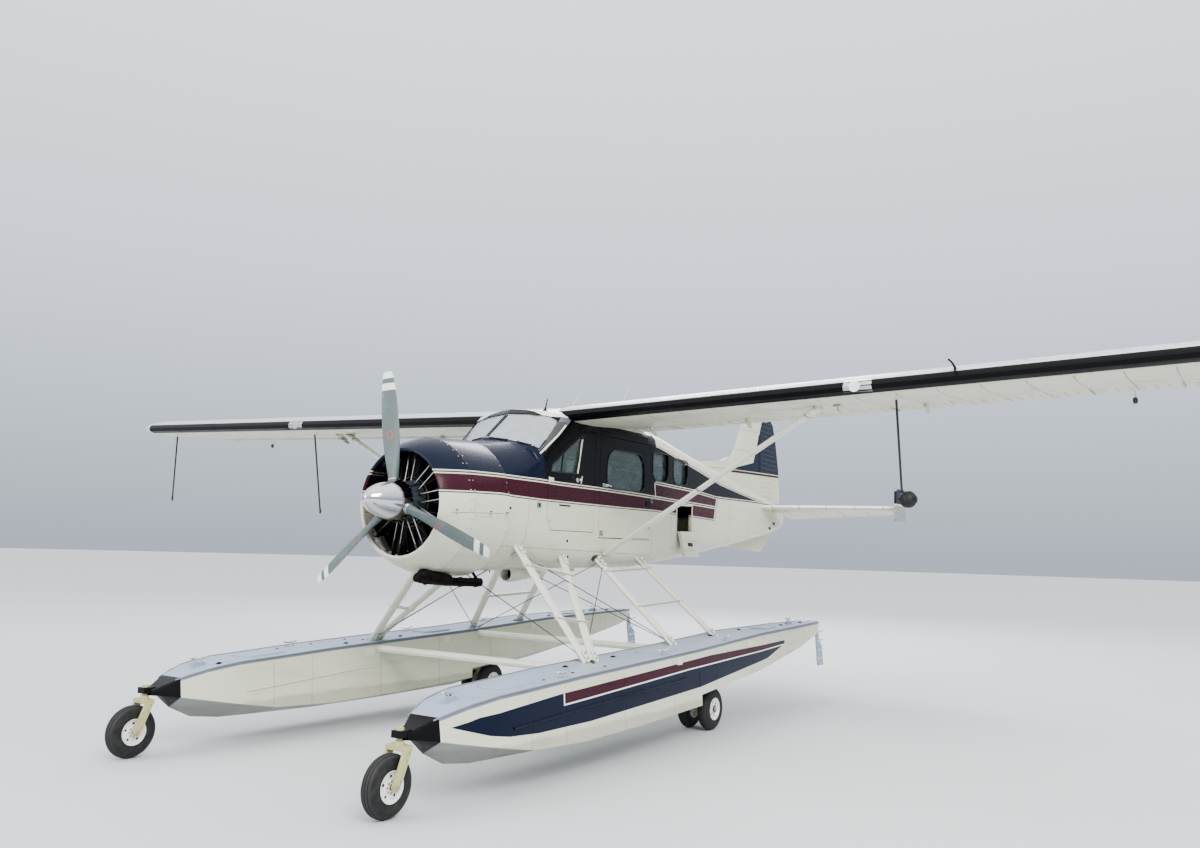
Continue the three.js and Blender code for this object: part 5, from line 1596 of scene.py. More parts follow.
@dataclass
class Cowling:
    """What shows on the cowling: its latches and fasteners, and the exhaust and scoop below it."""

    axis_z: float = -0.018
    split_x: float = -0.363
    end_x: float = -0.872
    scoop: Place = (0.0, 0.2, -0.672)
    collector: Stations = ((0.0, 0.0), (0.0, 0.028), (0.02, 0.048), (0.06, 0.058), (0.34, 0.062),
                           (0.40, 0.055), (0.425, 0.03), (0.43, 0.0))
    clamps: tuple[Place, ...] = ((-0.34, 0.115, -0.721), (-0.80, 0.149, -0.747), (-1.0, 0.172, -0.751))
    stays: tuple[tuple[Place, ...], ...] = (
        ((-0.66, 0.23, -0.715), (-0.80, 0.232, -0.722), (-0.96, 0.234, -0.735), (-1.02, 0.235, -0.742)),
        ((-0.90, 0.20, -0.640), (-1.03, 0.185, -0.745)))

    def build(self, rows: Rows, beads: Beads) -> None:
        """Makes the pieces."""
        skin = Skin("nose_bowl", "cowl_left", "cowl_right")
        self._fasteners(rows, skin)
        self._latches(skin)
        self._exhaust(beads)
        self._scoop()

    def _fasteners(self, rows: Rows, skin: Skin) -> None:
        """Makes the turned fasteners along the panels' edges."""
        seats = []
        for x in (self.split_x + 0.022, self.split_x - 0.024, self.end_x + 0.02):
            axis = Vector((x, 0, self.axis_z))
            seats += [seat for out in around(44, 0.5) if abs(out.z) < 0.985
                      for seat in skin.hit(axis + out * 1.2, -out)]
        joint = [(-0.42 - 0.055 * i, -0.128) for i in range(9)]
        seats += [seat for place in joint for side in Side for seat in skin.beside(side, [place])]
        head = stud([(0.0, 0.0075), (0.0015, 0.0068), (0.0022, 0.0045), (0.0022, 0.0)], 12)
        rows.place("cowl_fasteners", "airframe", sunk(seats, depth=0.0004), head, Finishes.steel)

    def _latches(self, skin: Skin) -> None:
        """Makes the over-centre latches on the side joint and the rear knobs."""
        shape = Shape()
        for side in Side:
            for spot, out, _ in skin.beside(side, [(x, -0.085) for x in (-0.20, -0.60, -0.82)]):
                shape.using(0).block(spot + out * 0.004, UP, out, (0.052, 0.016, 0.008))
                pin, half = spot + out * 0.008 + Vector((0, 0, 0.016)), Vector((0.012, 0, 0))
                shape.using(1).rod(pin - half, pin + half, 0.004, 10)
            for spot, out, _ in skin.beside(side, [(self.end_x + 0.012, -0.023)]):
                shape.using(1).rod(spot - out * 0.004, spot + out * 0.012, 0.013, 18, 0.010)
        shape.piece("cowl_latches", "airframe", [Finishes.aluminium, Finishes.dark_steel], 0.001,
                    slot="polished_metal")

    def _exhaust(self, beads: Beads) -> None:
        """Makes the collector's end, its clamps and the stays beside the pipe."""
        shape = Shape().turned(self.collector, (-0.205, 0.155, -0.668), (-1, 0.05, -0.155), 26)
        clamp = [(-0.012, 0.044), (-0.012, 0.049), (0.012, 0.049), (0.012, 0.044)]
        for spot in self.clamps:
            shape.turned(clamp, spot, (-1, 0.08, -0.03), 24)
        shape.using(1).block((-0.34, 0.115, -0.772), AHEAD, (0, 1, 0), (0.014, 0.012, 0.022))
        shape.piece("exhaust_collector", "airframe", [Finishes.burnt, Finishes.steel], 0.001,
                    slot="burnt_steel")
        beads.place("exhaust_stays", "airframe", self.stays, 0.014, Finishes.burnt, 12)

    def _scoop(self) -> None:
        """Makes the cooler's face inside the belly scoop."""
        face = [(-1.560, 0.0), (-1.560, 0.064), (-1.572, 0.064), (-1.572, 0.0)]
        shape = Shape().turned(face, self.scoop, AHEAD, 30).using(1)
        _, middle, height = self.scoop
        for y in (-0.055 + 0.011 * i for i in range(11)):
            reach = math.sqrt(max(0.063 ** 2 - y * y, 0.0001))
            shape.box((-1.5598, middle + y - 0.001, height - reach),
                      (-1.548, middle + y + 0.001, height + reach))
        shape.piece("belly_scoop_core", "airframe", [Finishes.black, Finishes.dark_steel],
                    slot="engine_metal")


@dataclass
class Cabin:
    """Seats, dials, yoke and pedals inside the cabin."""

    front_x: float = -1.78
    rear_x: float = -2.72
    grid: tuple[int, int] = (28, 40)
    channel: float = 0.11

    def build(self) -> None:
        """Makes the cabin's fittings."""
        self._frames()
        for name, x, y, half in (("front_left", self.front_x, 0.3, 0.21),
                                 ("front_right", self.front_x, -0.3, 0.21), ("rear", self.rear_x, 0.0, 0.51)):
            self._cushion(f"seat_cushion_{name}", (x - 0.225, y, -0.13), (0.44, 2 * half, 0.11), (1, 0, 0.05))
            self._cushion(f"seat_back_{name}", (x - 0.515, y, 0.18), (0.52, 2 * half, 0.09), (-0.17, 0, 1))
        self._controls()

    def _frames(self) -> None:
        """Makes the seats' tube frames, which stand for the CAD seats."""
        shape = Shape()
        for x, y, half in ((self.front_x, -0.3, 0.205), (self.front_x, 0.3, 0.205), (self.rear_x, 0.0, 0.5)):
            for edge in (y - (half - 0.03), y + (half - 0.03)):
                shape.tube([(x - 0.03, edge, -0.468), (x - 0.05, edge, -0.20), (x - 0.41, edge, -0.19),
                            (x - 0.50, edge, 0.05), (x - 0.575, edge, 0.45)], 0.013, 10)
                shape.tube([(x - 0.38, edge, -0.468), (x - 0.36, edge, -0.20)], 0.013, 10)
            for back, z in ((0.05, -0.205), (0.57, 0.44)):
                shape.rod((x - back, y - half + 0.02, z), (x - back, y + half - 0.02, z), 0.012, 10)
        piece = shape.piece("seat_frames", "airframe", [Finishes.dark_steel], slot="cabin_trim")
        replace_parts(piece, "seat_front", "seat_rear")

    def _cushion(self, name: str, centre: Place, size: Place, along: Place) -> None:
        """Makes one crowned cushion with sewn channels.

        Args:
            name: The piece's name.
            centre: Its middle.
            size: Its length, width and thickness.
            along: The way its length lies.
        """
        way = Vector(along).normalized()
        wide = Vector((0, 1, 0))
        up = way.cross(wide).normalized()
        up = up if up.dot(Vector((0.3, 0, 1))) > 0 else -up
        length, width, thick = size
        count, lanes = self.grid
        channels = max(3, round(width / self.channel))
        top, foot = [], []
        for u in (-1 + 2 * i / count for i in range(count + 1)):
            for v in (-1 + 2 * j / lanes for j in range(lanes + 1)):
                edge = (1 - abs(u) ** 5) ** 0.5 * (1 - abs(v) ** 8) ** 0.5
                pinch = 1 - 0.03 * (1 - abs(v) ** 2) * abs(u) ** 4
                seam = abs(math.sin(0.5 * math.pi * channels * (v + 1))) ** 0.35
                high = 0.5 * thick * edge * (0.72 + 0.28 * seam)
                base = Vector(centre) + way * (0.5 * length * u * pinch) + wide * (0.5 * width * v)
                top.append(base + up * high)
                foot.append(base - up * 0.42 * thick * edge)
        row = lanes + 1
        faces = [(i * row + j, (i + 1) * row + j, (i + 1) * row + j + 1, i * row + j + 1)
                 for i in range(count) for j in range(lanes)]
        shape = Shape().add(top + foot, faces + [tuple(k + len(top) for k in reversed(f)) for f in faces])
        cushion = shape.piece(name, "airframe", [Finishes.cloth], angle=70, slot="seat_cloth")

    @staticmethod
    def _controls() -> None:
        """Makes the yoke, its column, the dials, the pedals and the levers."""
        column = [(-1.50, 0.0, -0.40), (-1.53, 0.0, 0.0), (-1.60, 0.0, 0.22), (-1.62, 0.28, 0.24)]
        angles = [math.pi * (-0.80 + 1.60 * i / 24) for i in range(25)]
        rim = [(-1.635, 0.28 + 0.15 * math.sin(t), 0.25 - 0.13 * math.cos(t)) for t in angles]
        shape = Shape().tube(column, 0.02, 12).tube(rim, 0.014, 10)
        shape.rod((-1.635, 0.14, 0.25), (-1.635, 0.42, 0.25), 0.010, 10)
        for y in (-0.38, -0.22, 0.22, 0.38):
            shape.block((-1.40, y, -0.36), (0.3, 0, 1), AHEAD, (0.14, 0.09, 0.012))
        dial = [(0.0, 0.0), (0.0, 0.046), (0.010, 0.046), (0.010, 0.040), (0.004, 0.038), (0.004, 0.0)]
        # height, dials in the row, the first one's place
        for row, (z, count, first) in enumerate(((0.44, 8, -0.42), (0.335, 8, -0.42), (0.235, 6, -0.30))):
            for k in range(count):
                y, turn = first + 0.12 * k, 1.7 * k + row
                shape.using(1).turned(dial, (-1.4905, y, z), (-1, 0, 0), 24)
                tip = (-1.496, y + 0.024 * math.cos(turn), z + 0.024 * math.sin(turn))
                shape.using(2).rod((-1.496, y, z), tip, 0.0022, 6)
        for y in (-0.05, 0.0, 0.05):
            shape.using(0).rod((-1.49, y, 0.20), (-1.56, y, 0.17), 0.004, 8)
            shape.using(2).rod((-1.56, y, 0.17), (-1.585, y, 0.16), 0.012, 12)
        shape.piece("cabin_controls", "airframe", [Finishes.dark_steel, Finishes.black, Finishes.rim], 0.001,
                    slot="cabin_trim")


@dataclass
class Fuselage:
    """What is fixed to the fuselage, its doors and its windows."""

    # y, z
    screen_hole: Stations = (
        (0, 0.734), (0.3, 0.698), (0.5, 0.648), (0.592, 0.604), (0.592, 0.7), (0.584, 0.9), (0.566, 0.95),
        (0.48, 0.992), (0.3, 1.016), (0, 1.032), (-0.3, 1.016), (-0.48, 0.992), (-0.566, 0.95), (-0.584, 0.9),
        (-0.592, 0.7), (-0.592, 0.604), (-0.5, 0.648), (-0.3, 0.698))
    pillar: tuple[Place, ...] = (
        (-1.400, 0.612, 0.556), (-1.55, 0.618, 0.660), (-1.70, 0.620, 0.765), (-1.84, 0.612, 0.872))
    # x, z
    front_window: Stations = (
        (-1.540, 0.388), (-1.560, 0.462), (-1.905, 0.700), (-2.085, 0.812), (-2.100, 0.790), (-1.985, 0.395))
    hatchway: Stations = ((-4.292, -0.150), (-4.778, -0.146), (-4.778, 0.206), (-4.292, 0.192))
    # front, rear, low, high, radius of the lower corners, radius of the upper ones
    cabin_window: Place = (-2.6, -3.425, 0.285, 0.735, 0.11, 0.19)
    rear_windows: tuple[Place, ...] = (
        (-3.625, -4.03, 0.455, 0.79, 0.11, 0.05), (-4.185, -4.62, 0.452, 0.765, 0.12, 0.05))
    # x, z, radius of the ring, radius of the hole
    ports: tuple[Place, ...] = (
        (-1.861, -0.316, 0.034, 0.018), (-1.074, 0.007, 0.012, 0.004), (-1.182, -0.373, 0.014, 0.005),
        (-1.001, -0.406, 0.014, 0.005), (-1.535, -0.405, 0.012, 0.005), (-2.20, -0.42, 0.014, 0.006))
    # x, z, size
    plates: tuple[Place, ...] = ((-1.356, 0.032, 0.062), (-3.60, 0.20, 0.05))
    frames: Place = (-0.93, -1.21, -2.40, -3.61, -4.14, -4.85, -5.26, -5.34, -6.09, -6.89, -7.59)
    # x, y, tip, finish
    whips: tuple[tuple[float, float, Place, int], ...] = (
        (-2.60, 0.10, (-2.89, 0.10, 1.51), 0), (-3.60, 0.05, (-4.04, 0.05, 1.72), 0),
        (-1.80, 0.36, (-1.84, 0.36, 1.20), 1))

    def build(self, rows: Rows, beads: Beads) -> None:
        """Makes the pieces."""
        self._windscreen(beads)
        self._seals(beads)
        self._hardware()
        self._ports()
        self._rivets(rows)
        self._aerials()
        self._hatch(beads)

    @staticmethod
    def _rounded(front: float, rear: float, low: float, high: float, lower: float,
                 upper: float) -> list[Place]:
        """A window's rounded outline in x and z."""
        corners = ((front - lower, low + lower, lower, 270), (front - upper, high - upper, upper, 0),
                   (rear + upper, high - upper, upper, 90), (rear + lower, low + lower, lower, 180))
        return [(x + r * math.cos(math.radians(start + step)), z + r * math.sin(math.radians(start + step)))
                for x, z, r, start in corners for step in range(0, 91, 15)]

    def _windscreen(self, beads: Beads) -> None:
        """Makes the windscreen's rubber seal, its centre strip and the strips beside it."""
        skin, glass = Skin("windscreen", "fuselage_shell"), Skin("windscreen")
        aft = (-1, 0, 0)
        outline = [seat for y, z in stepped(self.screen_hole, 6, True) for seat in skin.hit((0.2, y, z), aft)]
        beads.place("windscreen_seal", "airframe", [lifted(outline, 0.002)], 0.008, Finishes.rubber, 8, True)
        strips = [[seat for i in range(13) for seat in glass.hit((0.2, y, 0.745 + 0.022 * i), aft)]
                  for y in (-0.012, 0.012)]
        beads.place("windscreen_centre_strip", "airframe", [lifted(line, 0.001) for line in strips], 0.0075,
                    Finishes.black)
        pillars = [[seat for p in (side.at(*place) for place in self.pillar)
                    for seat in skin.hit((p.x + 0.35, p.y * 1.35, p.z + 0.25), (-0.35, -0.35 * p.y, -0.25))]
                   for side in Side]
        beads.place("windscreen_pillar_strips", "airframe", [lifted(line, 0.004) for line in pillars], 0.011,
                    Finishes.strut)

    def _seals(self, beads: Beads) -> None:
        """Makes the rubber seals round the side windows, and the bars of the front ones."""
        outlines = {"front": stepped(self.front_window, 4, True), "cabin": self._rounded(*self.cabin_window)}
        for side in Side:
            for door, outline in outlines.items():
                line = [side.at(x, 0.6608, z) for x, z in outline]
                beads.place(f"{door}_door_window_seal_{side.word}", f"{door}_door_{side.word}", [line],
                            0.0065, Finishes.rubber, 8, True)
            skin = Skin("fuselage_shell", f"rear_glass_{side.word}")
            lines = []
            for outline in (self._rounded(*window) for window in self.rear_windows):
                mid_x, mid_z = (sum(column) / len(outline) for column in zip(*outline))
                wider = [(x + (x - mid_x) * 0.03, z + (z - mid_z) * 0.03) for x, z in outline]
                lines.append(lifted(skin.beside(side, wider), 0.001))
            beads.place(f"rear_window_seals_{side.word}", "airframe", lines, 0.0065, Finishes.rubber, 8, True)
            for name, low, high, radius, finish in (
                    ("window_post", (-2.012, 0.664, 0.40), (-2.085, 0.664, 0.775), 0.009, Finishes.cream),
                    ("sliding_edge", (-1.735, 0.646, 0.392), (-1.765, 0.646, 0.600), 0.006, Finishes.black)):
                beads.place(f"front_door_{name}_{side.word}", f"front_door_{side.word}",
                            [[side.at(*low), side.at(*high)]], radius, finish)

    @staticmethod
    def _hardware() -> None:
        """Makes the doors' handles, hinges and latches."""
        knob = [(0.0, 0.026), (0.006, 0.026), (0.010, 0.018), (0.034, 0.014), (0.046, 0.020), (0.054, 0.016),
                (0.056, 0.0)]
        # finish, middle, length, width and height
        cabin_blocks = (
            (1, (-3.505, 0.664, -0.10), (0.085, 0.055, 0.008)),
            (1, (-3.505, 0.664, 0.16), (0.085, 0.055, 0.008)),
            (2, (-2.506, 0.664, -0.213), (0.062, 0.055, 0.008)),
            (0, (-2.506, 0.672, -0.213), (0.030, 0.020, 0.012)))
        handle = ((-2.515, 0.672, 0.318), (-2.52, 0.700, 0.318), (-2.60, 0.702, 0.311), (-2.64, 0.694, 0.308))
        for side in Side:
            out = (0, side.value, 0)
            front = Shape().turned(knob, side.at(-2.02, 0.660, 0.333), out, 24)
            front.block(side.at(-2.02, 0.712, 0.333), (0.25, 0, -1), out, (0.085, 0.016, 0.012)).using(1)
            for z in (-0.09, 0.30):
                front.block(side.at(-1.545, 0.664, z), AHEAD, out, (0.075, 0.05, 0.008))
                front.rod(side.at(-1.50, 0.668, z - 0.03), side.at(-1.50, 0.668, z + 0.03), 0.007, 12)
            front.using(2).block(side.at(-1.80, 0.662, 0.05), AHEAD, out, (0.20, 0.014, 0.006))
            front.piece(f"front_door_hardware_{side.word}", f"front_door_{side.word}",
                        [Finishes.aluminium, Finishes.cream, Finishes.black], 0.001, slot="polished_metal")
            cabin = Shape().block(side.at(-2.56, 0.666, 0.315), (1, 0, 0.03), out, (0.11, 0.034, 0.012))
            cabin.tube([side.at(*place) for place in handle], 0.008, 10)
            for mark, middle, size in cabin_blocks:
                cabin.using(mark).block(side.at(*middle), AHEAD, out, size)
            cabin.piece(f"cabin_door_hardware_{side.word}", f"cabin_door_{side.word}",
                        [Finishes.aluminium, Finishes.black, Finishes.rail], 0.001, slot="polished_metal")

    def _ports(self) -> None:
        """Makes the ringed ports, each with a black disc of painted shade in its hole, and the small plates
        on the fuselage's sides.
        """
        skin, shape = Skin("fuselage_shell"), Shape()
        for side in Side:
            for x, z, ring, hole in self.ports:
                for spot, out, _ in skin.beside(side, [(x, z)]):
                    shape.using(0).turned([(-0.002, 0.0), (-0.002, ring), (0.003, ring * 0.94), (0.003, hole),
                                           (0.0, hole), (0.0, 0.0)], spot, out, 22)
                    # A black disc fills each port's hole: painted shade inside it.
                    shape.using(1).turned([(0.0, 0.0), (0.0, hole * 0.98), (0.0012, hole * 0.98),
                                           (0.0012, 0.0)], spot, out, 16)
            for x, z, size in self.plates:
                for spot, out, _ in skin.beside(side, [(x, z)]):
                    shape.using(2).block(spot + out * 0.003, AHEAD, out, (size, size * 0.9, 0.008))
                    shape.using(1).block(spot + out * 0.007, UP, out, (size * 0.5, size * 0.3, 0.010))
        shape.piece("fuselage_ports", "airframe", [Finishes.strut, Finishes.black, Finishes.rail], 0.0006,
                    slot="cream_paint")

    def _rivets(self, rows: Rows) -> None:
        """Makes rows of rivets along the frames and stringers."""
        skin = Skin("fuselage_shell", "tail_cone")
        path = [(x, z * 0.045 - 0.58) for x in self.frames for z in range(36)]
        path += [(-0.95 - 0.055 * k, -0.385) for k in range(48)]
        path += [(-3.65 - 0.06 * k, z) for z in (-0.25, 0.02) for k in range(66)]
        seats = [seat for side in Side for seat in sunk(skin.beside(side, path), 1, 0.35)]
        rows.place("fuselage_rivets", "airframe", seats, rivet(0.0042, 0.0036, 0.0006, 0.0010, 7),
                   Finishes.fuselage)

    def _aerials(self) -> None:
        """Makes the whips and the blade aerial on the roof, and the fittings under the belly."""
        skin = Skin("fuselage_shell", "tail_cone", "wing_left", "wing_right")
        shape, deep = Shape(), (0, 0.012, 0)
        boot = [(-0.006, 0.024), (0.004, 0.024), (0.012, 0.014), (0.034, 0.009), (0.034, 0.0)]
        for x, y, tip, mark in self.whips:
            for foot, _, _ in skin.above([(x, y)]):
                way = (Vector(tip) - foot).normalized()
                shape.using(1).turned(boot, foot, way, 20)
                thick = 0.003 * mark
                shape.using(mark).rod(foot + way * 0.03, Vector(tip), 0.0046 + thick, 10, 0.0022 + thick)
        blade = ((0.0, -0.01), (-0.20, -0.01), (-0.19, 0.035), (-0.10, 0.10))
        for top, _, _ in skin.above([(-5.9, 0.0)]):
            shape.using(0).slab([top + Vector((x, -0.006, z)) for x, z in blade], deep)
        shape.piece("aerials", "airframe", [Finishes.strut, Finishes.black], 0.0008, slot="cream_paint")
        under = Shape()
        keel = ((0.07, 0.01), (-0.07, 0.01), (-0.06, -0.05), (0.03, -0.06))
        for low, _, _ in skin.below([(-2.9, 0.0), (-4.3, 0.0)]):
            under.using(0).slab([low + Vector((x, -0.006, z)) for x, z in keel], deep)
        for low, _, _ in skin.below([(-1.62, -0.18), (-1.70, 0.05), (-3.40, 0.10)]):
            under.using(1).rod(low + Vector((0, 0, 0.01)), low + Vector((-0.02, 0, -0.05)), 0.007, 12)
        under.piece("belly_fittings", "airframe", [Finishes.strut, Finishes.dark_steel], 0.0008,
                    slot="cream_paint")

    def _hatch(self, beads: Beads) -> None:
        """Makes the frame of the baggage hatchway and the ribs and latch of the open hatch."""
        outline = Skin("fuselage_shell").beside(Side.LEFT, stepped(self.hatchway, 10, True))
        beads.place("hatchway_frame", "airframe", [lifted(outline, 0.001)], 0.011, Finishes.cream, 8, True)
        low, high = (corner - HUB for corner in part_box("baggage_hatch"))
        size, panel = high - low, Skin("baggage_hatch")
        ribs = []
        for share in (0.30, 0.66):
            path = [(low.x + 0.05 + (size.x - 0.10) * k / 8, low.z + size.z * share) for k in range(9)]
            ribs.append(lifted(panel.beside(Side.LEFT, path), 0.002))
        beads.place("hatch_ribs", "baggage_door", ribs, 0.010, Finishes.cream)
        shape = Shape()
        for spot, out, _ in panel.beside(Side.LEFT, [(low.x + size.x / 2, low.z + size.z * 0.48)]):
            shape.using(0).block(spot + out * 0.003, AHEAD, out, (0.125, 0.042, 0.008))
            shape.using(1).block(spot + out * 0.008, AHEAD, out, (0.080, 0.020, 0.008))
        shape.piece("hatch_latch", "baggage_door", [Finishes.black, Finishes.dark_steel], 0.001,
                    slot="polished_metal")


@dataclass
class Wings:
    """What is fixed to the wings: beads, lamps, pitot tube, plates, strut fittings and mass balances."""

    lead: float = -1.87
    rise: float = 0.03
    lamp_y: float = 3.75
    balance_y: float = 5.83
    # name, inner end, outer end
    surfaces: tuple[tuple[str, float, float], ...] = (("flap", 0.684, 4.255), ("aileron", 4.285, 6.982))
    bead_pitch: float = 0.105
    bead_stations: Place = (-3.14, -3.22, -3.30, -3.38, -3.435)
    guides: Place = (1.0, 2.174, 4.06, 5.2, 6.3)
    rivet_lines: Place = (-1.985, -2.30, -2.95)

    def build(self, rows: Rows, beads: Beads) -> None:
        """Makes the pieces of both wings."""
        for side in Side:
            skin = Skin(f"wing_{side.word}")
            self._beads(beads, side)
            self._landing_lamp(side, skin)
            self._tip_lamp(side, skin)
            if side is Side.LEFT:
                self._pitot()
            self._strut_fitting(side)
            self._plates(rows, side, skin)
            self._balance(side)
        self._rivets(rows)

    def _beads(self, beads: Beads, side: Side) -> None:
        """Makes the beads that run across the flap and aileron, above and below."""
        for name, inner, outer in self.surfaces:
            skin = Skin(f"{name}_{side.word}")
            count = round((outer - inner) / self.bead_pitch)
            lines = []
            for y in (inner + (outer - inner) * (k + 0.5) / count for k in range(count)):
                path = [(x, side.value * y) for x in self.bead_stations]
                lines += [lifted(seats, 0.0006) for seats in (skin.above(path), skin.below(path))
                          if len(seats) == len(path)]
            beads.place(f"{name}_beads_{side.word}", f"{name}_body_{side.word}", lines, 0.010,
                        Finishes.wing, 6)

    def _landing_lamp(self, side: Side, skin: Skin) -> None:
        """Makes the lamp in the leading edge, its glass lying a little before the skin."""
        y, z = self.lamp_y, 1.0 + self.rise * self.lamp_y
        rings = []
        for across in (-0.13 + 0.26 * k / 12 for k in range(13)):
            ring = []
            for height in (-0.058 + 0.112 * j / 8 for j in range(9)):
                place = side.value * (y + across)
                seats = skin.hit((0.0, place, z + 0.012 + height), (-1, 0, 0))
                spot = seats[0][0] if seats else Vector((self.lead, place, z + height))
                ring.append(spot + Vector((0.0015, 0, 0)))
            rings.append(ring)
        shape = Shape().loft(rings, False, False)
        shape.using(1).turned([(0.0, 0.052), (0.002, 0.052), (0.0025, 0.040), (0.001, 0.0)],
                              side.at(self.lead + 0.001, y - 0.02, z), (1, 0, 0.1), 26)
        lamp = shape.piece(f"landing_lamp_{side.word}", "airframe", [Finishes.lens, Finishes.aluminium],
                           slot="glass")
        lamp.modifiers.new("thickness", "SOLIDIFY").thickness = 0.0012

    def _tip_lamp(self, side: Side, skin: Skin) -> None:
        """Makes the light at the wing's tip, red on the left and green on the right."""
        wall = [(-0.075, 0.0), (-0.070, 0.012), (-0.03, 0.022), (0.03, 0.022), (0.06, 0.014), (0.068, 0.0)]
        glass = Finishes.red_lens if side is Side.LEFT else Finishes.green_lens
        start = side.at(-2.45, 9.0, 1.0 + self.rise * 7.3 + 0.02)
        for spot, _, _ in skin.hit(start, (0, -side.value, 0)):
            centre = spot + Vector((0.02, -side.value * 0.024, 0.018))
            shape = Shape().turned(wall, centre, AHEAD, 20)
            shape.piece(f"tip_lamp_{side.word}", "airframe", [glass], slot="glass")

    @staticmethod
    def _pitot() -> None:
        """Makes the mast and the tube under the left wing."""
        mast = Shape().slab([(-1.93, 4.585, 1.155), (-2.06, 4.585, 1.175), (-1.93, 4.585, 1.235),
                             (-1.86, 4.585, 1.245)], (0, 0.010, 0))
        mast.tube([(-1.97, 4.59, 1.185), (-1.86, 4.59, 1.236), (-1.79, 4.59, 1.250), (-1.70, 4.59, 1.252)],
                  0.0085, 12)
        mast.piece("pitot_mast", "airframe", [Finishes.black], 0.001, slot="engine_metal")

    @staticmethod
    def _strut_fitting(side: Side) -> None:
        """Makes the wing strut's fork with its pin, and the tie-down ring on its plate."""
        shape = Shape()
        # half the width's sign, y, z
        corners = ((1, 3.205, 1.02), (1, 3.262, 1.075), (-1, 3.262, 1.075), (-1, 3.205, 1.02),
                   (-1, 3.15, 0.958), (1, 3.15, 0.958))
        for x in (-2.30, -2.38):
            shape.slab([side.at(x + 0.022 * end, y, z) for end, y, z in corners], (0, side.value * 0.006, 0))
        shape.using(1).rod(side.at(-2.262, 3.20, 1.002), side.at(-2.420, 3.20, 1.002), 0.013, 14)
        turns = [2 * math.pi * k / 20 for k in range(21)]
        ring = [side.at(-2.342 + 0.022 * math.cos(t), 3.41, 0.988 + 0.022 * math.sin(t)) for t in turns]
        shape.tube(ring, 0.0045, 8)
        shape.using(0).block(side.at(-2.36, 3.30, 1.028), (0, 1, 0.03), DOWN, (0.10, 0.07, 0.008))
        shape.piece(f"wing_strut_fitting_{side.word}", "airframe", [Finishes.cream, Finishes.steel], 0.001,
                    slot="cream_paint")

    def _plates(self, rows: Rows, side: Side, skin: Skin) -> None:
        """Makes the inspection plates with their screws, and the blocks before the flap and aileron."""
        shape, screws = Shape(), []
        disc = [(-0.001, 0.0), (-0.001, 0.055), (0.0016, 0.053), (0.0016, 0.0)]
        arms = [Vector((math.cos(math.pi * k / 3), math.sin(math.pi * k / 3), 0)) for k in range(6)]
        path = [(x, side.value * (1.2 + 0.72 * k)) for k in range(8) for x in (-2.52, -2.82)]
        for spot, out, _ in skin.below(path):
            shape.turned(disc, spot, out, 28)
            screws += [(spot + out * 0.0014 + arm * 0.046, out, AHEAD) for arm in arms]
        for spot, out, _ in skin.below([(-2.96, side.value * y) for y in self.guides]):
            shape.block(spot + out * 0.004, AHEAD, out, (0.12, 0.045, 0.010))
        shape.piece(f"wing_plates_{side.word}", "airframe", [Finishes.cream], 0.0008, slot="cream_paint")
        rows.place(f"wing_plate_screws_{side.word}", "airframe", screws,
                   rivet(0.004, 0.0034, 0.001, 0.0014, 8), Finishes.steel)

    def _balance(self, side: Side) -> None:
        """Makes the aileron's mass balance and its arm."""
        arm = ((-3.20, 1.135), (-3.23, 1.09), (-3.19, 1.055))
        shape = Shape().tube([side.at(x, self.balance_y, z) for x, z in arm], 0.008, 10)
        shape.using(1).turned([(-0.030, 0.0), (-0.026, 0.016), (0.0, 0.022), (0.026, 0.016), (0.030, 0.0)],
                              side.at(-3.185, self.balance_y, 1.045), UP, 20)
        shape.piece(f"aileron_balance_{side.word}", f"aileron_body_{side.word}",
                    [Finishes.cream, Finishes.dark_steel], slot="engine_metal")

    def _rivets(self, rows: Rows) -> None:
        """Makes rivet rows along the spars and ribs of both wings, above and below."""
        seats = []
        for side in Side:
            skin = Skin(f"wing_{side.word}")
            path = [(x, side.value * (0.70 + 0.05 * k)) for x in self.rivet_lines for k in range(128)]
            path += [(-2.02 - 0.07 * k, side.value * (0.90 + 0.72 * r)) for r in range(9) for k in range(14)]
            seats += sunk(skin.above(path) + skin.below(path), 2, 0.7)
        rows.place("wing_rivets", "airframe", seats, rivet(0.0042, 0.0036, 0.0006, 0.0010, 6), Finishes.wing)


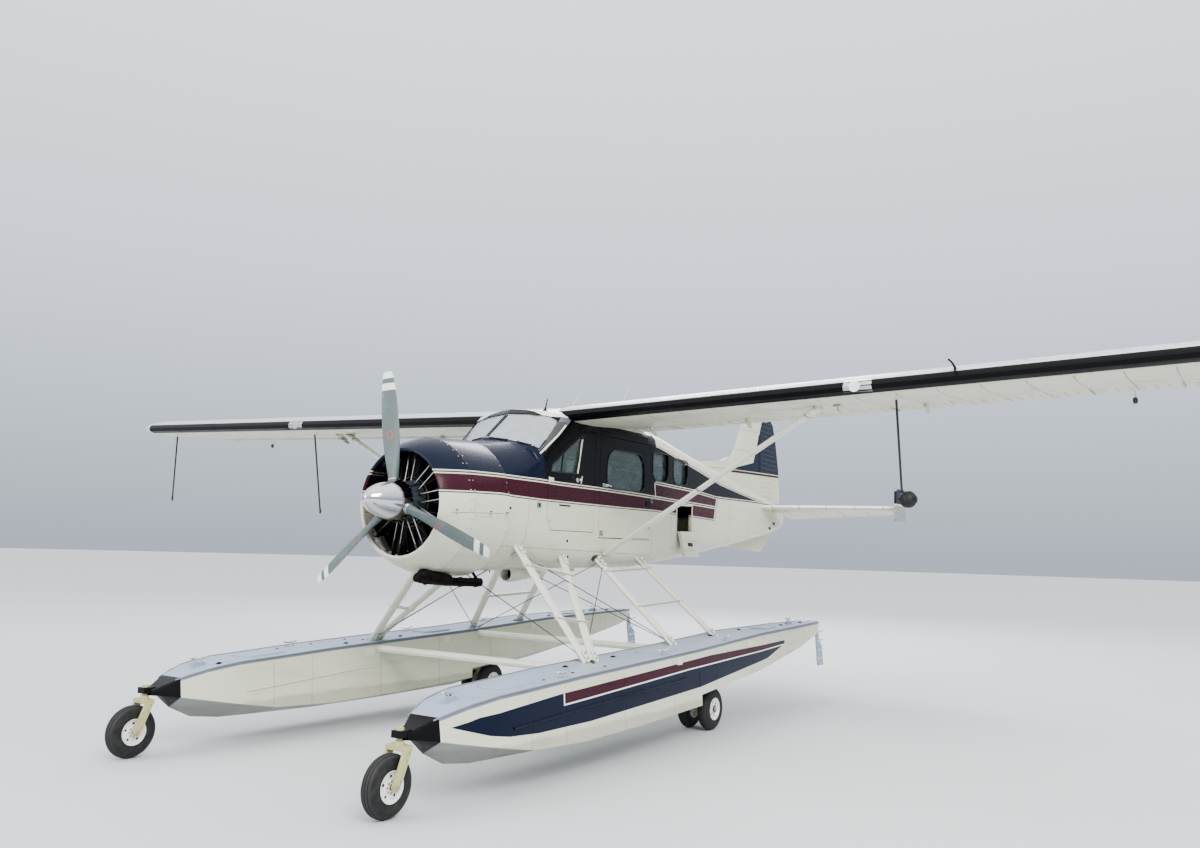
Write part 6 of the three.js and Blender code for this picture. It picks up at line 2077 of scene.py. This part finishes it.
@dataclass
class Tail:
    """What is fixed to the tail: stiffening beads and small fittings."""

    fittings: Stations = ((-8.10, 0.10), (-7.90, 0.02))
    plate: tuple[float, float] = (-7.42, 0.33)

    def build(self, beads: Beads) -> None:
        """Makes the pieces."""
        self._rudder(beads)
        self._elevator(beads)
        skin, shape = Skin("tail_cone"), Shape()
        for side in Side:
            for spot, out, _ in skin.beside(side, self.fittings):
                shape.using(0).block(spot + out * 0.004, (1, 0, 0.2), out, (0.085, 0.035, 0.012))
            for spot, out, _ in skin.beside(side, [self.plate]):
                shape.using(1).block(spot + out * 0.003, AHEAD, out, (0.10, 0.10, 0.008))
        shape.piece("tail_fittings", "airframe", [Finishes.dark_steel, Finishes.cream], 0.001,
                    slot="cream_paint")

    @staticmethod
    def _rudder(beads: Beads) -> None:
        """Makes the beads that run across the rudder. Each stops one station short of the trailing edge."""
        skin = Skin("rudder")
        stations = [-8.17 - 0.075 * j for j in range(11)]
        lines = []
        for k in range(17):
            path = [(x, 0.56 + 0.075 * k + 0.01 * (x + 8.2)) for x in stations]
            lines += [lifted(skin.beside(side, path)[:-1], 0.0004) for side in Side]
        beads.place("rudder_beads", "rudder_body", [line for line in lines if len(line) > 3], 0.0085,
                    Finishes.fin, 6)

    @staticmethod
    def _elevator(beads: Beads) -> None:
        """Makes the beads that run across both halves of the elevator, above and below."""
        skin = Skin("elevator")
        lines = []
        for y in (side.value * (0.50 + 0.115 * k) for k in range(15) for side in Side):
            path = [(-8.10 - 0.07 * j, y) for j in range(8)]
            lines += [lifted(seats[:-1], 0.0004) for seats in (skin.above(path), skin.below(path))]
        beads.place("elevator_beads", "elevator_body", [line for line in lines if len(line) > 2], 0.0062,
                    Finishes.tailplane, 6)


@dataclass
class Floats:
    """What is fixed to the floats: deck hatches, cleats, caps, edge beads, strakes, plates and rivets."""

    centre: float = 1.535
    # x, half width, height
    deck: tuple[Place, ...] = (
        (1.335, 0.050, -1.725), (1.245, 0.076, -1.688), (1.12, 0.141, -1.631), (0.9, 0.217, -1.568),
        (0.6, 0.271, -1.521), (0.2, 0.280, -1.501), (-0.5, 0.292, -1.463), (-1.5, 0.292, -1.426),
        (-2.65, 0.287, -1.386), (-4.2, 0.272, -1.31), (-5.6, 0.200, -1.288), (-6.4, 0.118, -1.284),
        (-6.64, 0.060, -1.284))
    # x, length, width
    hatches: tuple[Place, ...] = ((0.18, 0.46, 0.30), (-2.25, 0.42, 0.30), (-4.9, 0.40, 0.22))
    hatch_sides: int = 36
    caps: Place = (0.72, -0.82, -1.62, -2.86, -3.70, -4.45, -5.45, -6.1)
    # x, distance outward of the float's middle
    cleats: Stations = ((0.85, 0.0), (-0.35, 0.20), (-2.05, 0.20), (-3.45, 0.20), (-5.7, 0.0))
    studs: Stations = ((-0.14, 0.14), (-0.57, 0.135), (-1.05, 0.155), (-1.145, -0.03))
    # x, z
    inner_strake: Stations = ((0.541, -1.787), (-0.079, -1.744), (-0.718, -1.70), (-1.439, -1.664),
                              (-2.5, -1.63))
    outer_strake: Stations = ((0.45, -1.775), (-0.5, -1.725), (-1.5, -1.68), (-2.5, -1.64))
    bulkheads: Place = (0.62, 0.02, -0.62, -1.28, -1.94, -2.62, -3.5, -4.2, -4.95, -5.7)

    def at(self, x: float, column: int) -> float:
        """One column of the deck's table at x: 1 for the half width, 2 for the height."""
        for ahead, behind in zip(self.deck, self.deck[1:]):
            if ahead[0] >= x >= behind[0]:
                share = (ahead[0] - x) / (ahead[0] - behind[0])
                return ahead[column] + (behind[column] - ahead[column]) * share
        return self.deck[-1][column]

    def build(self, rows: Rows, beads: Beads) -> None:
        """Makes the pieces of both floats."""
        for side in Side:
            skin = Skin(f"float_{side.word}")
            self._hatches(rows, skin, side)
            self._cleats(skin, side)
            self._edges(beads, side)
            self._strakes(beads, skin, side)
            self._plates(skin, side)
            self._rivets(rows, skin, side)

    def _on(self, skin: Skin, side: Side, x: float, across: float) -> tuple[Vector, Vector]:
        """A point on the deck.

        Args:
            skin: The float's skin.
            side: The float's side.
            x: How far ahead it is.
            across: How far outward of the float's middle.

        Returns:
            The point and the way that the deck faces there.
        """
        y = side.value * (self.centre + across)
        missed = (Vector((x, y, self.at(x, 2))), Vector(UP), AHEAD)
        spot, out, _ = (skin.above([(x, y)]) or [missed])[0]
        return spot, out

    def _hatches(self, rows: Rows, skin: Skin, side: Side) -> None:
        """Makes the hatches with their screws and knobs, and the pump-out caps."""
        shape, screws, count = Shape(), [], self.hatch_sides
        knob = [(0.007, 0.0), (0.007, 0.024), (0.014, 0.020), (0.014, 0.0)]
        cap = [(-0.002, 0.0), (-0.002, 0.030), (0.004, 0.028), (0.006, 0.018), (0.012, 0.014), (0.013, 0.0)]
        for x, length, width in self.hatches:
            ring = []
            for turn in (2 * math.pi * k / count for k in range(count)):
                cx, cy = (math.copysign(abs(c) ** 0.35, c) for c in (math.cos(turn), math.sin(turn)))
                ring.append(self._on(skin, side, x + length / 2 * cx, width / 2 * cy))
            foot, wall, top = ([spot + out * lift for spot, out in ring] for lift in (-0.002, 0.005, 0.008))
            middle, up = self._on(skin, side, x, 0.0)
            inner = [middle + up * 0.008 + (spot - middle) * 0.955 for spot in top]
            crown = [middle + up * 0.011 + (spot - middle) * 0.5 for spot in top]
            shape.using(0).loft([foot, wall, inner, crown, [middle + up * 0.012] * count], False)
            screws += [(middle + up * 0.007 + (spot - middle) * 0.975, up, AHEAD) for spot in top[::3]]
            for end in (-1, 1):
                shape.using(1).turned(knob, *self._on(skin, side, x + end * length * 0.28, 0.0), 20)
        for x in self.caps:
            shape.turned(cap, *self._on(skin, side, x, -0.12 if x > -5 else 0.0), 20)
        shape.piece(f"float_hatches_{side.word}", "airframe", [Finishes.deck, Finishes.black],
                    slot="cream_paint")
        rows.place(f"float_hatch_screws_{side.word}", "airframe", screws,
                   rivet(0.0055, 0.0045, 0.0015, 0.0022, 8), Finishes.steel)

    def _cleats(self, skin: Skin, side: Side) -> None:
        """Makes the horn cleats with their screws, and the studs between them."""
        shape, along = Shape(), Vector(AHEAD)
        screw = [(0.0, 0.0050), (0.003, 0.0046), (0.004, 0.0)]
        for x, across in self.cleats:
            base, up = self._on(skin, side, x, across)
            shape.using(0).block(base + up * 0.003, along, up, (0.11, 0.034, 0.007))
            for end in (-1, 1):
                foot, head = base + along * 0.024 * end, base + along * 0.020 * end + up * 0.034
                shape.rod(foot, head, 0.008, 12)
            horn = [base + along * (-0.085 + 0.017 * k) + up * (0.036 + 0.012 * (abs(k - 5) / 5) ** 2)
                    for k in range(11)]
            shape.tube(horn, 0.0085, 12).using(1)
            for end, over in ((-1, -1), (-1, 1), (1, -1), (1, 1)):
                spot = base + along * 0.043 * end + Vector((0, 0.010 * over, 0)) + up * 0.006
                shape.turned(screw, spot, up, 8)
        stud_wall = [(-0.001, 0.0), (-0.001, 0.017), (0.004, 0.015), (0.008, 0.007), (0.009, 0.0)]
        for x, across in self.studs:
            shape.using(1).turned(stud_wall, *self._on(skin, side, x, across), 16)
        shape.piece(f"float_cleats_{side.word}", "airframe", [Finishes.aluminium, Finishes.dark_steel],
                    0.0008, slot="polished_metal")

    def _edges(self, beads: Beads, side: Side) -> None:
        """Makes the beads along both edges of the deck."""
        stations = [1.16 - 7.6 * k / 51 for k in range(52)]
        lines = [[side.at(x, self.centre + edge * (self.at(x, 1) + 0.005), self.at(x, 2) + 0.001)
                  for x in stations] for edge in (-1, 1)]
        beads.place(f"float_deck_edges_{side.word}", "airframe", lines, 0.0065, Finishes.rail)

    def _strakes(self, beads: Beads, skin: Skin, side: Side) -> None:
        """Makes the strakes along the inner and outer sides."""
        lines = [lifted(skin.beside(Side(face * side.value), stepped(path, 6)), 0.001)
                 for face, path in ((-1, self.inner_strake), (1, self.outer_strake))]
        beads.place(f"float_strakes_{side.word}", "airframe", lines, 0.0125, Finishes.hull)

    def _plates(self, skin: Skin, side: Side) -> None:
        """Makes the plate on the inner side and the small ones under the deck's edges."""
        inner, shape = Side(-side.value), Shape()
        for spot, out, _ in skin.beside(inner, [(-0.99, -1.532)]):
            shape.block(spot + out * 0.002, AHEAD, out, (0.13, 0.082, 0.006))
        path = [(x, self.at(x, 2) - 0.075) for x in (-2.2, -3.9)]
        for spot, out, _ in skin.beside(inner, path) + skin.beside(side, path):
            shape.block(spot + out * 0.002, AHEAD, out, (0.10, 0.06, 0.005))
        shape.piece(f"float_side_plates_{side.word}", "airframe", [Finishes.strut], 0.001, slot="cream_paint")

    def _rivets(self, rows: Rows, skin: Skin, side: Side) -> None:
        """Makes rivet rows round the bulkheads and along the rail."""
        seats = []
        bulkheads = [(x, self.at(x, 2) - 0.045 - 0.032 * k) for x in self.bulkheads for k in range(18)]
        rail = [(x, self.at(x, 2) - 0.044) for x in (0.95 - 0.056 * k for k in range(130))]
        for face in (Side(-side.value), side):
            seats += sunk(skin.beside(face, bulkheads), 1, 0.6) + sunk(skin.beside(face, rail), 1, 0.5)
        deck = [self._on(skin, side, x, across) for x in self.bulkheads
                for across in (-0.25 + 0.5 * k / 12 for k in range(13)) if abs(across) < self.at(x, 1) - 0.02]
        seats += sunk([(spot, out, AHEAD) for spot, out in deck])
        rows.place(f"float_rivets_{side.word}", "airframe", seats, rivet(0.0046, 0.004, 0.0007, 0.0012, 7),
                   Finishes.hull)


@dataclass
class Struts:
    """The fittings of the float struts and wing struts, the step plates and the brace wires."""

    # head, foot
    front: tuple[tuple[Place, Place], ...] = (
        ((-1.160, 0.529, -0.360), (-1.186, 1.418, -1.462)),
        ((-1.877, 0.590, -0.470), (-1.244, 1.455, -1.462)))
    rear: tuple[tuple[Place, Place], ...] = (
        ((-2.462, 0.628, -0.480), (-2.849, 1.430, -1.410)),
        ((-3.350, 0.595, -0.450), (-3.800, 1.448, -1.370)))
    # start, end, whether the end is on the other side
    wires: tuple[tuple[Place, Place, bool], ...] = (
        ((-1.17, 0.62, -0.47), (-2.83, 1.38, -1.36), False),
        ((-2.50, 0.70, -0.56), (-1.21, 1.37, -1.385), False),
        ((-2.90, 1.36, -1.375), (-2.46, 0.66, -0.54), True),
        ((-1.185, 1.36, -1.40), (-1.14, 0.57, -0.44), True))
    cuff_chord: float = 0.135
    cuff_thickness: float = 0.052

    def build(self, rows: Rows) -> None:
        """Makes the pieces of both sides."""
        for side in Side:
            self._fittings(rows, side)
            self._steps(side)
            self._cuffs(side)
        self._wires()

    def _fittings(self, rows: Rows, side: Side) -> None:
        """Makes the forked feet and heads of the float struts, with their bolts."""
        shape, bolts = Shape(), []
        for head, foot in self.front + self.rear:
            top, low = side.at(*head), side.at(*foot)
            way = (low - top).normalized()
            across = (Vector(AHEAD) - way * way.x).normalized()
            out = way.cross(across).normalized()
            for end, run in ((low, -way), (top, way)):
                for face in (-1, 1):
                    shape.using(0).block(end + run * 0.075 + out * 0.031 * face, run, out * face,
                                         (0.13, 0.062, 0.006))
                    bolts += [(end + run * step + out * 0.034 * face, out * face, UP)
                              for step in (0.050, 0.105)]
                shape.using(1).block(end - run * 0.004, across, out, (0.135, 0.036, 0.058))
        shape.piece(f"strut_fittings_{side.word}", "airframe", [Finishes.strut, Finishes.dark_steel], 0.0015,
                    slot="engine_metal")
        bolt = stud([(0.0, 0.0115), (0.003, 0.0115), (0.003, 0.0078), (0.010, 0.0078), (0.0115, 0.006),
                     (0.0115, 0.0)], 6)
        rows.place(f"strut_bolts_{side.word}", "airframe", bolts, bolt, Finishes.steel)

    def _steps(self, side: Side) -> None:
        """Makes the step treads between the struts, with open slots."""
        shape = Shape()
        for pair, shares in ((self.front, (0.20, 0.64)), (self.rear, (0.16, 0.55))):
            for share in shares:
                start, stop = (side.at(*(a + (b - a) * share for a, b in zip(*strut))) for strut in pair)
                along, length = (stop - start).normalized(), (stop - start).length
                for lift in (Vector((0, side.value * (-0.030 + 0.016 * k), 0.016)) for k in range(5)):
                    shape.rod(start - along * 0.065 + lift, stop + along * 0.065 + lift, 0.0052, 8)
                count = max(3, round(length / 0.09))
                for reach in (0.07 + (length - 0.14) * k / (count - 1) for k in range(count)):
                    shape.block(start + along * reach + Vector((0, 0, 0.014)), (0, side.value, 0), UP,
                                (0.082, 0.010, 0.006))
        shape.piece(f"step_treads_{side.word}", "airframe", [Finishes.strut], 0.0006, slot="engine_metal")

    def _cuffs(self, side: Side) -> None:
        """Makes the cuffs at both ends of the wing strut and the band round its middle."""
        low, high = side.at(-2.58, 0.56, -0.515), side.at(-2.34, 3.235, 1.015)
        way = (high - low).normalized()
        chord, thick = self.cuff_chord, self.cuff_thickness
        shape = Shape()
        for start, run, size in ((low, way, 1.10), (high, -way, 1.08)):
            edge = start + run * 0.14
            shape.using(0).strut(start + run * 0.03, edge, chord * size, thick * (size + 0.06))
            shape.using(1).strut(edge, start + run * 0.150, chord * size * 1.02, thick * (size + 0.10))
        middle = low + way * (high - low).length * 0.5
        shape.strut(middle - way * 0.01, middle + way * 0.01, 0.137, 0.054)
        shape.piece(f"wing_strut_cuffs_{side.word}", "airframe", [Finishes.strut, Finishes.rail], 0.001,
                    slot="cream_paint")

    def _wires(self) -> None:
        """Makes the brace wires that cross between the struts, with their turnbuckles and end forks."""
        shape = Shape()
        for side in Side:
            for first, last, crosses in self.wires:
                start, end = side.at(*first), (Side(-side.value) if crosses else side).at(*last)
                way = (end - start).normalized()
                shape.using(0).rod(start, end, 0.0042, 10)
                for spot, run in ((start, way), (end, -way)):
                    shape.using(1).rod(spot, spot + run * 0.085, 0.0085, 12)
                    shape.rod(spot + run * 0.085, spot + run * 0.20, 0.0068, 10, 0.0048)
                    shape.block(spot - run * 0.01, run, UP, (0.060, 0.020, 0.016))
        shape.piece("brace_wires", "airframe", [Finishes.dark_steel, Finishes.steel], slot="engine_metal")


@dataclass
class Gear:
    """The tyres and hubs of the wheels, and what is fixed to the forks and legs."""

    track: float = 1.535
    bow_axle: tuple[float, float] = (1.465, -2.065)
    main_axle: tuple[float, float] = (-3.230, -2.062)
    main_spread: float = 0.122
    # half width, radius, rim radius
    bow_tyre: Place = (0.0545, 0.222, 0.108)
    main_tyre: Place = (0.0590, 0.225, 0.113)
    crown: float = 0.0225
    grooves: tuple[float, float] = (0.56, 0.20)
    groove_depth: float = 0.0060
    fork_face: float = 0.094
    # x, z
    stem_bolts: Stations = ((1.352, -1.845), (1.372, -1.90), (1.425, -2.025))
    fork_edges: tuple[Stations, ...] = (
        ((1.389, -1.812), (1.425, -1.896), (1.460, -1.980), (1.488, -2.050)),
        ((1.327, -1.812), (1.362, -1.895), (1.398, -1.985), (1.428, -2.058)))
    # from the axle: x, distance from the leg's middle, height
    hose: tuple[Place, ...] = (
        (-0.018, 0.050, 0.06), (-0.030, 0.054, 0.14), (-0.026, 0.052, 0.22), (-0.010, 0.050, 0.275))

    def build(self, rows: Rows) -> None:
        """Makes the pieces of both sides."""
        for side in Side:
            self._bow_wheel(rows, side)
            self._bow_fork(rows, side)
            self._main_wheels(rows, side)
            self._main_leg(rows, side)

    def _tyre(self, centre: Vector, half: float, radius: float, rim: float) -> Shape:
        """A tyre with four grooves round its tread.

        Args:
            centre: The wheel's middle.
            half: Half of its width.
            radius: Its radius.
            rim: The radius of its bead.

        Returns:
            The tyre's shape.
        """
        # share of the half width, radius
        wall = [(0.80, rim - 0.004), (0.93, rim + 0.002), (1.0, rim + 0.018), (1.0, rim + 0.042),
                (0.965, rim + 0.062), (0.90, rim + 0.079), (0.80, radius - self.crown)]
        for groove in self.grooves:
            for offset, depth in ((0.055, 0.0), (0.038, self.groove_depth), (-0.038, self.groove_depth),
                                  (-0.055, 0.0)):
                place = groove + offset
                wall.append((place, radius - self.crown * (place / 0.80) ** 2.4 - depth))
        profile = [(-a * half, r) for a, r in wall] + [(a * half, r) for a, r in reversed(wall)]
        shape, axle = Shape(), Vector((0, 1, 0))
        rings = [shape.circle(centre + axle * y, axle, r, 80) for y, r in profile]
        return shape.loft(rings + [rings[0]], False)

    @staticmethod
    def _discs(shape: Shape, centre: Vector, half: float, rim: float, holes: int) -> None:
        """Adds a wheel's two dished discs with their lips, and dark discs of painted shade that stand for the
        holes in them.

        Args:
            shape: The shape they go into.
            centre: The wheel's middle.
            half: Half of its width.
            rim: The rim's radius.
            holes: How many holes each disc has.
        """
        dish = half * 0.66
        disc = [(0.002, rim - 0.006), (half * 0.84, rim - 0.004), (half * 0.93, rim + 0.002),
                (half * 0.99, rim + 0.004), (half, rim - 0.001), (half * 0.90, rim - 0.008),
                (dish, rim - 0.016), (dish, 0.052), (half * 0.80, 0.046), (half * 0.86, 0.032),
                (half * 0.86, 0.0)]
        # Each hole is a dark disc just proud of the dish: painted shade where the opening is.
        hole = [(-0.002, 0.0), (-0.002, 0.0105), (0.0006, 0.0105), (0.0006, 0.0)]
        cap = [(half * 0.86, 0.020), (half * 0.90, 0.019), (half * 0.91, 0.0)]
        for face in (-1, 1):
            way = Vector((0, face, 0))
            shape.using(0).turned(disc, centre, way, 64).using(1)
            for turn in (2 * math.pi * (k + 0.25) / holes for k in range(holes)):
                spot = centre + Vector((math.cos(turn) * 0.073, face * dish, math.sin(turn) * 0.073))
                shape.turned(hole, spot, way, 16)
            shape.turned(cap, centre, way, 20)

    @staticmethod
    def _nuts(centre: Vector, radius: float, face: int, reach: float) -> list[Seat]:
        """Seats for eight nuts round an axle, on one face of a hub."""
        way = Vector((0, face, 0))
        turns = [2 * math.pi * k / 8 for k in range(8)]
        return [(centre + Vector((math.cos(t) * radius, 0, math.sin(t) * radius)) + way * reach, way, UP)
                for t in turns]

    @staticmethod
    def _hub(rows: Rows, shape: Shape, names: tuple[str, str], body: str, nuts: list[Seat]) -> None:
        """Makes the pieces of a hub and its nuts.

        Args:
            rows: The tree that sets out the nuts.
            shape: The hub.
            names: The two pieces' names.
            body: The body they ride on.
            nuts: The nuts' seats.
        """
        shape.piece(names[0], body, [Finishes.rim, Finishes.dark_steel], slot="polished_metal")
        nut = stud([(0.0, 0.0085), (0.007, 0.0085), (0.008, 0.006), (0.008, 0.0)], 6)
        rows.place(names[1], body, nuts, nut, Finishes.steel)

    def _bow_wheel(self, rows: Rows, side: Side) -> None:
        """Makes the bow wheel's tyre, which stands for the CAD wheel, and its hub with the nuts and valve."""
        x, z = self.bow_axle
        centre, body = side.at(x, self.track, z), f"bow_wheel_body_{side.word}"
        half, radius, rim = self.bow_tyre
        tyre = self._tyre(centre, half, radius, rim)
        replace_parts(tyre.piece(f"bow_tyre_{side.word}", body, [Finishes.bow_tyre], slot="tyre"),
                    f"bow_wheel_{side.word}")
        hub = Shape()
        self._discs(hub, centre, half, rim, 5)
        hub.using(1).rod(centre + Vector((0.082, side.value * 0.030, 0.02)),
                         centre + Vector((0.086, side.value * 0.052, 0.022)), 0.0035, 10)
        nuts = [seat for face in (-1, 1) for seat in self._nuts(centre, 0.040, face, 0.044)]
        self._hub(rows, hub, (f"bow_hub_{side.word}", f"bow_hub_nuts_{side.word}"), body, nuts)

    def _bow_fork(self, rows: Rows, side: Side) -> None:
        """Makes the fork's collar, edge beads, axle caps and bolts."""
        x, z = self.bow_axle
        body, fork, bolts = f"bow_caster_{side.word}", Shape(), []
        fork.turned([(-1.801, 0.040), (-1.794, 0.040), (-1.790, 0.034), (-1.772, 0.033), (-1.770, 0.0)],
                    side.at(1.362, self.track, 0.0), UP, 26)
        for face in (-1, 1):
            way = Vector((0, face, 0))
            outer = side.at(x, self.track, z) + way * 0.093
            fork.turned([(0.0, 0.024), (0.006, 0.024), (0.007, 0.0)], outer, way, 24)
            fork.using(1).turned([(0.007, 0.0155), (0.018, 0.0150), (0.019, 0.0)], outer, way, 6).using(0)
            for edge in self.fork_edges:
                fork.tube([side.at(px, self.track, pz) + way * self.fork_face for px, pz in edge], 0.0058, 8)
            bolts += [(side.at(px, self.track, pz) + way * 0.0925, way, UP) for px, pz in self.stem_bolts]
        fork.piece(f"bow_fork_fittings_{side.word}", body, [Finishes.olive, Finishes.steel], 0.0008,
                   slot="polished_metal")
        bolt = stud([(0.0, 0.0075), (0.005, 0.0075), (0.006, 0.0)], 6)
        rows.place(f"bow_fork_bolts_{side.word}", body, bolts, bolt, Finishes.steel)

    def _main_wheels(self, rows: Rows, side: Side) -> None:
        """Makes the two main wheels' tyres and hubs. The outer tyre stands for the CAD wheels."""
        x, z = self.main_axle
        axle, body = side.at(x, self.track, z), f"main_wheels_body_{side.word}"
        half, radius, rim = self.main_tyre
        reach = Vector((0, 0.180, 0))
        nuts, hub = [], Shape().using(1).rod(axle - reach, axle + reach, 0.0315, 24)
        for face in (-1, 1):
            centre = axle + Vector((0, face * self.main_spread, 0))
            nuts += self._nuts(centre, 0.042, face, 0.047)
            self._discs(hub, centre, half, rim, 6)
            end = "outer" if face == side.value else "inner"
            tyre = self._tyre(centre, half, radius, rim)
            made = tyre.piece(f"main_tyre_{end}_{side.word}", body, [Finishes.main_tyre], slot="tyre")
            if end == "outer":
                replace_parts(made, f"main_wheels_{side.word}")
        self._hub(rows, hub, (f"main_hubs_{side.word}", f"main_hub_nuts_{side.word}"), body, nuts)

    def _main_leg(self, rows: Rows, side: Side) -> None:
        """Makes the leg's axle nuts, bolts and hoses."""
        x, z = self.main_axle
        centre, leg, bolts = side.at(x, self.track, z), Shape(), []
        nut = [(0.182, 0.026), (0.188, 0.026), (0.192, 0.020), (0.192, 0.0)]
        for face in (-1, 1):
            way = (0, face, 0)
            leg.using(0).turned(nut, centre, way, 6)
            leg.using(1).tube([centre + Vector((px, face * py, pz)) for px, py, pz in self.hose], 0.0055, 8)
            bolts += [(centre + Vector((-0.03 + 0.03 * k, face * 0.045, 0.18 + 0.03 * k)), way, UP)
                      for k in range(3)]
        leg.piece(f"main_leg_fittings_{side.word}", "airframe", [Finishes.steel, Finishes.black], 0.0008,
                  slot="polished_metal")
        bolt = stud([(0.0, 0.0085), (0.006, 0.0085), (0.007, 0.0)], 6)
        rows.place(f"main_leg_bolts_{side.word}", "airframe", bolts, bolt, Finishes.steel)


@dataclass
class WaterRudders:
    """What is fixed to the water rudders: their ribs and bolts."""

    track: float = 1.535
    ribs: Place = (-1.44, -1.56, -1.68, -1.80)
    # x, z
    bolts: Stations = ((-6.72, -1.40), (-6.72, -1.48), (-6.78, -1.44))

    def build(self, rows: Rows) -> None:
        """Makes the pieces of both rudders."""
        bolt = stud([(0.0, 0.007), (0.005, 0.007), (0.006, 0.0)], 6)
        for side in Side:
            body, shape, seats = f"water_rudder_body_{side.word}", Shape(), []
            for way in (Vector((0, -1, 0)), Vector((0, 1, 0))):
                for z in self.ribs:
                    shape.block(side.at(-6.83, self.track, z) + way * 0.0085, (1, 0, -0.06), way,
                                (0.22, 0.016, 0.005))
                seats += [(side.at(x, self.track, z) + way * 0.011, way, UP) for x, z in self.bolts]
            shape.piece(f"water_rudder_ribs_{side.word}", body, [Finishes.aluminium], 0.001,
                        slot="polished_metal")
            rows.place(f"water_rudder_bolts_{side.word}", body, seats, bolt, Finishes.steel)


def main() -> None:
    """Builds the scene: the studio, the cords, the CAD nodes' finishes and every piece."""
    logging.basicConfig(level=logging.INFO, format="%(message)s")
    Studio().build()
    HandRopes().build()
    Carried().dress()
    rows, beads = Rows(), Beads()
    Propeller().build(rows)
    Engine().build(rows, beads)
    Cowling().build(rows, beads)
    Cabin().build()
    Fuselage().build(rows, beads)
    Wings().build(rows, beads)
    Tail().build(beads)
    Floats().build(rows, beads)
    Struts().build(rows)
    Gear().build(rows)
    WaterRudders().build(rows)


if __name__ == "__main__":
    main()
